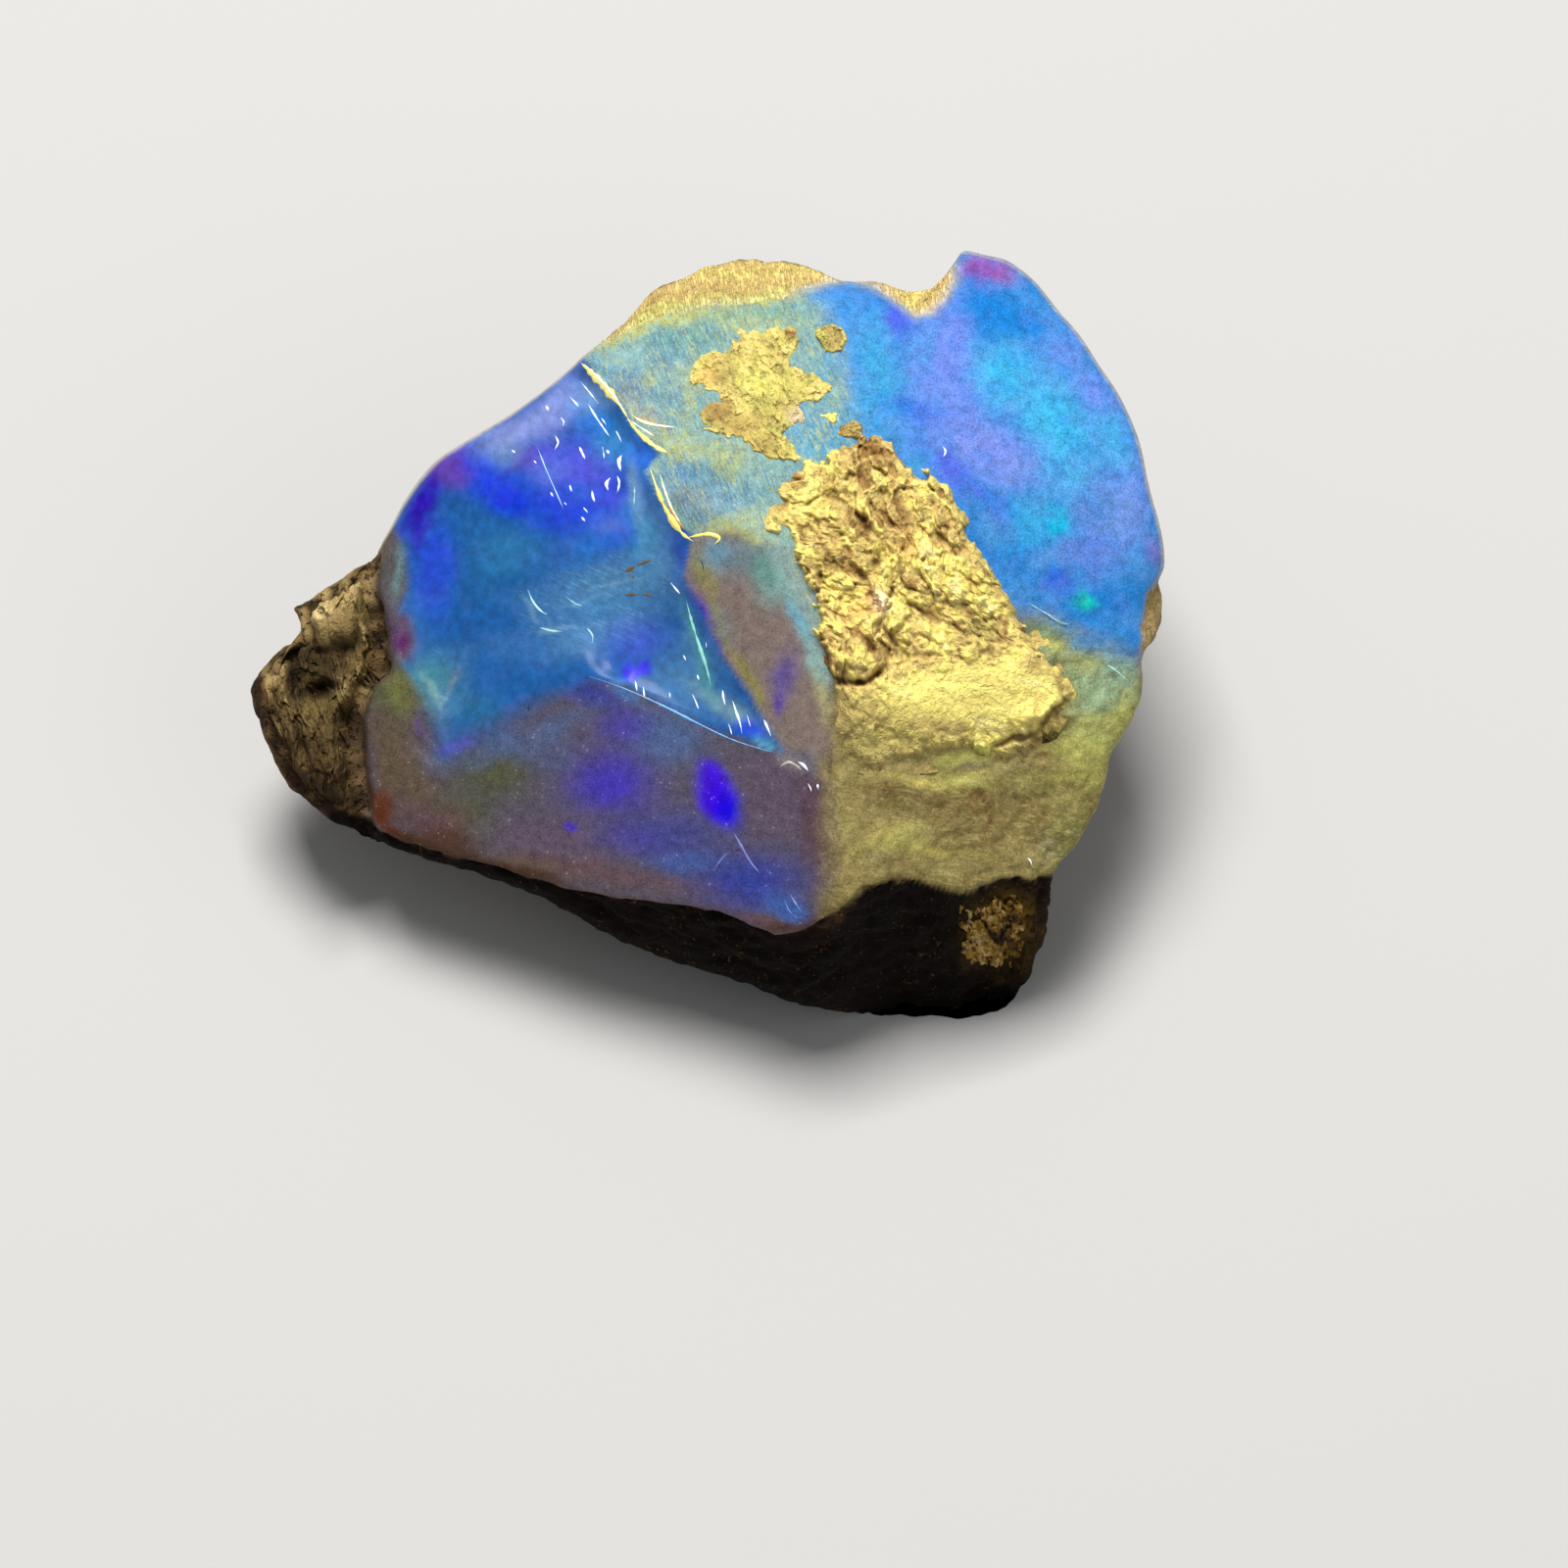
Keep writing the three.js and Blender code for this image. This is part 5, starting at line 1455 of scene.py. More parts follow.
@dataclass
class Nodule:
    """The stone itself: its opal front with the relief of the rock on its rim, sides and back.

    The two nets share their border, so that the whole is one closed skin. Crumbs stand in from the
    solid's surface along the normals.
    """

    shape: StoneShape
    painter: Painter
    cells: int = 220
    seam_start: float = 0.25
    seam_end: float = 1.1
    chip_size: float = 0.5
    chip_height: float = 0.55
    small_chip_size: float = 0.22
    small_chip_height: float = 0.35
    side_chip_size: float = 1.1
    side_chip_height: float = 0.7
    side_feel: Feel = Feel(rock=1.0, crumb=0.34, crevice_shade=0.6)
    rim_highlight_width: float = 0.1
    uv_half: float = 0.485

    def __post_init__(self) -> None:
        """Lays out both nets on the sheet, as one run of points."""
        self.net = Net(self.cells)
        front, to_edge = front_net(self.shape, self.net)
        back = back_net(self.shape, self.net)
        inner = ~self.net.on_border
        self.front_index = np.arange(self.net.ring.size).reshape(self.net.ring.shape)
        self.back_index = self.front_index.copy()
        self.back_index[inner] = self.net.ring.size + np.arange(inner.sum())
        self.points = np.concatenate((front.reshape(-1, 3), back[inner]))
        self.to_edge = np.concatenate((to_edge.ravel(), np.zeros(inner.sum())))
        flipped = self.net.quads(self.back_index)[:, ::-1]
        self.quads = np.concatenate((self.net.quads(self.front_index), flipped))
        levelled = self.shape.level(self.points)
        self.middle = (levelled.min(axis=0) + levelled.max(axis=0)) / 2 * (1, 1, 0)

    def place(self, points: Array) -> Array:
        """The points in metres in the row frame: levelled, and centred over the origin."""
        return (self.shape.level(points) - self.middle) * MM

    def coat(self) -> Coat:
        """The front's coat, which the sides take on down to a seam; below it all is host rock.

        Returns:
            The coat of every point.
        """
        across, up, height = self.points.T
        on_back = np.arange(len(self.points)) >= self.net.ring.size
        coat = self.painter.paint(across, up)
        # The upper part of the opal's rim is lightened to cream: partly its thin crust edge, partly a
        # painted highlight where the light catches it.
        rim = ramp(self.rim_highlight_width, 0.3 * self.rim_highlight_width, self.to_edge) * (1 - coat.part("rock"))
        coat.tint = mixed(coat.tint, Tone.RIM_CREAM_HIGHLIGHT.light, 0.75 * rim * ramp(-1.0, 1.0, up))
        below = self.shape.front(across, up) - height + 0.7 * lumps(1.3, across, up, height)
        seam = np.where(on_back, ramp(self.seam_start, self.seam_end, below), 0.0)
        patch = rough(2.2, across, up, height + 50.0)
        host = ladder((Tone.HOST_PALE, Tone.HOST, Tone.HOST, Tone.HOST_DARK), 0.5 + 1.3 * patch)
        # Painted shadow: under the wall the host rock darkens, to the wall's near black nearest the
        # front.
        wall = self.painter.cover("wall", across, up)
        host = mixed(host, Tone.HOST_DARK.light, wall)
        host = mixed(host, Tone.WALL.light, wall * ramp(4.5, 1.5, below))
        coat.lay(host, self.side_feel, seam)
        return coat

    def relieved(self, coat: Coat) -> tuple[Array, Array]:
        """The points with their crumbs, and how deep each lies between crumbs.

        Args:
            coat: The stone's coat.

        Returns:
            The points moved inwards along their normals, and the depth as a share of the crumb.
        """
        across, up, height = self.points.T
        bark = ramp(-8.0, -8.8, across)
        places = (across, up * (1 - 0.35 * bark), height)
        on_side = ramp(0.3, 2.0, self.shape.front(across, up) - height)
        relief = self.chip_height * chips(self.chip_size, places, 3.0)
        relief = relief + self.small_chip_height * chips(self.small_chip_size, places, 9.0)
        coarse = chips(self.side_chip_size, places, 17.0, 1.2)
        relief = relief + self.side_chip_height * coarse * on_side + 0.4 * lumps(1.1, *places)
        depth = np.clip(0.4 - relief, 0.0, 1.3)
        calm = ramp(0.0, 0.35, np.maximum(self.to_edge, on_side))
        moved = self.points - point_normals(self.points, self.quads) * (
            coat.part("crumb") * depth * (0.4 + 0.6 * calm)
        )[:, None]
        moved[:, 2] = np.maximum(moved[:, 2], self.shape.resting(moved[:, 1]))
        return moved, depth

    def corner_uv(self) -> Array:
        """The front net on the left half of the texture and the back net on the right half.

        Returns:
            A place on the texture for every corner of every face.
        """
        halves = []
        for n in range(2):
            u = (self.net.x * self.uv_half + 0.5 + n) / 2
            v = self.net.y * self.uv_half + 0.5
            flat = np.stack((u, v), axis=-1).reshape(-1, 2)
            corners = self.net.quads(self.front_index)
            halves.append(flat[corners[:, ::-1] if n else corners].reshape(-1, 2))
        return np.concatenate(halves)

    def build(self, material: Any) -> Any:
        """The finished piece.

        Args:
            material: The stone's material.

        Returns:
            The object.
        """
        coat = self.coat()
        points, depth = self.relieved(coat)
        # Painted shade: the rock darkens towards near black where it lies deep between its crumbs.
        dark = coat.part("rock") * coat.part("crevice_shade") * ramp(0.3, 0.8, depth)
        coat.tint = mixed(coat.tint, Tone.BARK_SHADOW.light, dark)
        # Painted highlight: the rock is lightened on the tops of its crumbs.
        pale = coat.part("rock") * ramp(0.22, 0.0, depth) * 0.35
        coat.tint = coat.tint * (1 + pale[:, None])
        piece = make_piece(
            "opal_body", self.place(points), self.quads.tolist(), coat.wear(), self.corner_uv(),
            material,
        )
        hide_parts(NODE)
        return piece


@dataclass
class CrumbPatch:
    """A patch of crumbly host rock on the opal: a closed cushion of broken flakes.

    Its top stands proud of the opal by its thickness and sinks into it past its border, so that
    whole flakes draw the ragged edge. Its mesh reaches over the border by its spread, as a hull
    without hollows, and lies hidden in the opal there.
    """

    name: str
    nodule: Nodule
    border: Points
    thickness: float
    palette: tuple[Tone, ...]
    plates: tuple[tuple[float, float], ...] = ((0.85, 0.16), (0.4, 0.17), (0.18, 0.09))
    shade_weights: tuple[float, float, float] = (0.25, 0.4, 0.35)
    cells: int = 300
    salt: float = 0.0
    spread: float = 0.12
    grain_turn: float = math.radians(-57.0)
    grain_stretch: float = 0.55
    lean: float = 1.3
    crack: float = 0.05
    wander: float = 0.3
    swell: float = 0.1
    shoulder: float = 0.22
    bury: float = 0.2
    keel: float = 0.15
    fine_stretch: float = 0.7
    under_rings: int = 5
    # The tone of the painted shade between the flakes, and of the painted shadow in the pits and deepest
    # hollows.
    shade: Tone = Tone.CRUST_SHADE
    hollow_shadow: Tone = Tone.CRUST_HOLLOW_SHADOW
    crevice_shade: float = 0.25
    pits: tuple[Swell, ...] = ()
    mounds: tuple[Swell, ...] = ()
    calm: tuple[Swell, ...] = ()
    fade: tuple[Swell, ...] = ()
    faded: Tone = Tone.OLIVE_DUSK
    spots: tuple[Spot, ...] = ()

    def outline(self, turn: Array) -> Array:
        """The mesh's border at each turn, counter-clockwise, on straight lines between corners.

        Args:
            turn: Shares of the way round.

        Returns:
            Across and up in a last axis of two.
        """
        knots = np.array(self.border)
        middle = knots.mean(axis=0)
        if self.spread:
            knots = knots[convex_hull_2d([tuple(knot) for knot in knots.tolist()])]
            away = knots - middle
            knots = knots + self.spread * away / np.hypot(*away.T)[:, None]
        knots = np.concatenate((knots, knots[:1]))
        if np.sum(knots[:-1, 0] * knots[1:, 1] - knots[1:, 0] * knots[:-1, 1]) < 0:
            knots = knots[::-1]
        steps = np.hypot(*np.diff(knots, axis=0).T)
        along = np.concatenate(([0.0], np.cumsum(steps))) / steps.sum()
        return np.stack([np.interp(np.mod(turn, 1.0), along, knots[:, n]) for n in (0, 1)], axis=-1)

    def calmness(self, across: Array, up: Array) -> Array:
        """Where the rock is smooth, from 0 to 1."""
        return np.clip(swells(self.calm, across, up), 0.0, 1.0)

    def fading(self, across: Array, up: Array) -> Array:
        """Where the rock thins out into the opal, from 0 to 1."""
        return np.clip(swells(self.fade, across, up), 0.0, 1.0)

    def bent(self, across: Array, up: Array) -> tuple[Array, Array]:
        """The places wandered a little, so that pits and mounds have no clean outline."""
        wander = 0.16 * rough(0.4, across, up, self.salt + 13.0, 2)
        return across + wander, up + 0.16 * rough(0.4, across, up, self.salt + 15.0, 2)

    def grained(self, across: Array, up: Array) -> tuple[Array, Array]:
        """The places along and over the grain of the rock, warped at two sizes.

        Args:
            across: The places' first coordinates.
            up: Their second ones.

        Returns:
            The way along the grain, and the way over it.
        """
        cos, sin = math.cos(self.grain_turn), math.sin(self.grain_turn)
        wide = 0.2 * lumps(0.6, across, up, self.salt + 3.0)
        fine = 0.07 * lumps(0.16, across, up, self.salt + 4.0)
        return cos * across + sin * up + wide + fine, cos * up - sin * across + wide - fine

    def top(self, across: Array, up: Array) -> tuple[Array, Array]:
        """The height of the flakes over the opal, and each place's own shade from 0 to 1.

        Args:
            across: The places' first coordinates.
            up: Their second ones.

        Returns:
            The heights and the shades.
        """
        along, over = self.grained(across, up)
        relief, shade, breaks = 0.0, 0.0, 0.0
        for n, (size, tall) in enumerate(self.plates):
            stretch = self.fine_stretch if n else self.grain_stretch
            lean = self.lean * (1 + 0.3 * n)
            flake, own, gap = flakes(size, (along * stretch, over), self.salt + 20 * n, lean)
            relief = relief + tall * flake - self.crack * ramp(0.14, 0.0, gap) * (own > 0.35)
            shade = shade + self.shade_weights[n] * own
            breaks = breaks + size * (own - 0.5) * (n > 0)
        relief = relief * (1 - 0.88 * self.calmness(across, up))
        waves = self.swell * rough(1.5, across, up, self.salt + 7.0)
        waves = waves + 0.04 * rough(0.12, across, up, self.salt + 9.0, 2)
        lift = self.thickness + relief + waves
        lift = lift + swells((*self.mounds, *self.pits), *self.bent(across, up))
        fading = self.fading(across, up)
        lift = lift * (1 - fading)
        floor = soft_max(lift, np.full_like(lift, 0.03), 0.08)
        stray = rough(0.8, across, up, self.salt, 2) + 0.4 * rough(0.2, across, up, self.salt, 2)
        ragged = inward(self.border, across, up) + self.wander * stray + 0.5 * breaks
        rise = ramp(0.0, 1.0, ragged / (self.shoulder + 0.5 * fading))
        return (floor + self.bury) * rise - self.bury, shade

    def tint(self, top: Array, height: Array, shade: Array, net: Net) -> Array:
        """Painted light and shade: lighter on the flakes, darker between them, by the height against the
        mean height around.

        Args:
            top: The patch's top points.
            height: Their heights over the opal.
            shade: Each place's own shade.
            net: The net they are on.

        Returns:
            A colour for each point.
        """
        across, up = top[:, 0], top[:, 1]
        along, over = self.grained(across, up)
        calm = self.calmness(across, up)
        streaks = rough(0.25, along * 0.4, over, self.salt + 31.0) + rough(0.9, across, up, self.salt)
        drawn = rough(0.35, up + 0.15 * across, across * 0.3, self.salt + 37.0, 4)
        level = 0.5 + 0.8 * (shade - 0.5) + 0.45 * streaks
        level = level * (1 - calm) + (0.66 + 1.0 * drawn) * calm
        tint = ladder(self.palette, np.clip(level, 0.0, 1.0))
        tint = spotted(tint, self.spots, across + 0.12 * streaks, up + 0.12 * streaks)
        tall = sum(tall for _, tall in self.plates)
        near = (net.blurred(height, 5) - height) / tall
        wide = (net.blurred(height, 60) - height) / tall
        # Painted shade in the hollows between the flakes, near and wide.
        tint = mixed(tint, self.shade.light, 0.85 * ramp(0.02, 0.22, near))
        tint = mixed(tint, self.shade.light, 0.75 * ramp(0.08, 0.5, wide))
        # Painted shadow in the pits and the deepest hollows.
        pits = np.clip(-3.5 * swells(self.pits, *self.bent(across, up)), 0.0, 1.0)
        tint = mixed(tint, self.hollow_shadow.light, 0.75 * np.maximum(pits, ramp(0.4, 1.0, wide)))
        # Painted highlight on the flakes that stand above their neighbours.
        tint = tint * (1 + 0.3 * ramp(0.0, -0.15, near))[:, None]
        fading = self.fading(across, up) + 0.3 * streaks
        near_edge = ramp(1.0, 0.1, inward(self.border, across, up) + 0.3 * streaks)
        faded = np.maximum(0.7 * ramp(0.5, 1.1, fading), 0.9 * near_edge * ramp(0.2, 0.6, fading))
        return mixed(tint, self.faded.light, faded)

    def build(self, material: Any) -> Any:
        """The finished patch.

        Args:
            material: The rock's material.

        Returns:
            The object.
        """
        net = Net(self.cells)
        middle = np.mean(np.array(self.border), axis=0)
        spot = middle + (self.outline(net.turn) - middle) * net.ring[..., None]
        across, up = spot[..., 0], spot[..., 1]
        height, shade = self.top(across, up)
        height = net.blurred(height, 1).reshape(net.ring.shape)
        height = np.where(net.on_border, -self.bury, height)
        ground = self.nodule.shape.rolled(across, up)
        top = np.stack((across, up, ground + height), axis=-1).reshape(-1, 3)
        border = net.border()
        rings = [border]
        under = []
        for n in range(1, self.under_rings + 1):
            share = 1 - n / (self.under_rings + 1)
            ring = middle + (top[border, :2] - middle) * share
            low = self.nodule.shape.rolled(ring[:, 0], ring[:, 1]) - self.bury - self.keel
            rings.append(len(top) + len(border) * (n - 1) + np.arange(len(border)))
            under.append(np.column_stack((ring, low)))
        hub_height = self.nodule.shape.front(middle[:1], middle[1:]) - self.bury - self.keel
        hub = len(top) + len(border) * self.under_rings
        points = np.concatenate((top, *under, np.array([[*middle, hub_height[0]]])))
        points[:, 2] = np.maximum(points[:, 2], self.nodule.shape.resting(points[:, 1]) + 0.05)
        quads = [net.quads(np.arange(net.ring.size).reshape(net.ring.shape))]
        for outer, inner in zip(rings, rings[1:]):
            quads.append(np.column_stack((np.roll(outer, -1), outer, inner, np.roll(inner, -1))))
        fan = np.column_stack((np.roll(rings[-1], -1), rings[-1], np.full(len(border), hub)))
        faces = [*np.concatenate(quads).tolist(), *fan.tolist()]
        flat = (points[:, :2] - points[:, :2].min(axis=0)) / np.ptp(points[:, :2], axis=0)
        corners = np.concatenate([*(q.ravel() for q in quads), fan.ravel()])
        uv = flat[corners] * (0.48, 0.96) + (0.01, 0.02)
        uv[:, 0] += 0.5 * (np.arange(len(corners)) >= quads[0].size)
        tint = self.tint(top, height.ravel(), shade.ravel(), net)
        rest = np.broadcast_to(self.shade.light, (len(points) - len(top), 3))
        # The share of painted shade between the grains, none where the rock is smooth.
        crevice_shade = np.full(len(points), self.crevice_shade)
        crevice_shade[: len(top)] *= 1 - self.calmness(top[:, 0], top[:, 1])
        wear = {"tint": np.concatenate((tint, rest)), "crevice_shade": crevice_shade}
        return make_piece(
            self.name, self.nodule.place(points), faces, wear, uv, material
        )


def tube_faces(sections: int, sides: int) -> Array:
    """The faces of a closed tube with a tip at each end, counted from the first tip as nought.

    Args:
        sections: How many rings of points it has.
        sides: How many points each ring has.

    Returns:
        Four numbers each; a triangle at a tip names the tip twice.
    """
    ring = np.arange(sides)
    after = (ring + 1) % sides
    first = np.zeros(sides, int)
    last = 1 + (sections - 1) * sides
    tip = np.full(sides, 1 + sections * sides)
    bands = [np.column_stack((first, first, 1 + after, 1 + ring))]
    for n in range(sections - 1):
        low, high = 1 + n * sides, 1 + (n + 1) * sides
        bands.append(np.column_stack((low + ring, low + after, high + after, high + ring)))
    bands.append(np.column_stack((last + ring, last + after, tip, tip)))
    return np.concatenate(bands)


@dataclass(frozen=True)
class Ribbon:
    """A thin raised line on the opal: its tone, half width and height, and points on the sheet."""

    tone: Tone
    half_width: float
    height: float
    points: Points

    def line(self, steps: Array) -> Array:
        """The places at shares of the way along the smooth curve through the points.

        Args:
            steps: Shares of the way.

        Returns:
            Across and up, one row each.
        """
        knots = np.array(self.points)
        knots = np.concatenate((2 * knots[:1] - knots[1:2], knots, 2 * knots[-1:] - knots[-2:-1]))
        place = steps * (len(self.points) - 1)
        index = np.minimum(np.floor(place).astype(int), len(self.points) - 2)
        return cubic(*(knots[index + n] for n in range(4)), (place - index)[:, None])


def ribbons(*groups: tuple) -> tuple[Ribbon, ...]:
    """Ribbons from groups of one tone each.

    Args:
        groups: A tone, then a row for each ribbon: its half width, its height and its points.

    Returns:
        The ribbons, in order.
    """
    return tuple(
        Ribbon(tone, half_width, height, points)
        for tone, *rows in groups for half_width, height, *points in rows
    )


@dataclass
class Ribbons:
    """Thin raised lines: bright lips and arrises, and the needle-like steps of the break; the white
    lines, the arris line and the needles' white are painted highlights.
    """

    name: str
    nodule: Nodule
    rows: Sequence[Ribbon]
    sections: int = 40
    depth: float = 0.08
    unevenness: float = 0.55

    def build(self, material: Any) -> Any:
        """All lines in one piece.

        A line's half width and height follow a sine along its length. Its two long edges lie on
        the opal, its crest over it, and its keel below.

        Args:
            material: The edges' material.

        Returns:
            The object.
        """
        steps = np.linspace(0.0, 1.0, self.sections + 2)
        bulge = np.sin(math.pi * steps[1:-1])
        sides = np.array([[1.0, 0.0], [0.55, 1.0], [-0.55, 1.0], [-1.0, 0.0], [0.0, -1.0]])
        numbers = tube_faces(self.sections, len(sides))
        points, faces, tints = [], [], []
        for n, row in enumerate(self.rows):
            line = row.line(steps)
            way = np.gradient(line, axis=0)[1:-1]
            side = np.column_stack((-way[:, 1], way[:, 0])) / np.hypot(*way.T)[:, None]
            inner = line[1:-1]
            uneven = lumps(0.3, *inner.T, n) + lumps(0.1, *inner.T, n)
            wide = bulge * np.maximum(1 + 2 * self.unevenness * uneven, 0.15)
            offset = side[:, None, :] * (row.half_width * wide[:, None] * sides[:, 0])[..., None]
            lift = np.where(sides[:, 1] > 0, row.height, self.depth) * sides[:, 1] * wide[:, None]
            spot = np.concatenate((line[:1], (inner[:, None, :] + offset).reshape(-1, 2), line[-1:]))
            lift = np.concatenate(([0.0], lift.ravel(), [0.0]))
            ground = self.nodule.shape.front(spot[:, 0], spot[:, 1])
            faces.append(numbers + n * len(spot))
            points.append(np.column_stack((spot, ground + lift)))
            tints.append(np.broadcast_to(row.tone.light, (len(spot), 3)))
        stacked, corners = np.concatenate(points), np.concatenate(faces)
        thin = [list(dict.fromkeys(face)) for face in corners.tolist()]
        flat = (stacked[:, :2] - stacked[:, :2].min(axis=0)) / np.ptp(stacked[:, :2], axis=0)
        order = np.concatenate([np.array(face) for face in thin])
        return make_piece(
            self.name, self.nodule.place(stacked), thin, {"tint": np.concatenate(tints)},
            flat[order], material,
        )


# Finishes


class Value:
    """A socket of one number, on which the usual signs add Math nodes."""

    def __init__(self, shader: "Shader", socket: Any) -> None:
        """Keeps the socket and the shader it belongs to."""
        self.shader, self.socket = shader, socket

    def _math(self, operation: str, first: Any, second: Any) -> "Value":
        """A Math node with the two values on it."""
        node = self.shader.node("ShaderNodeMath", {"operation": operation}, {0: first, 1: second})
        return Value(self.shader, node.outputs[0])

    def __add__(self, other: Any) -> "Value":
        """This plus another."""
        return self._math("ADD", self, other)

    def __radd__(self, other: Any) -> "Value":
        """Another plus this."""
        return self._math("ADD", other, self)

    def __sub__(self, other: Any) -> "Value":
        """This less another."""
        return self._math("SUBTRACT", self, other)

    def __rsub__(self, other: Any) -> "Value":
        """Another less this."""
        return self._math("SUBTRACT", other, self)

    def __mul__(self, other: Any) -> "Value":
        """This times another."""
        return self._math("MULTIPLY", self, other)

    def __rmul__(self, other: Any) -> "Value":
        """Another times this."""
        return self._math("MULTIPLY", other, self)


class Shader:
    """A material's nodes, each made by one method."""

    def __init__(self, name: str, tilt: float = 0.0) -> None:
        """Starts a material with no nodes.

        Args:
            name: The material's name.
            tilt: How far the sheet is tipped back, for textures that lie along it.
        """
        self.material = bpy.data.materials.new(name)
        self.material.use_nodes = True
        self.tilt = tilt
        self.tree = self.material.node_tree
        self.tree.nodes.clear()
        self.place = self.node("ShaderNodeTexCoord", {}, {}).outputs["Object"]

    def node(self, kind: str, settings: dict[str, Any], sockets: dict[Any, Any]) -> Any:
        """Adds a node.

        Args:
            kind: The node's type.
            settings: Its settings, which are set first.
            sockets: A value or a link for each named or numbered socket.

        Returns:
            The node.
        """
        node = self.tree.nodes.new(kind)
        for key, value in settings.items():
            setattr(node, key, value)
        for key, value in sockets.items():
            value = value.socket if isinstance(value, Value) else value
            if isinstance(value, bpy.types.NodeSocket):
                self.tree.links.new(value, node.inputs[key])
            else:
                node.inputs[key].default_value = value
        return node

    def colour(self, name: str) -> Any:
        """A colour that the mesh carries."""
        return self.node("ShaderNodeAttribute", {"attribute_name": name}, {}).outputs["Color"]

    def part(self, name: str) -> Value:
        """A number that the mesh carries."""
        return Value(self, self.node("ShaderNodeAttribute", {"attribute_name": name}, {}).outputs["Fac"])

    def noise(self, size: float, detail: float = 2.0) -> Value:
        """Noise from 0 to 1 whose lumps are about that many millimetres."""
        sockets = {"Vector": self.place, "Scale": 1 / (size * MM), "Detail": detail}
        return Value(self, self.node("ShaderNodeTexNoise", {}, sockets).outputs["Fac"])

    def streaks(self, width: float, length: float, turn: float, bend: float = 0.6) -> Value:
        """Noise drawn out along the sheet.

        Args:
            width: About one streak's width in millimetres.
            length: Its length.
            turn: How far its long side leans to the left, in degrees from upright.
            bend: How much the streaks wander.

        Returns:
            Values from 0 to 1.
        """
        kind, settings = "ShaderNodeMapping", {"vector_type": "TEXTURE"}
        sockets = {"Vector": self.place, "Rotation": (self.tilt, 0.0, 0.0)}
        laid = self.node(kind, settings, sockets).outputs[0]
        size = (width * MM, length * MM, length * MM)
        sockets = {"Vector": laid, "Rotation": (0.0, 0.0, math.radians(turn)), "Scale": size}
        drawn = self.node(kind, settings, sockets).outputs[0]
        sockets = {"Vector": drawn, "Scale": 1.0, "Detail": 2.0, "Distortion": bend}
        return Value(self, self.node("ShaderNodeTexNoise", {}, sockets).outputs["Fac"])

    def flecks(self, size: float) -> Value:
        """The distance to the nearest of scattered dots that are about that far apart."""
        sockets = {"Vector": self.place, "Scale": 1 / (size * MM)}
        return Value(self, self.node("ShaderNodeTexVoronoi", {}, sockets).outputs["Distance"])

    def ramp(self, start: float, end: float, value: Value) -> Value:
        """A smooth S from 0 at the start to 1 at the end.

        Args:
            start: The value that gives 0.
            end: The value that gives 1.
            value: The value.

        Returns:
            The S.
        """
        settings = {"interpolation_type": "SMOOTHSTEP"}
        low, high, from_value, to_value = (start, end, 0.0, 1.0)
        if start > end:
            low, high, from_value, to_value = (end, start, 1.0, 0.0)
        sockets = {
            "Value": value, "From Min": low, "From Max": high, "To Min": from_value,
            "To Max": to_value,
        }
        return Value(self, self.node("ShaderNodeMapRange", settings, sockets).outputs["Result"])

    def mix(self, share: Any, first: Any, second: Any) -> Any:
        """From the first colour to the second by the share."""
        settings = {"data_type": "RGBA"}
        return self.node("ShaderNodeMix", settings, {0: share, 6: first, 7: second}).outputs[2]

    def scaled(self, colour: Any, times: Any) -> Any:
        """A colour times a number."""
        settings = {"operation": "SCALE"}
        return self.node("ShaderNodeVectorMath", settings, {0: colour, "Scale": times}).outputs[0]

    def bump(self, height: Any, depth: float) -> Any:
        """A normal from a height of 0 to 1 that stands for that many millimetres."""
        return self.node("ShaderNodeBump", {}, {"Height": height, "Distance": depth * MM}).outputs[0]

    def finish(self, surface: Any) -> Any:
        """Puts the surface on the output and returns the material."""
        self.node("ShaderNodeOutputMaterial", {}, {"Surface": surface})
        return self.material


def rgba(tone: Tone) -> tuple[float, float, float, float]:
    """A tone as a socket takes it."""
    return (*(float(part) for part in tone.light), 1.0)


@dataclass(frozen=True)
class Rock:
    """Dull host rock: sandy grains with painted shade in the gaps and brown specks over the mesh's own
    colour.
    """

    sand: float = 0.06
    grain: float = 0.16
    blotch: float = 0.5
    bump: float = 0.07
    roughness: float = 0.92

    def surface(self, shader: Shader) -> Any:
        """The rock's shader, for a material of its own or under the opal's.

        Args:
            shader: The material's nodes.

        Returns:
            The surface's socket.
        """
        crevice_shade = shader.part("crevice_shade")
        sand = shader.noise(self.sand, 3.0)
        gap = shader.ramp(0.44, 0.34, shader.noise(self.grain, 4.0))
        blotch = shader.noise(self.blotch, 3.0)
        colour = shader.scaled(shader.colour("tint"), 0.45 + 0.8 * sand + 0.3 * blotch)
        specks = shader.ramp(0.6, 0.7, shader.noise(0.1)) * shader.ramp(0.45, 0.6, blotch)
        colour = shader.mix(0.4 * specks, colour, rgba(Tone.CRUST_SHADE))
        # Painted shade: the gaps between the grains darken by the crevice share, which also deepens
        # their bump.
        colour = shader.mix(0.85 * gap * crevice_shade, colour, rgba(Tone.BARK_SHADOW))
        thread = shader.ramp(0.44, 0.62, shader.streaks(0.06, 0.45, 8.0, 1.0))
        drawn = shader.part("strokes") * thread
        colour = shader.mix(0.5 * drawn, colour, rgba(Tone.BAND_SHADE))
        sockets = {
            "Base Color": colour, "Roughness": self.roughness, "Specular IOR Level": 0.1,
            "Normal": shader.bump(0.6 * sand - (0.3 + 0.5 * crevice_shade) * gap - 0.5 * drawn, self.bump),
        }
        return shader.node("ShaderNodeBsdfPrincipled", {}, sockets).outputs[0]

    def make(self) -> Any:
        """The material of the separate crumb patches."""
        shader = Shader("host rock", StoneShape.tilt)
        return shader.finish(self.surface(shader))


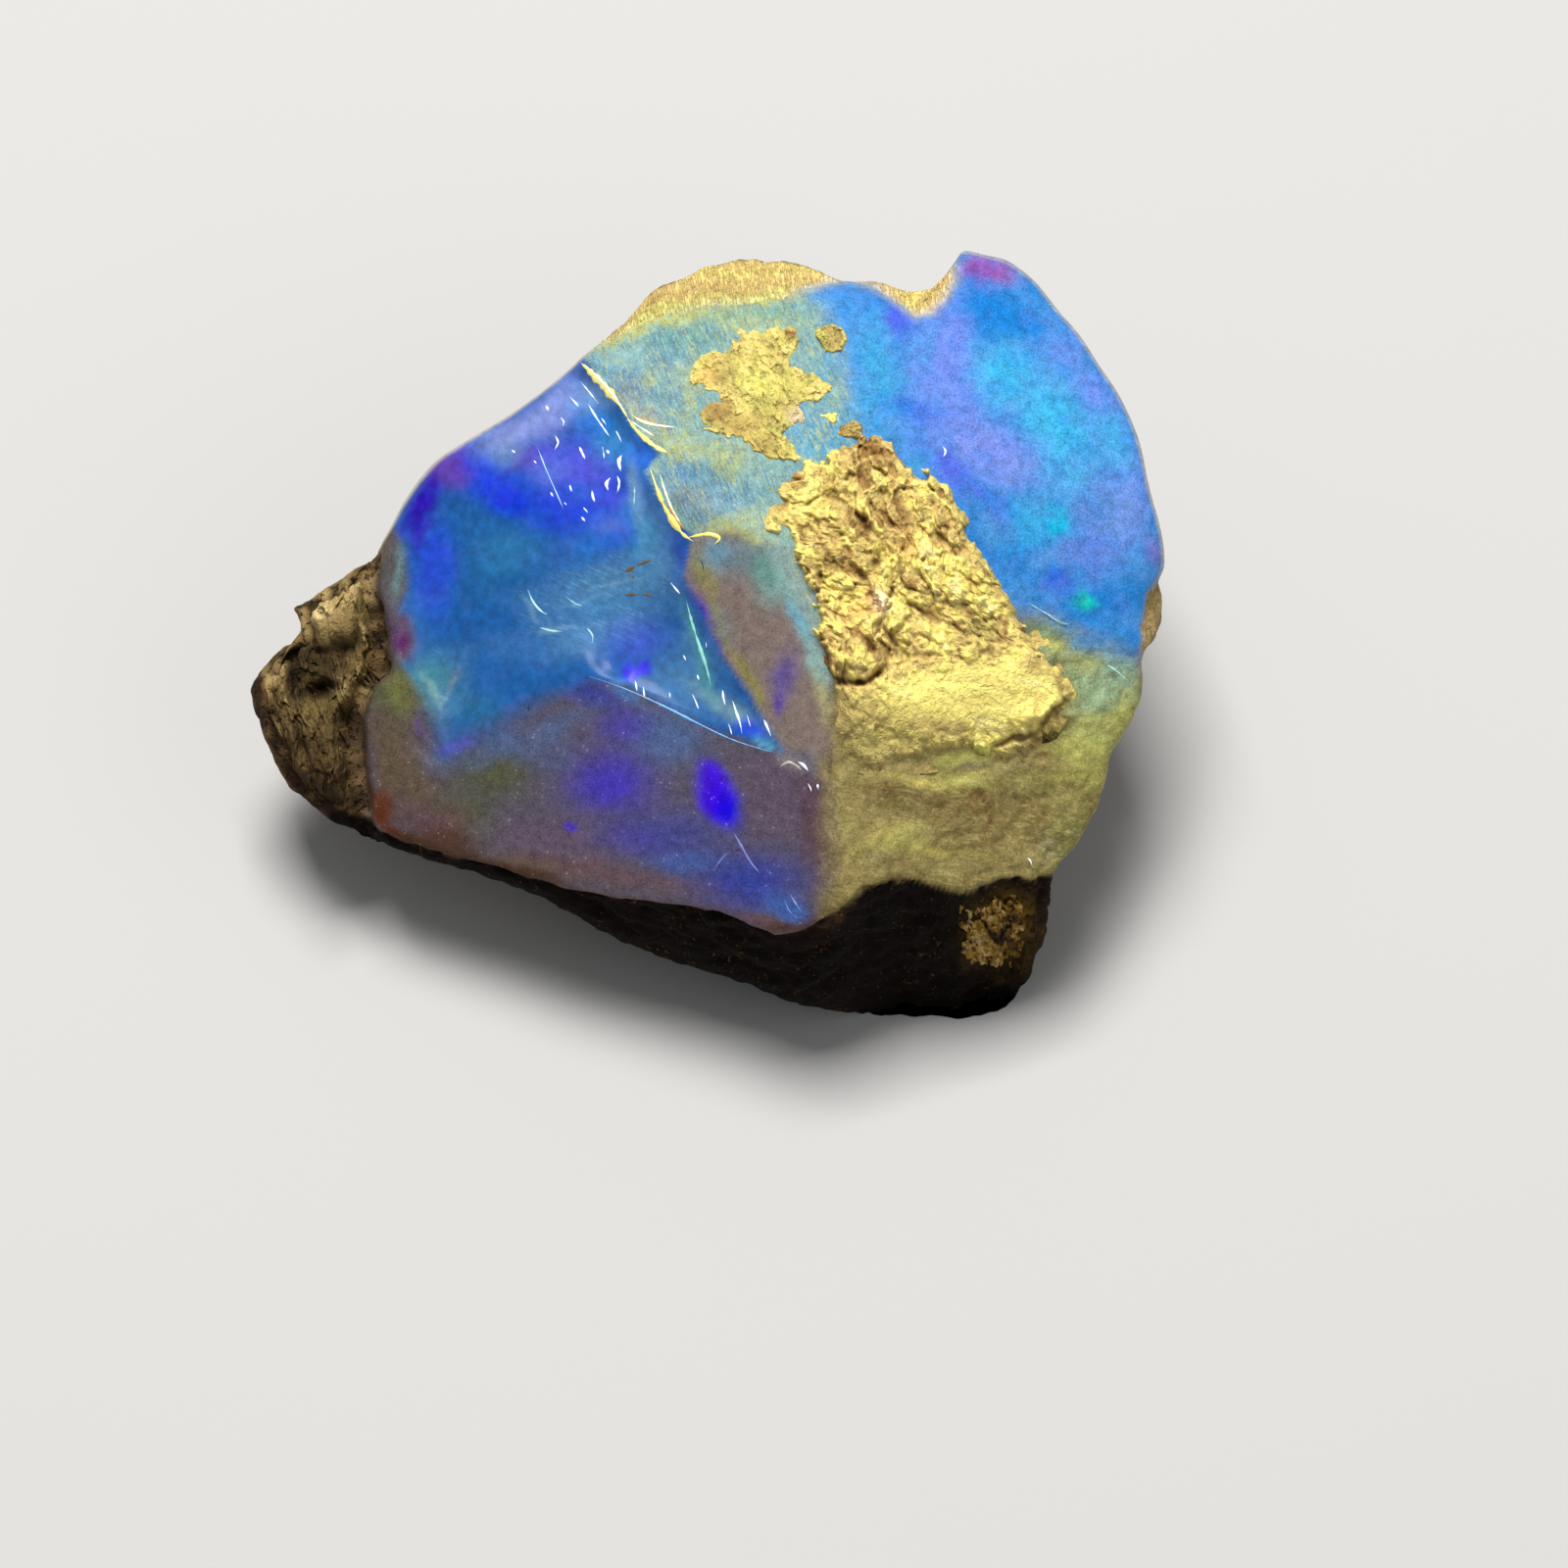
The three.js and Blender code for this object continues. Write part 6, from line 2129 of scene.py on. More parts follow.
@dataclass(frozen=True)
class Opal:
    """Precious opal: frosted where it broke unevenly, glassy in the scoop, with a painted glow of its
    own colour.
    """

    tilt: float
    frost: float = 0.05
    mottle: float = 0.24
    cloud: float = 0.6
    bump: float = 0.006
    base: float = 0.42
    glow: float = 0.62
    frosted: float = 0.62
    glassy: float = 0.34

    def tinted(self, shader: Shader, frost: Value, gloss: Value) -> Any:
        """The mesh's colour with its play of colour, strokes, fibres, mottling and dots.

        Args:
            shader: The material's nodes.
            frost: The finest noise.
            gloss: How glassy the place is.

        Returns:
            The colour's socket.
        """
        names = ("fire", "dots", "strokes", "fibres", "wisps")
        fire, dots, strokes, fibres, wisps = (shader.part(name) for name in names)
        mottle, cloud = shader.noise(self.mottle, 3.0), shader.noise(self.cloud)
        colour = shader.colour("tint")
        layers = (
            (0.16 * fire, 0.5, 0.6, cloud, Tone.PERIWINKLE),
            (0.25 * fire, 0.5, 0.6, shader.noise(self.cloud * 0.7), Tone.AZURE),
            (0.75 * strokes, 0.5, 0.64, shader.streaks(0.05, 0.3, 22.0, 1.2), Tone.PALE_TEAL),
            (0.5 * strokes, 0.53, 0.66, shader.streaks(0.12, 0.5, 30.0, 1.5), Tone.YELLOW_GREEN),
            (0.4 * strokes, 0.54, 0.68, shader.streaks(0.05, 0.35, 20.0), Tone.SHADOW_BLUE),
            (0.6 * fibres, 0.52, 0.66, shader.streaks(0.2, 0.8, 80.0, 2.4), Tone.STRAW_PALE),
            (0.5 * fibres, 0.5, 0.62, shader.streaks(0.3, 0.6, 100.0, 2.0), Tone.OLIVE_SHADE),
            (0.3 * fibres, 0.5, 0.62, shader.noise(0.12, 4.0), Tone.OLIVE_LIT),
            (0.6 * wisps, 0.54, 0.7, shader.streaks(0.05, 0.5, 66.0, 1.6), Tone.WISP),
        )
        for share, start, end, pattern, tone in layers:
            colour = shader.mix(share * shader.ramp(start, end, pattern), colour, rgba(tone))
        depth = (1.0 - 0.7 * gloss) * (frost - 0.5) * 1.5 + 0.9 * (mottle - 0.5)
        colour = shader.scaled(colour, self.base * (1.0 + depth))
        dot = shader.ramp(0.22, 0.1, shader.flecks(0.15)) * shader.ramp(0.5, 0.66, mottle)
        colour = shader.mix(0.3 * dots * dot, colour, rgba(Tone.PALE_CHIP))
        pit = shader.ramp(0.2, 0.08, shader.flecks(0.27)) * shader.ramp(0.54, 0.62, cloud)
        return shader.mix(0.5 * dots * pit, colour, rgba(Tone.BLACK_FLECK))

    def make(self, rock: Rock) -> Any:
        """The stone's material, with the rock over it by the mesh's own share.

        Args:
            rock: The rock.

        Returns:
            The material.
        """
        shader = Shader("precious opal", self.tilt)
        gloss = shader.part("gloss")
        frost = shader.noise(self.frost)
        colour = self.tinted(shader, frost, gloss)
        sockets = {
            "Base Color": colour,
            "Roughness": self.frosted + (self.glassy - self.frosted) * gloss,
            "Specular IOR Level": 0.07, "Coat Weight": 0.05 * gloss, "Coat Roughness": 0.16,
            # Painted light: the opal emits its own colour, though it is no lamp.
            "Emission Color": colour, "Emission Strength": self.glow,
            "Normal": shader.bump(frost * (1.0 - 0.85 * gloss), self.bump),
        }
        opal = shader.node("ShaderNodeBsdfPrincipled", {}, sockets).outputs[0]
        ragged = shader.part("rock") + 0.6 * (shader.noise(0.14, 3.0) - 0.5)
        cover = shader.ramp(0.38, 0.62, ragged)
        sockets = {0: cover, 1: opal, 2: rock.surface(shader)}
        return shader.finish(shader.node("ShaderNodeMixShader", {}, sockets).outputs[0])


@dataclass(frozen=True)
class Glint:
    """Bright broken edges of the opal and painted glints: the mesh's own colour, a little uneven, with a
    painted glow.
    """

    speck: float = 0.09
    roughness: float = 0.3
    glow: float = 0.6

    def make(self) -> Any:
        """The material."""
        shader = Shader("bright edges and painted glints")
        colour = shader.scaled(shader.colour("tint"), 0.55 + 0.5 * shader.noise(self.speck))
        sockets = {
            "Base Color": colour, "Roughness": self.roughness,
            # Painted light: the edges emit their own colour, though they are no lamp.
            "Emission Color": colour, "Emission Strength": self.glow,
        }
        return shader.finish(shader.node("ShaderNodeBsdfPrincipled", {}, sockets).outputs[0])


@dataclass(frozen=True)
class Plain:
    """A dull finish with one colour all over."""

    name: str
    tone: Tone
    roughness: float

    def make(self) -> Any:
        """The material."""
        shader = Shader(self.name)
        sockets = {"Base Color": rgba(self.tone), "Roughness": self.roughness}
        return shader.finish(shader.node("ShaderNodeBsdfPrincipled", {}, sockets).outputs[0])


# The studio


@dataclass(frozen=True)
class Studio:
    """The camera square on to the stone's front, soft lights and a pale floor."""

    shape: StoneShape
    distance: float = 218.0
    lens: float = 200.0
    light_aim: tuple[float, float, float] = (0.0, 0.0, 0.006)
    sensor: float = 36.0
    aim: tuple[float, float] = (1.96, -3.68)
    floor_size: float = 3.0
    sky: tuple[float, float, float, float] = (0.9, 0.95, 1.0, 1.0)
    sky_strength: float = 0.25

    def add_camera(self, nodule: Nodule) -> None:
        """Looks straight at the sheet, over the point that the picture centres on.

        Args:
            nodule: The stone.
        """
        data = bpy.data.cameras.new("camera")
        data.lens, data.sensor_width = self.lens, self.sensor
        data.clip_start, data.clip_end = 0.01, 10.0
        camera = bpy.data.objects.new("camera", data)
        camera.location = nodule.place(np.array([*self.aim, self.distance]))
        camera.rotation_euler = (self.shape.tilt, 0.0, 0.0)
        bpy.context.scene.collection.objects.link(camera)
        bpy.context.scene.camera = camera

    def add_light(self, name: str, place: tuple, size: float, power: float) -> None:
        """Adds a square soft light, aimed at the stone.

        Args:
            name: The light's name.
            place: Where it stands in metres.
            size: Its side in metres.
            power: Its power in watts.
        """
        data = bpy.data.lights.new(name, "AREA")
        data.size, data.energy = size, power
        light = bpy.data.objects.new(name, data)
        light.location = place
        aim = Vector(self.light_aim) - Vector(place)
        light.rotation_euler = aim.to_track_quat("-Z", "Y").to_euler()
        bpy.context.scene.collection.objects.link(light)

    def add_floor(self) -> None:
        """A wide level square under the stone."""
        half = self.floor_size / 2
        corners = [(-half, -half, 0.0), (half, -half, 0.0), (half, half, 0.0), (-half, half, 0.0)]
        mesh = bpy.data.meshes.new("floor")
        mesh.from_pydata(corners, [], [(0, 1, 2, 3)])
        mesh.materials.append(Plain("pale floor", Tone.FLOOR, 0.9).make())
        floor = bpy.data.objects.new("floor", mesh)
        bpy.context.scene.collection.objects.link(floor)

    def build(self, nodule: Nodule) -> None:
        """The whole studio, seen with the plain view of colours.

        Args:
            nodule: The stone.
        """
        self.add_camera(nodule)
        self.add_light("key", (-0.02, 0.07, 0.28), 0.1, 1.25)
        self.add_light("fill", (0.25, -0.12, 0.22), 0.3, 0.2)
        self.add_floor()
        world = bpy.data.worlds.new("room")
        world.use_nodes = True
        sky = world.node_tree.nodes["Background"]
        sky.inputs["Color"].default_value = self.sky
        sky.inputs["Strength"].default_value = self.sky_strength
        bpy.context.scene.world = world
        bpy.context.scene.view_settings.view_transform = "Standard"


# The pieces' own data


LARGE_PATCH_BORDER = (
    (0.47, 2.82), (0.88, 3.06), (1.29, 3.3), (1.67, 3.54), (1.96, 3.83), (2.3, 4.02), (2.54, 4.31),
    (2.92, 4.45), (3.21, 4.6), (3.55, 4.55), (3.88, 4.74), (4.27, 4.84), (4.65, 4.74), (4.99, 4.45),
    (5.28, 4.12), (5.62, 4.02), (5.91, 3.78), (6.24, 3.35), (6.53, 2.91), (6.82, 2.38), (6.99, 1.9),
    (7.3, 1.32), (7.64, 0.84), (7.93, 0.46), (8.26, 0.12), (8.38, -0.26), (8.41, -0.6), (8.74, -0.99),
    (9.11, -1.42), (8.99, -1.8), (8.7, -2.19), (8.5, -2.72), (7.98, -3.01), (7.25, -3.05),
    (6.41, -3.01), (5.57, -3.15), (4.85, -3.34), (4.25, -3.49), (3.69, -3.25), (3.31, -2.86),
    (3.11, -2.28), (3.07, -1.71), (3.07, -1.23), (2.83, -0.79), (2.83, -0.19), (2.73, 0.41),
    (2.63, 0.99), (2.39, 1.49), (2.2, 2.05), (1.91, 2.38), (1.48, 2.43), (0.95, 2.53),
)
LARGE_PATCH_PITS = rises(
    (3.83, 2.73, 0.1, 0.43, -0.3, 42), (2.82, 1.39, 0.1, 0.31, -0.25, 25),
    (3.15, 1.67, 0.31, 0.14, -0.18), (4.18, 1.73, 0.1, 0.26, -0.22, -40),
    (5.75, 2.43, 0.07, 0.22, -0.2, 35), (3.16, 3.31, 0.07, 0.48, -0.15, 65),
    (5.27, 0.59, 0.06, 0.36, -0.2, 58), (4.28, 0.25, 0.1, 0.1, -0.2),
    (4.6, -0.13, 0.05, 0.29, -0.15, 45), (3.3, -1.1, 0.28, 0.08, -0.32, -28),
    (3.75, -1.2, 0.22, 0.08, -0.32, 5), (4.22, -1.02, 0.3, 0.08, -0.32, 32),
    (2.98, -0.6, 0.08, 0.3, -0.25, 12), (2.97, -0.81, 0.1, 0.22, -0.25, 35),
    (4.77, -0.46, 0.19, 0.38, -0.18, 62), (7.01, 1.42, 0.07, 0.38, -0.2, 38),
    (6.85, 0.17, 0.36, 0.31, -0.08), (2.8, 0.34, 0.14, 0.14, -0.12), (7.73, -2.55, 0.5, 0.09, -0.4, 20),
    (8.6, -1.95, 0.42, 0.1, -0.45, 49), (8.34, -2.9, 0.2, 0.09, -0.25, 0),
    (7.3, -2.7, 0.2, 0.07, -0.2, 10), (4.47, 3.39, 0.34, 0.19, -0.1), (5.43, 2.91, 0.22, 0.17, -0.14),
    (2.44, 2.42, 0.1, 0.34, -0.08, 20), (3.28, 2.42, 0.17, 0.24, -0.14, 10),
    (6.4, 2.08, 0.14, 0.24, -0.12, 20), (4.49, -3.44, 0.38, 0.14, -0.12, 15),
    (3.64, -2.96, 0.24, 0.19, -0.1),
)
LARGE_PATCH_MOUNDS = rises(
    (0.9, 2.8, 1.2, 0.6, -0.4), (3.5, -3.2, 0.9, 0.7, -0.3), (5.6, -3.5, 2.6, 1.0, -0.42),
    (3.1, -2.4, 0.4, 0.9, -0.3), (8.4, -2.95, 0.7, 0.5, -0.3), (3.59, -0.52, 0.72, 0.48, 0.3, -62),
    (5.07, 2.42, 0.24, 0.53, 0.12, 40), (5.8, 3.51, 0.29, 0.43, 0.1, 40),
    (7.63, -1.03, 0.96, 0.43, 0.12, 60), (4.36, 0.63, 0.38, 0.38, 0.08),
    (7.5, 0.89, 0.19, 0.48, 0.1, 35), (3.64, 3.99, 0.29, 0.24, 0.08),
)
LARGE_PATCH_CALM = rises((6.3, -1.65, 2.4, 0.85, 1.5, 8.0), (7.9, -0.7, 0.9, 0.5, 0.7, 45.0))
LARGE_PATCH_FADE = rises(
    (5.4, -3.45, 2.6, 0.6, 1.0), (3.2, -2.6, 0.45, 1.3, 1.0), (0.8, 2.75, 1.3, 0.4, 0.75, 20),
    (8.5, -2.9, 0.6, 0.4, 0.7), (6.5, 3.0, 0.5, 1.1, 0.45, 32), (7.7, 0.9, 0.5, 1.5, 0.5, 32),
    (8.9, -1.3, 0.4, 0.7, 0.4, 40),
)
LARGE_PATCH_SPOTS = spots(
    (Tone.CRUST_BROWN, (3.64, 1.85, 0.72, 0.34, 0.8), (4.37, 3.54, 0.6, 0.34, 0.4),
     (5.33, 2.94, 0.34, 0.24, 0.4), (3.4, 4.02, 0.3, 0.3, 0.5), (5.9, 0.9, 0.8, 0.4, 0.35)),
    (Tone.CRUST_OLIVE, (6.84, 0.17, 0.36, 0.31, 0.8)),
    (Tone.CRUST_ORANGE, (3.88, 0.65, 0.55, 0.4, 0.6), (5.1, 2.1, 0.5, 0.4, 0.4)),
    (Tone.CRUST_PINK, (4.37, 0.84, 0.2, 0.3, 0.8, 20)),
    (Tone.CRUST_BRIGHT, (2.5, 3.1, 0.8, 0.4, 0.6, 40), (6.9, -1.5, 2.0, 0.6, 0.6, 6)),
    (Tone.CRUST_OLIVE, (4.3, -2.3, 1.0, 0.65, 0.7, 10), (8.3, -2.75, 0.8, 0.3, 0.8, 20),
     (3.7, -2.0, 0.5, 0.7, 0.5)),
    (Tone.OLIVE_LIT, (5.2, -3.25, 2.6, 0.5, 0.85)),
    (Tone.CRUST_BRIGHT, (5.6, -1.3, 1.6, 0.4, 0.6, 12), (7.6, -1.7, 0.9, 0.4, 0.5, 20)),
    (Tone.CRUST_OLIVE, (5.4, -2.5, 1.4, 0.3, 0.6, 8)),
    (Tone.CRUST_SHADE, (4.0, -3.2, 0.7, 0.1, 0.8, -12), (3.4, -3.0, 0.1, 0.3, 0.6),
     (8.1, -2.6, 0.35, 0.12, 0.7, 10)),
    (Tone.CRUST_BROWN, (3.0, 1.9, 0.25, 0.6, 0.6, 20), (2.9, -0.2, 0.3, 0.4, 0.6)),
    (Tone.CRUST_GREEN, (6.77, -2.84, 0.5, 0.17, 0.7)),
    (Tone.OLIVE_PALE, (7.9, -2.95, 0.9, 0.16, 0.7, 8)),
    (Tone.CRUST_YELLOW, (6.8, 1.1, 0.35, 0.5, 0.6, 35)),
)
SMALL_PATCH_BORDER = (
    (-0.45, 6.23), (-0.4, 6.62), (-0.11, 6.91), (0.23, 7.1), (0.47, 7.0), (0.64, 7.27), (0.71, 7.58),
    (1.05, 7.72), (1.38, 7.53), (1.72, 7.68), (2.1, 7.63), (2.39, 7.48), (2.44, 7.1), (2.34, 6.71),
    (2.78, 6.57), (3.21, 6.33), (3.36, 6.09), (3.07, 5.85), (2.68, 5.7), (2.34, 5.56), (2.49, 5.27),
    (2.15, 5.08), (1.96, 4.89), (2.15, 4.55), (2.25, 4.26), (1.96, 4.07), (1.58, 4.16), (1.19, 4.4),
    (0.93, 4.69), (0.61, 4.84), (0.18, 4.93), (-0.16, 5.13), (-0.3, 5.46), (-0.16, 5.75), (0.23, 5.85),
    (-0.06, 5.99), (-0.3, 6.04),
)
SMALL_PATCH_PITS = rises(
    (0.4, 5.49, 0.34, 0.19, -0.08), (1.96, 6.78, 0.07, 0.34, -0.1, 60),
    (1.72, 6.12, 0.07, 0.38, -0.1, 55), (1.29, 5.2, 0.38, 0.12, -0.06, 60),
    (0.35, 6.3, 0.24, 0.29, -0.12), (1.24, 6.66, 0.07, 0.38, -0.08, 40),
    (1.96, 5.56, 0.07, 0.34, -0.1, 20), (0.64, 6.61, 0.14, 0.22, -0.12, 30),
)
SMALL_PATCH_SPOTS = spots(
    (Tone.CRUST_BROWN, (0.45, 5.5, 0.4, 0.26, 0.7), (1.2, 5.2, 0.3, 0.3, 0.5)),
    (Tone.CRUST_ORANGE, (0.1, 6.4, 0.3, 0.3, 0.5)),
    (Tone.CRUST_PINK, (2.3, 5.3, 0.3, 0.25, 0.6)),
    (Tone.CRUST_BROWN, (2.4, 5.4, 0.2, 0.2, 0.4), (0.05, 5.55, 0.45, 0.3, 0.8),
     (0.8, 5.05, 0.35, 0.25, 0.7), (1.4, 4.6, 0.4, 0.2, 0.6, -20)),
    (Tone.CRUST_GREEN, (1.5, 6.0, 0.6, 0.5, 0.3)),
    (Tone.CRUST_OLIVE, (0.6, 6.9, 0.4, 0.2, 0.5, 30), (1.0, 5.9, 0.6, 0.12, 0.6, -20),
     (1.9, 6.4, 0.1, 0.5, 0.5, 40), (1.9, 5.6, 0.4, 0.3, 0.4)),
    (Tone.CRUST_SHADE, (0.5, 5.75, 0.3, 0.06, 0.7, -10)),
)
BARK_BORDER = (
    (-8.45, 1.7), (-9.05, 1.25), (-9.75, 0.8), (-10.05, 0.58), (-9.95, 0.15), (-10.4, -0.38),
    (-11.1, -1.12), (-11.1, -1.7), (-10.72, -2.55), (-10.35, -3.36), (-9.95, -3.85), (-9.2, -4.35),
    (-8.8, -4.15), (-8.85, -3.1), (-8.92, -2.1), (-8.55, -1.2), (-8.2, -0.8), (-8.25, 0.1), (-8.5, 1.1),
)
WALL_PATCH_BORDER = (
    (8.0, -6.65), (8.0, -7.3), (7.85, -7.9), (7.5, -8.4), (7.1, -8.3), (6.6, -8.35), (6.25, -8.1),
    (6.35, -7.4), (6.55, -6.9), (7.0, -6.6), (7.6, -6.4),
)
# The darkest spots are painted shadow on the lower and left lobes and in the pits; the highlight spots
# are painted highlights near the top.
BARK_SPOTS = spots(
    (Tone.BARK_SHADOW, (-10.8, -2.9, 0.6, 1.7, 0.8, 24), (-9.3, -3.5, 1.0, 1.6, 0.8),
     (-9.4, -0.9, 1.0, 0.8, 0.7), (-9.6, -1.3, 0.6, 0.22, 0.9, 10), (-9.05, -0.3, 0.3, 0.3, 0.8),
     (-9.9, -0.45, 0.3, 0.3, 0.7)),
    (Tone.BARK_SHADE, (-10.9, -1.6, 0.4, 0.8, 0.6, 24)),
    (Tone.BARK_PALE, (-9.1, 1.0, 0.9, 0.4, 0.7, 40), (-10.8, -1.0, 0.2, 0.4, 0.6, -30)),
    (Tone.BARK_HIGHLIGHT, (-9.75, 0.55, 0.35, 0.3, 0.7), (-8.7, 1.5, 0.4, 0.3, 0.5, 30)),
    (Tone.BARK_OLIVE, (-9.3, -2.9, 0.3, 0.5, 0.5)),
    (Tone.BARK_SHADOW, (-10.25, -1.0, 0.16, 0.8, 0.9, 4), (-10.05, -2.8, 0.12, 0.9, 0.85, 12),
     (-9.3, -4.3, 0.9, 0.25, 0.8, 10)),
    (Tone.BARK_SHADE, (-9.6, -3.0, 0.9, 0.9, 0.6)),
    (Tone.BARK_PALE, (-9.3, 0.4, 0.5, 0.6, 0.3), (-8.9, -1.4, 0.35, 0.4, 0.6)),
    (Tone.BARK, (-10.2, -3.1, 0.35, 0.35, 0.5)),
)
# The white lines on the lip, the arris line and the hackles are painted highlights.
EDGES = ribbons(
    (Tone.LIP,
     (0.108, 0.035, (-3.06, 6.72), (-2.77, 6.42), (-2.42, 6.05), (-2.08, 5.63), (-1.81, 5.19)),
     (0.072, 0.03, (-1.89, 5.29), (-1.59, 4.92), (-1.21, 4.6), (-0.89, 4.43))),
    (Tone.LIP_HIGHLIGHT, (0.032, 0.054, (-2.96, 6.67), (-2.62, 6.32), (-2.25, 5.9), (-1.94, 5.46)),
     (0.034, 0.036, (-1.86, 5.48), (-1.6, 5.26), (-1.21, 5.13), (-0.68, 5.06)),
     (0.026, 0.03, (-1.89, 5.29), (-1.52, 5.04), (-1.21, 4.84))),
    (Tone.LIP_RUST, (0.029, 0.03, (-1.74, 5.36), (-1.28, 5.18), (-0.87, 5.01))),
    (Tone.LIP, (0.063, 0.035, (-1.33, 4.07), (-1.16, 3.58), (-0.99, 3.15), (-0.75, 2.74), (-0.51, 2.43),
     (-0.24, 2.24))),
    (Tone.LIP_HIGHLIGHT, (0.026, 0.048, (-1.08, 3.94), (-0.96, 3.51), (-0.77, 3.03), (-0.53, 2.62))),
    (Tone.LIP, (0.045, 0.03, (-0.44, 2.34), (-0.15, 2.4), (0.14, 2.43), (0.38, 2.33), (0.24, 2.16))),
    (Tone.LIP_RUST, (0.029, 0.03, (-0.91, 3.22), (-0.68, 2.79), (-0.44, 2.53))),
    (Tone.MINT_PALE,
     (0.036, 0.021, (-0.44, 0.83), (-0.3, 0.28), (-0.11, -0.32), (0.06, -0.84), (0.16, -1.27))),
    (Tone.HACKLE_GLINT, (0.026, 0.032, (-0.83, 1.27), (-0.71, 1.12), (-0.59, 0.98))),
    (Tone.ARRIS_HIGHLIGHT, (0.023, 0.018, (-2.92, -1.0), (-2.34, -1.19), (-1.66, -1.46), (-0.93, -1.8),
     (-0.16, -2.19), (0.64, -2.57), (1.36, -2.81), (1.77, -2.91))),
    (Tone.PALE_TEAL, (0.019, 0.016, (-4.39, 1.15), (-4.27, 0.86), (-4.08, 0.62), (-3.88, 0.5)),
     (0.03, 0.016, (-4.08, 0.19), (-3.79, 0.11), (-3.5, 0.09)),
     (0.019, 0.016, (-2.91, 0.18), (-2.77, -0.01), (-2.77, -0.21)),
     (0.018, 0.016, (-3.44, 0.95), (-3.2, 0.78), (-3.01, 0.71))),
    (Tone.RUST_FLECK, (0.038, 0.016, (-1.98, 1.54), (-1.81, 1.61), (-1.69, 1.68)),
     (0.024, 0.016, (-1.69, 1.68), (-1.47, 1.77), (-1.26, 1.82)),
     (0.022, 0.016, (-2.03, 0.96), (-1.77, 0.99), (-1.6, 0.96)),
     (0.026, 0.016, (-1.55, 0.96), (-1.41, 0.98), (-1.26, 0.93)),
     (0.019, 0.016, (-1.77, 1.51), (-1.74, 1.37))),
    (Tone.FACET_SCRATCH, (0.026, 0.016, (0.7, -4.84), (0.92, -5.23), (1.14, -5.61), (1.38, -5.9)),
     (0.019, 0.016, (0.63, -5.32), (0.41, -5.54), (0.22, -5.81)),
     (0.019, 0.016, (2.1, -6.38), (2.25, -6.63), (2.39, -6.82)),
     (0.019, 0.016, (1.96, -6.53), (2.1, -6.82), (2.32, -7.01))),
    (Tone.PALE_CHIP, (0.053, 0.04, (1.86, -3.25), (2.06, -3.15), (2.25, -3.22), (2.39, -3.34))),
    (Tone.HACKLE_GLINT, (0.029, 0.04, (2.3, -3.13), (2.44, -3.22), (2.56, -3.37)),
     (0.024, 0.032, (2.54, -3.66), (2.61, -3.78), (2.63, -3.87)),
     (0.024, 0.032, (2.78, -3.68), (2.8, -3.82))),
    (Tone.BLACK_FLECK, (0.022, 0.016, (-0.08, 1.83), (-0.03, 1.67), (-0.01, 1.52)),
     (0.014, 0.016, (-4.46, -1.69), (-4.37, -1.79), (-4.34, -1.93))),
    (Tone.HACKLE_GLINT, (0.017, 0.016, (5.85, 4.61), (5.92, 4.48), (5.87, 4.34))),
    (Tone.PALE_TEAL, (0.018, 0.024, (7.98, 0.78), (8.38, 0.54), (8.72, 0.42)),
     (0.014, 0.016, (8.28, 0.61), (8.72, 0.33), (9.01, 0.26)),
     (0.027, 0.024, (9.95, -0.73), (10.2, -0.89), (10.45, -1.11))),
    (Tone.HACKLE_GLINT, (0.014, 0.014, (7.98, -5.5), (8.06, -5.58), (8.1, -5.7))),
)
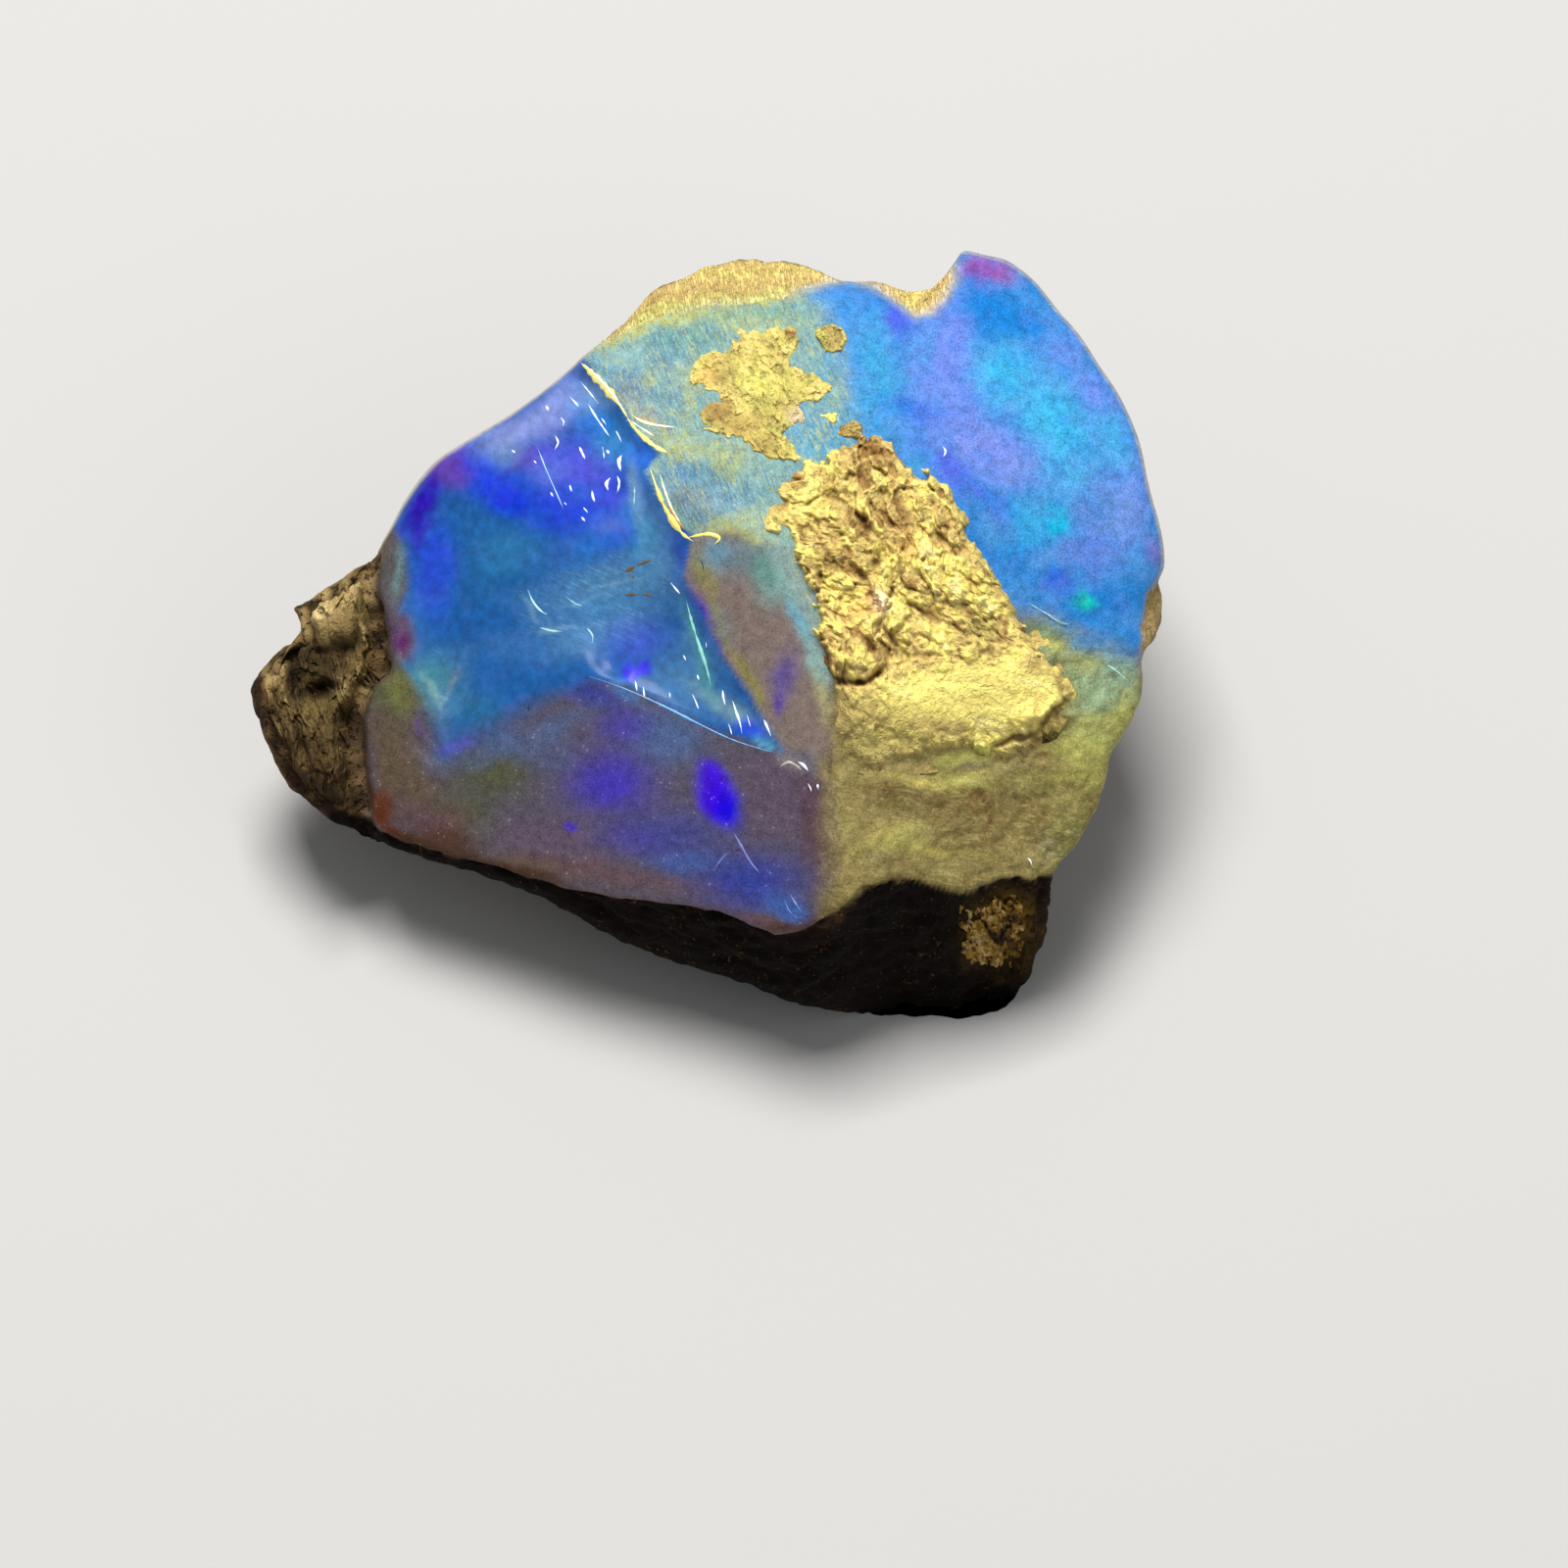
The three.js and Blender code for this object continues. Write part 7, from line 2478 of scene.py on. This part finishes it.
# The needles' white is a painted glint.
NEEDLES = ribbons(
    (Tone.HACKLE_GLINT, (0.018, 0.032, (-3.1, 6.3), (-2.88, 6.03), (-2.59, 5.66)),
     (0.03, 0.04, (-2.88, 5.71), (-2.68, 5.37), (-2.51, 5.12), (-2.32, 4.85)),
     (0.019, 0.032, (-2.2, 5.05), (-2.1, 4.87), (-2.03, 4.7)),
     (0.018, 0.032, (-3.34, 5.89), (-3.2, 5.74), (-3.1, 5.62)),
     (0.015, 0.032, (-2.54, 5.34), (-2.39, 5.12)),
     (0.021, 0.032, (-3.56, 5.38), (-3.48, 5.26), (-3.51, 5.13)),
     (0.018, 0.032, (-3.93, 5.68), (-3.85, 5.53)),
     (0.034, 0.04, (-3.7, 4.94), (-3.62, 4.75), (-3.72, 4.55)),
     (0.03, 0.04, (-3.09, 4.64), (-3.02, 4.49), (-2.94, 4.32)),
     (0.019, 0.032, (-2.51, 4.64), (-2.48, 4.46), (-2.46, 4.29)),
     (0.023, 0.032, (-2.41, 4.54), (-2.34, 4.44)),
     (0.034, 0.04, (-2.03, 4.41), (-2.1, 4.24), (-2.05, 4.0)),
     (0.023, 0.032, (-2.14, 3.9), (-2.09, 3.71), (-2.14, 3.47)),
     (0.03, 0.04, (-2.31, 3.86), (-2.41, 3.71), (-2.36, 3.52)),
     (0.03, 0.04, (-3.33, 3.7), (-3.28, 3.53)),
     (0.034, 0.04, (-2.77, 3.55), (-2.75, 3.4), (-2.7, 3.26)),
     (0.018, 0.032, (-2.99, 3.14), (-2.87, 3.0)), (0.018, 0.032, (-3.04, 2.91), (-2.94, 2.79)),
     (0.015, 0.024, (-3.47, 3.27), (-3.4, 3.2)), (0.015, 0.024, (-4.23, 4.32), (-4.16, 4.24)),
     (0.018, 0.024, (-4.79, 4.59), (-4.69, 4.52)), (0.015, 0.024, (-3.81, 3.53), (-3.74, 3.41))),
    (Tone.PALE_TEAL, (0.018, 0.024, (-4.16, 4.7), (-3.91, 4.07), (-3.67, 3.53), (-3.48, 3.1)),
     (0.038, 0.024, (-1.73, 3.85), (-1.71, 3.51), (-1.73, 3.13))),
    (Tone.HACKLE_GLINT, (0.021, 0.032, (-1.71, -1.12), (-1.68, -1.27), (-1.66, -1.41)),
     (0.019, 0.032, (-1.51, -1.27), (-1.49, -1.44), (-1.47, -1.58)),
     (0.015, 0.032, (-0.86, -1.42), (-0.84, -1.56)), (0.019, 0.032, (-0.18, -0.99), (-0.13, -1.13)),
     (0.021, 0.032, (-0.3, -1.46), (-0.21, -1.66), (-0.14, -1.85)),
     (0.034, 0.04, (0.45, -1.37), (0.47, -1.56), (0.52, -1.76)),
     (0.034, 0.04, (0.69, -1.61), (0.78, -1.9), (0.88, -2.19), (0.93, -2.48)),
     (0.021, 0.032, (0.59, -2.19), (0.64, -2.33), (0.68, -2.48)),
     (0.021, 0.032, (1.05, -1.97), (1.09, -2.12), (1.14, -2.29)),
     (0.025, 0.032, (1.46, -2.09), (1.55, -2.29), (1.65, -2.53)),
     (0.015, 0.024, (-0.52, -0.5), (-0.45, -0.65)), (0.015, 0.024, (0.04, -0.2), (0.06, -0.34))),
)


def crumb_patches(nodule: Nodule) -> tuple[CrumbPatch, ...]:
    """The patches of host rock that stand on the opal, from the largest to the smallest.

    Args:
        nodule: The stone that they lie on.

    Returns:
        The patches.
    """
    yellow = (Tone.CRUST_BROWN, Tone.CRUST, Tone.CRUST_YELLOW, Tone.CRUST_YELLOW, Tone.CRUST_BRIGHT)
    lemon = (Tone.CRUST_SHADE, Tone.CRUST_OLIVE, Tone.LEMON, Tone.CRUST, Tone.LEMON)
    brown = (Tone.CRUST_SHADE, Tone.CRUST_BROWN, Tone.CRUST_OLIVE, Tone.LEMON)
    fine = ((0.3, 0.08), (0.15, 0.06), (0.08, 0.03))
    small = {"plates": fine, "cells": 70, "wander": 0.12, "swell": 0.02, "shoulder": 0.12, "bury": 0.1}
    crumbs = (
        ("round_crumb", Swell(3.11, 7.31, 0.4, 0.44, 0.0), 0.1, brown, 71.0),
        ("brown_crumb", Swell(3.6, 4.95, 0.4, 0.35, 0.0), 0.12, brown, 75.0),
        ("flake_crumb", Swell(3.04, 5.34, 0.28, 0.16, 0.0), 0.05, yellow, 81.0),
    )
    return (
        CrumbPatch(
            "large_crumb_patch", nodule, LARGE_PATCH_BORDER, 0.4,
            (Tone.CRUST_SHADE, Tone.CRUST_BROWN, Tone.CRUST, Tone.CRUST_YELLOW, Tone.CRUST_PALE),
            plates=((0.66, 0.15), (0.32, 0.17), (0.15, 0.1)), pits=LARGE_PATCH_PITS,
            mounds=LARGE_PATCH_MOUNDS, calm=LARGE_PATCH_CALM, fade=LARGE_PATCH_FADE,
            spots=LARGE_PATCH_SPOTS,
        ),
        CrumbPatch(
            "small_crumb_patch", nodule, SMALL_PATCH_BORDER, 0.06, lemon,
            plates=((0.4, 0.06), (0.18, 0.08), (0.09, 0.05)), cells=220, salt=60.0, spread=0.25,
            crack=0.04, wander=0.35, swell=0.04, shoulder=0.2, bury=0.12, pits=SMALL_PATCH_PITS,
            spots=SMALL_PATCH_SPOTS,
        ),
        CrumbPatch(
            "bark_patch", nodule, BARK_BORDER, 0.1,
            (Tone.BARK_SHADE, Tone.BARK, Tone.BARK_OLIVE, Tone.BARK, Tone.BARK_PALE),
            plates=((0.42, 0.22), (0.22, 0.17), (0.11, 0.11)), cells=260, salt=110.0, spread=0.0,
            grain_turn=math.radians(-75.0), grain_stretch=0.3, fine_stretch=0.4, crack=0.03,
            # Its painted shade and shadow are near black.
            wander=0.14, swell=0.16, shoulder=0.4, bury=0.45, shade=Tone.BARK_SHADOW,
            hollow_shadow=Tone.BARK_SHADOW, crevice_shade=0.35, spots=BARK_SPOTS,
        ),
        CrumbPatch(
            "wall_patch", nodule, WALL_PATCH_BORDER, 0.1,
            (Tone.WALL, Tone.BARK_SHADE, Tone.WALL_PATCH, Tone.BARK_PALE, Tone.WALL_PALE),
            plates=((0.35, 0.1), (0.17, 0.1), (0.09, 0.07)), cells=150, salt=140.0, spread=0.3,
            grain_turn=math.radians(-60.0), grain_stretch=0.45, crack=0.04, wander=0.45,
            # Its painted shade, shadow and faded edge take the wall's near black.
            swell=0.1, shoulder=0.5, bury=0.55, shade=Tone.WALL, hollow_shadow=Tone.WALL, crevice_shade=0.5,
            faded=Tone.WALL,
        ),
        *(
            CrumbPatch(name, nodule, oval.border(), thickness, palette, salt=salt, **small)
            for name, oval, thickness, palette, salt in crumbs
        ),
    )


def main() -> None:
    """Builds the stone, its patches and bright edges, and the studio."""
    shape = StoneShape()
    nodule = Nodule(shape, Painter(shape))
    rock = Rock()
    host_rock, bright = rock.make(), Glint().make()
    pieces = [nodule.build(Opal(shape.tilt).make(rock))]
    pieces.extend(patch.build(host_rock) for patch in crumb_patches(nodule))
    pieces.append(Ribbons("bright_edges", nodule, EDGES).build(bright))
    pieces.append(Ribbons("needles", nodule, NEEDLES, sections=9).build(bright))
    for piece in pieces:
        low, high = (np.array(piece.bound_box).min(axis=0), np.array(piece.bound_box).max(axis=0))
        size = ", ".join(f"{side / MM:.1f}" for side in high - low)
        LOG.info("%s: %d points, %s mm", piece.name, len(piece.data.vertices), size)
    Studio(shape).build(nodule)


if __name__ == "__main__":
    logging.basicConfig(level=logging.INFO, format="%(name)s: %(message)s")
    main()
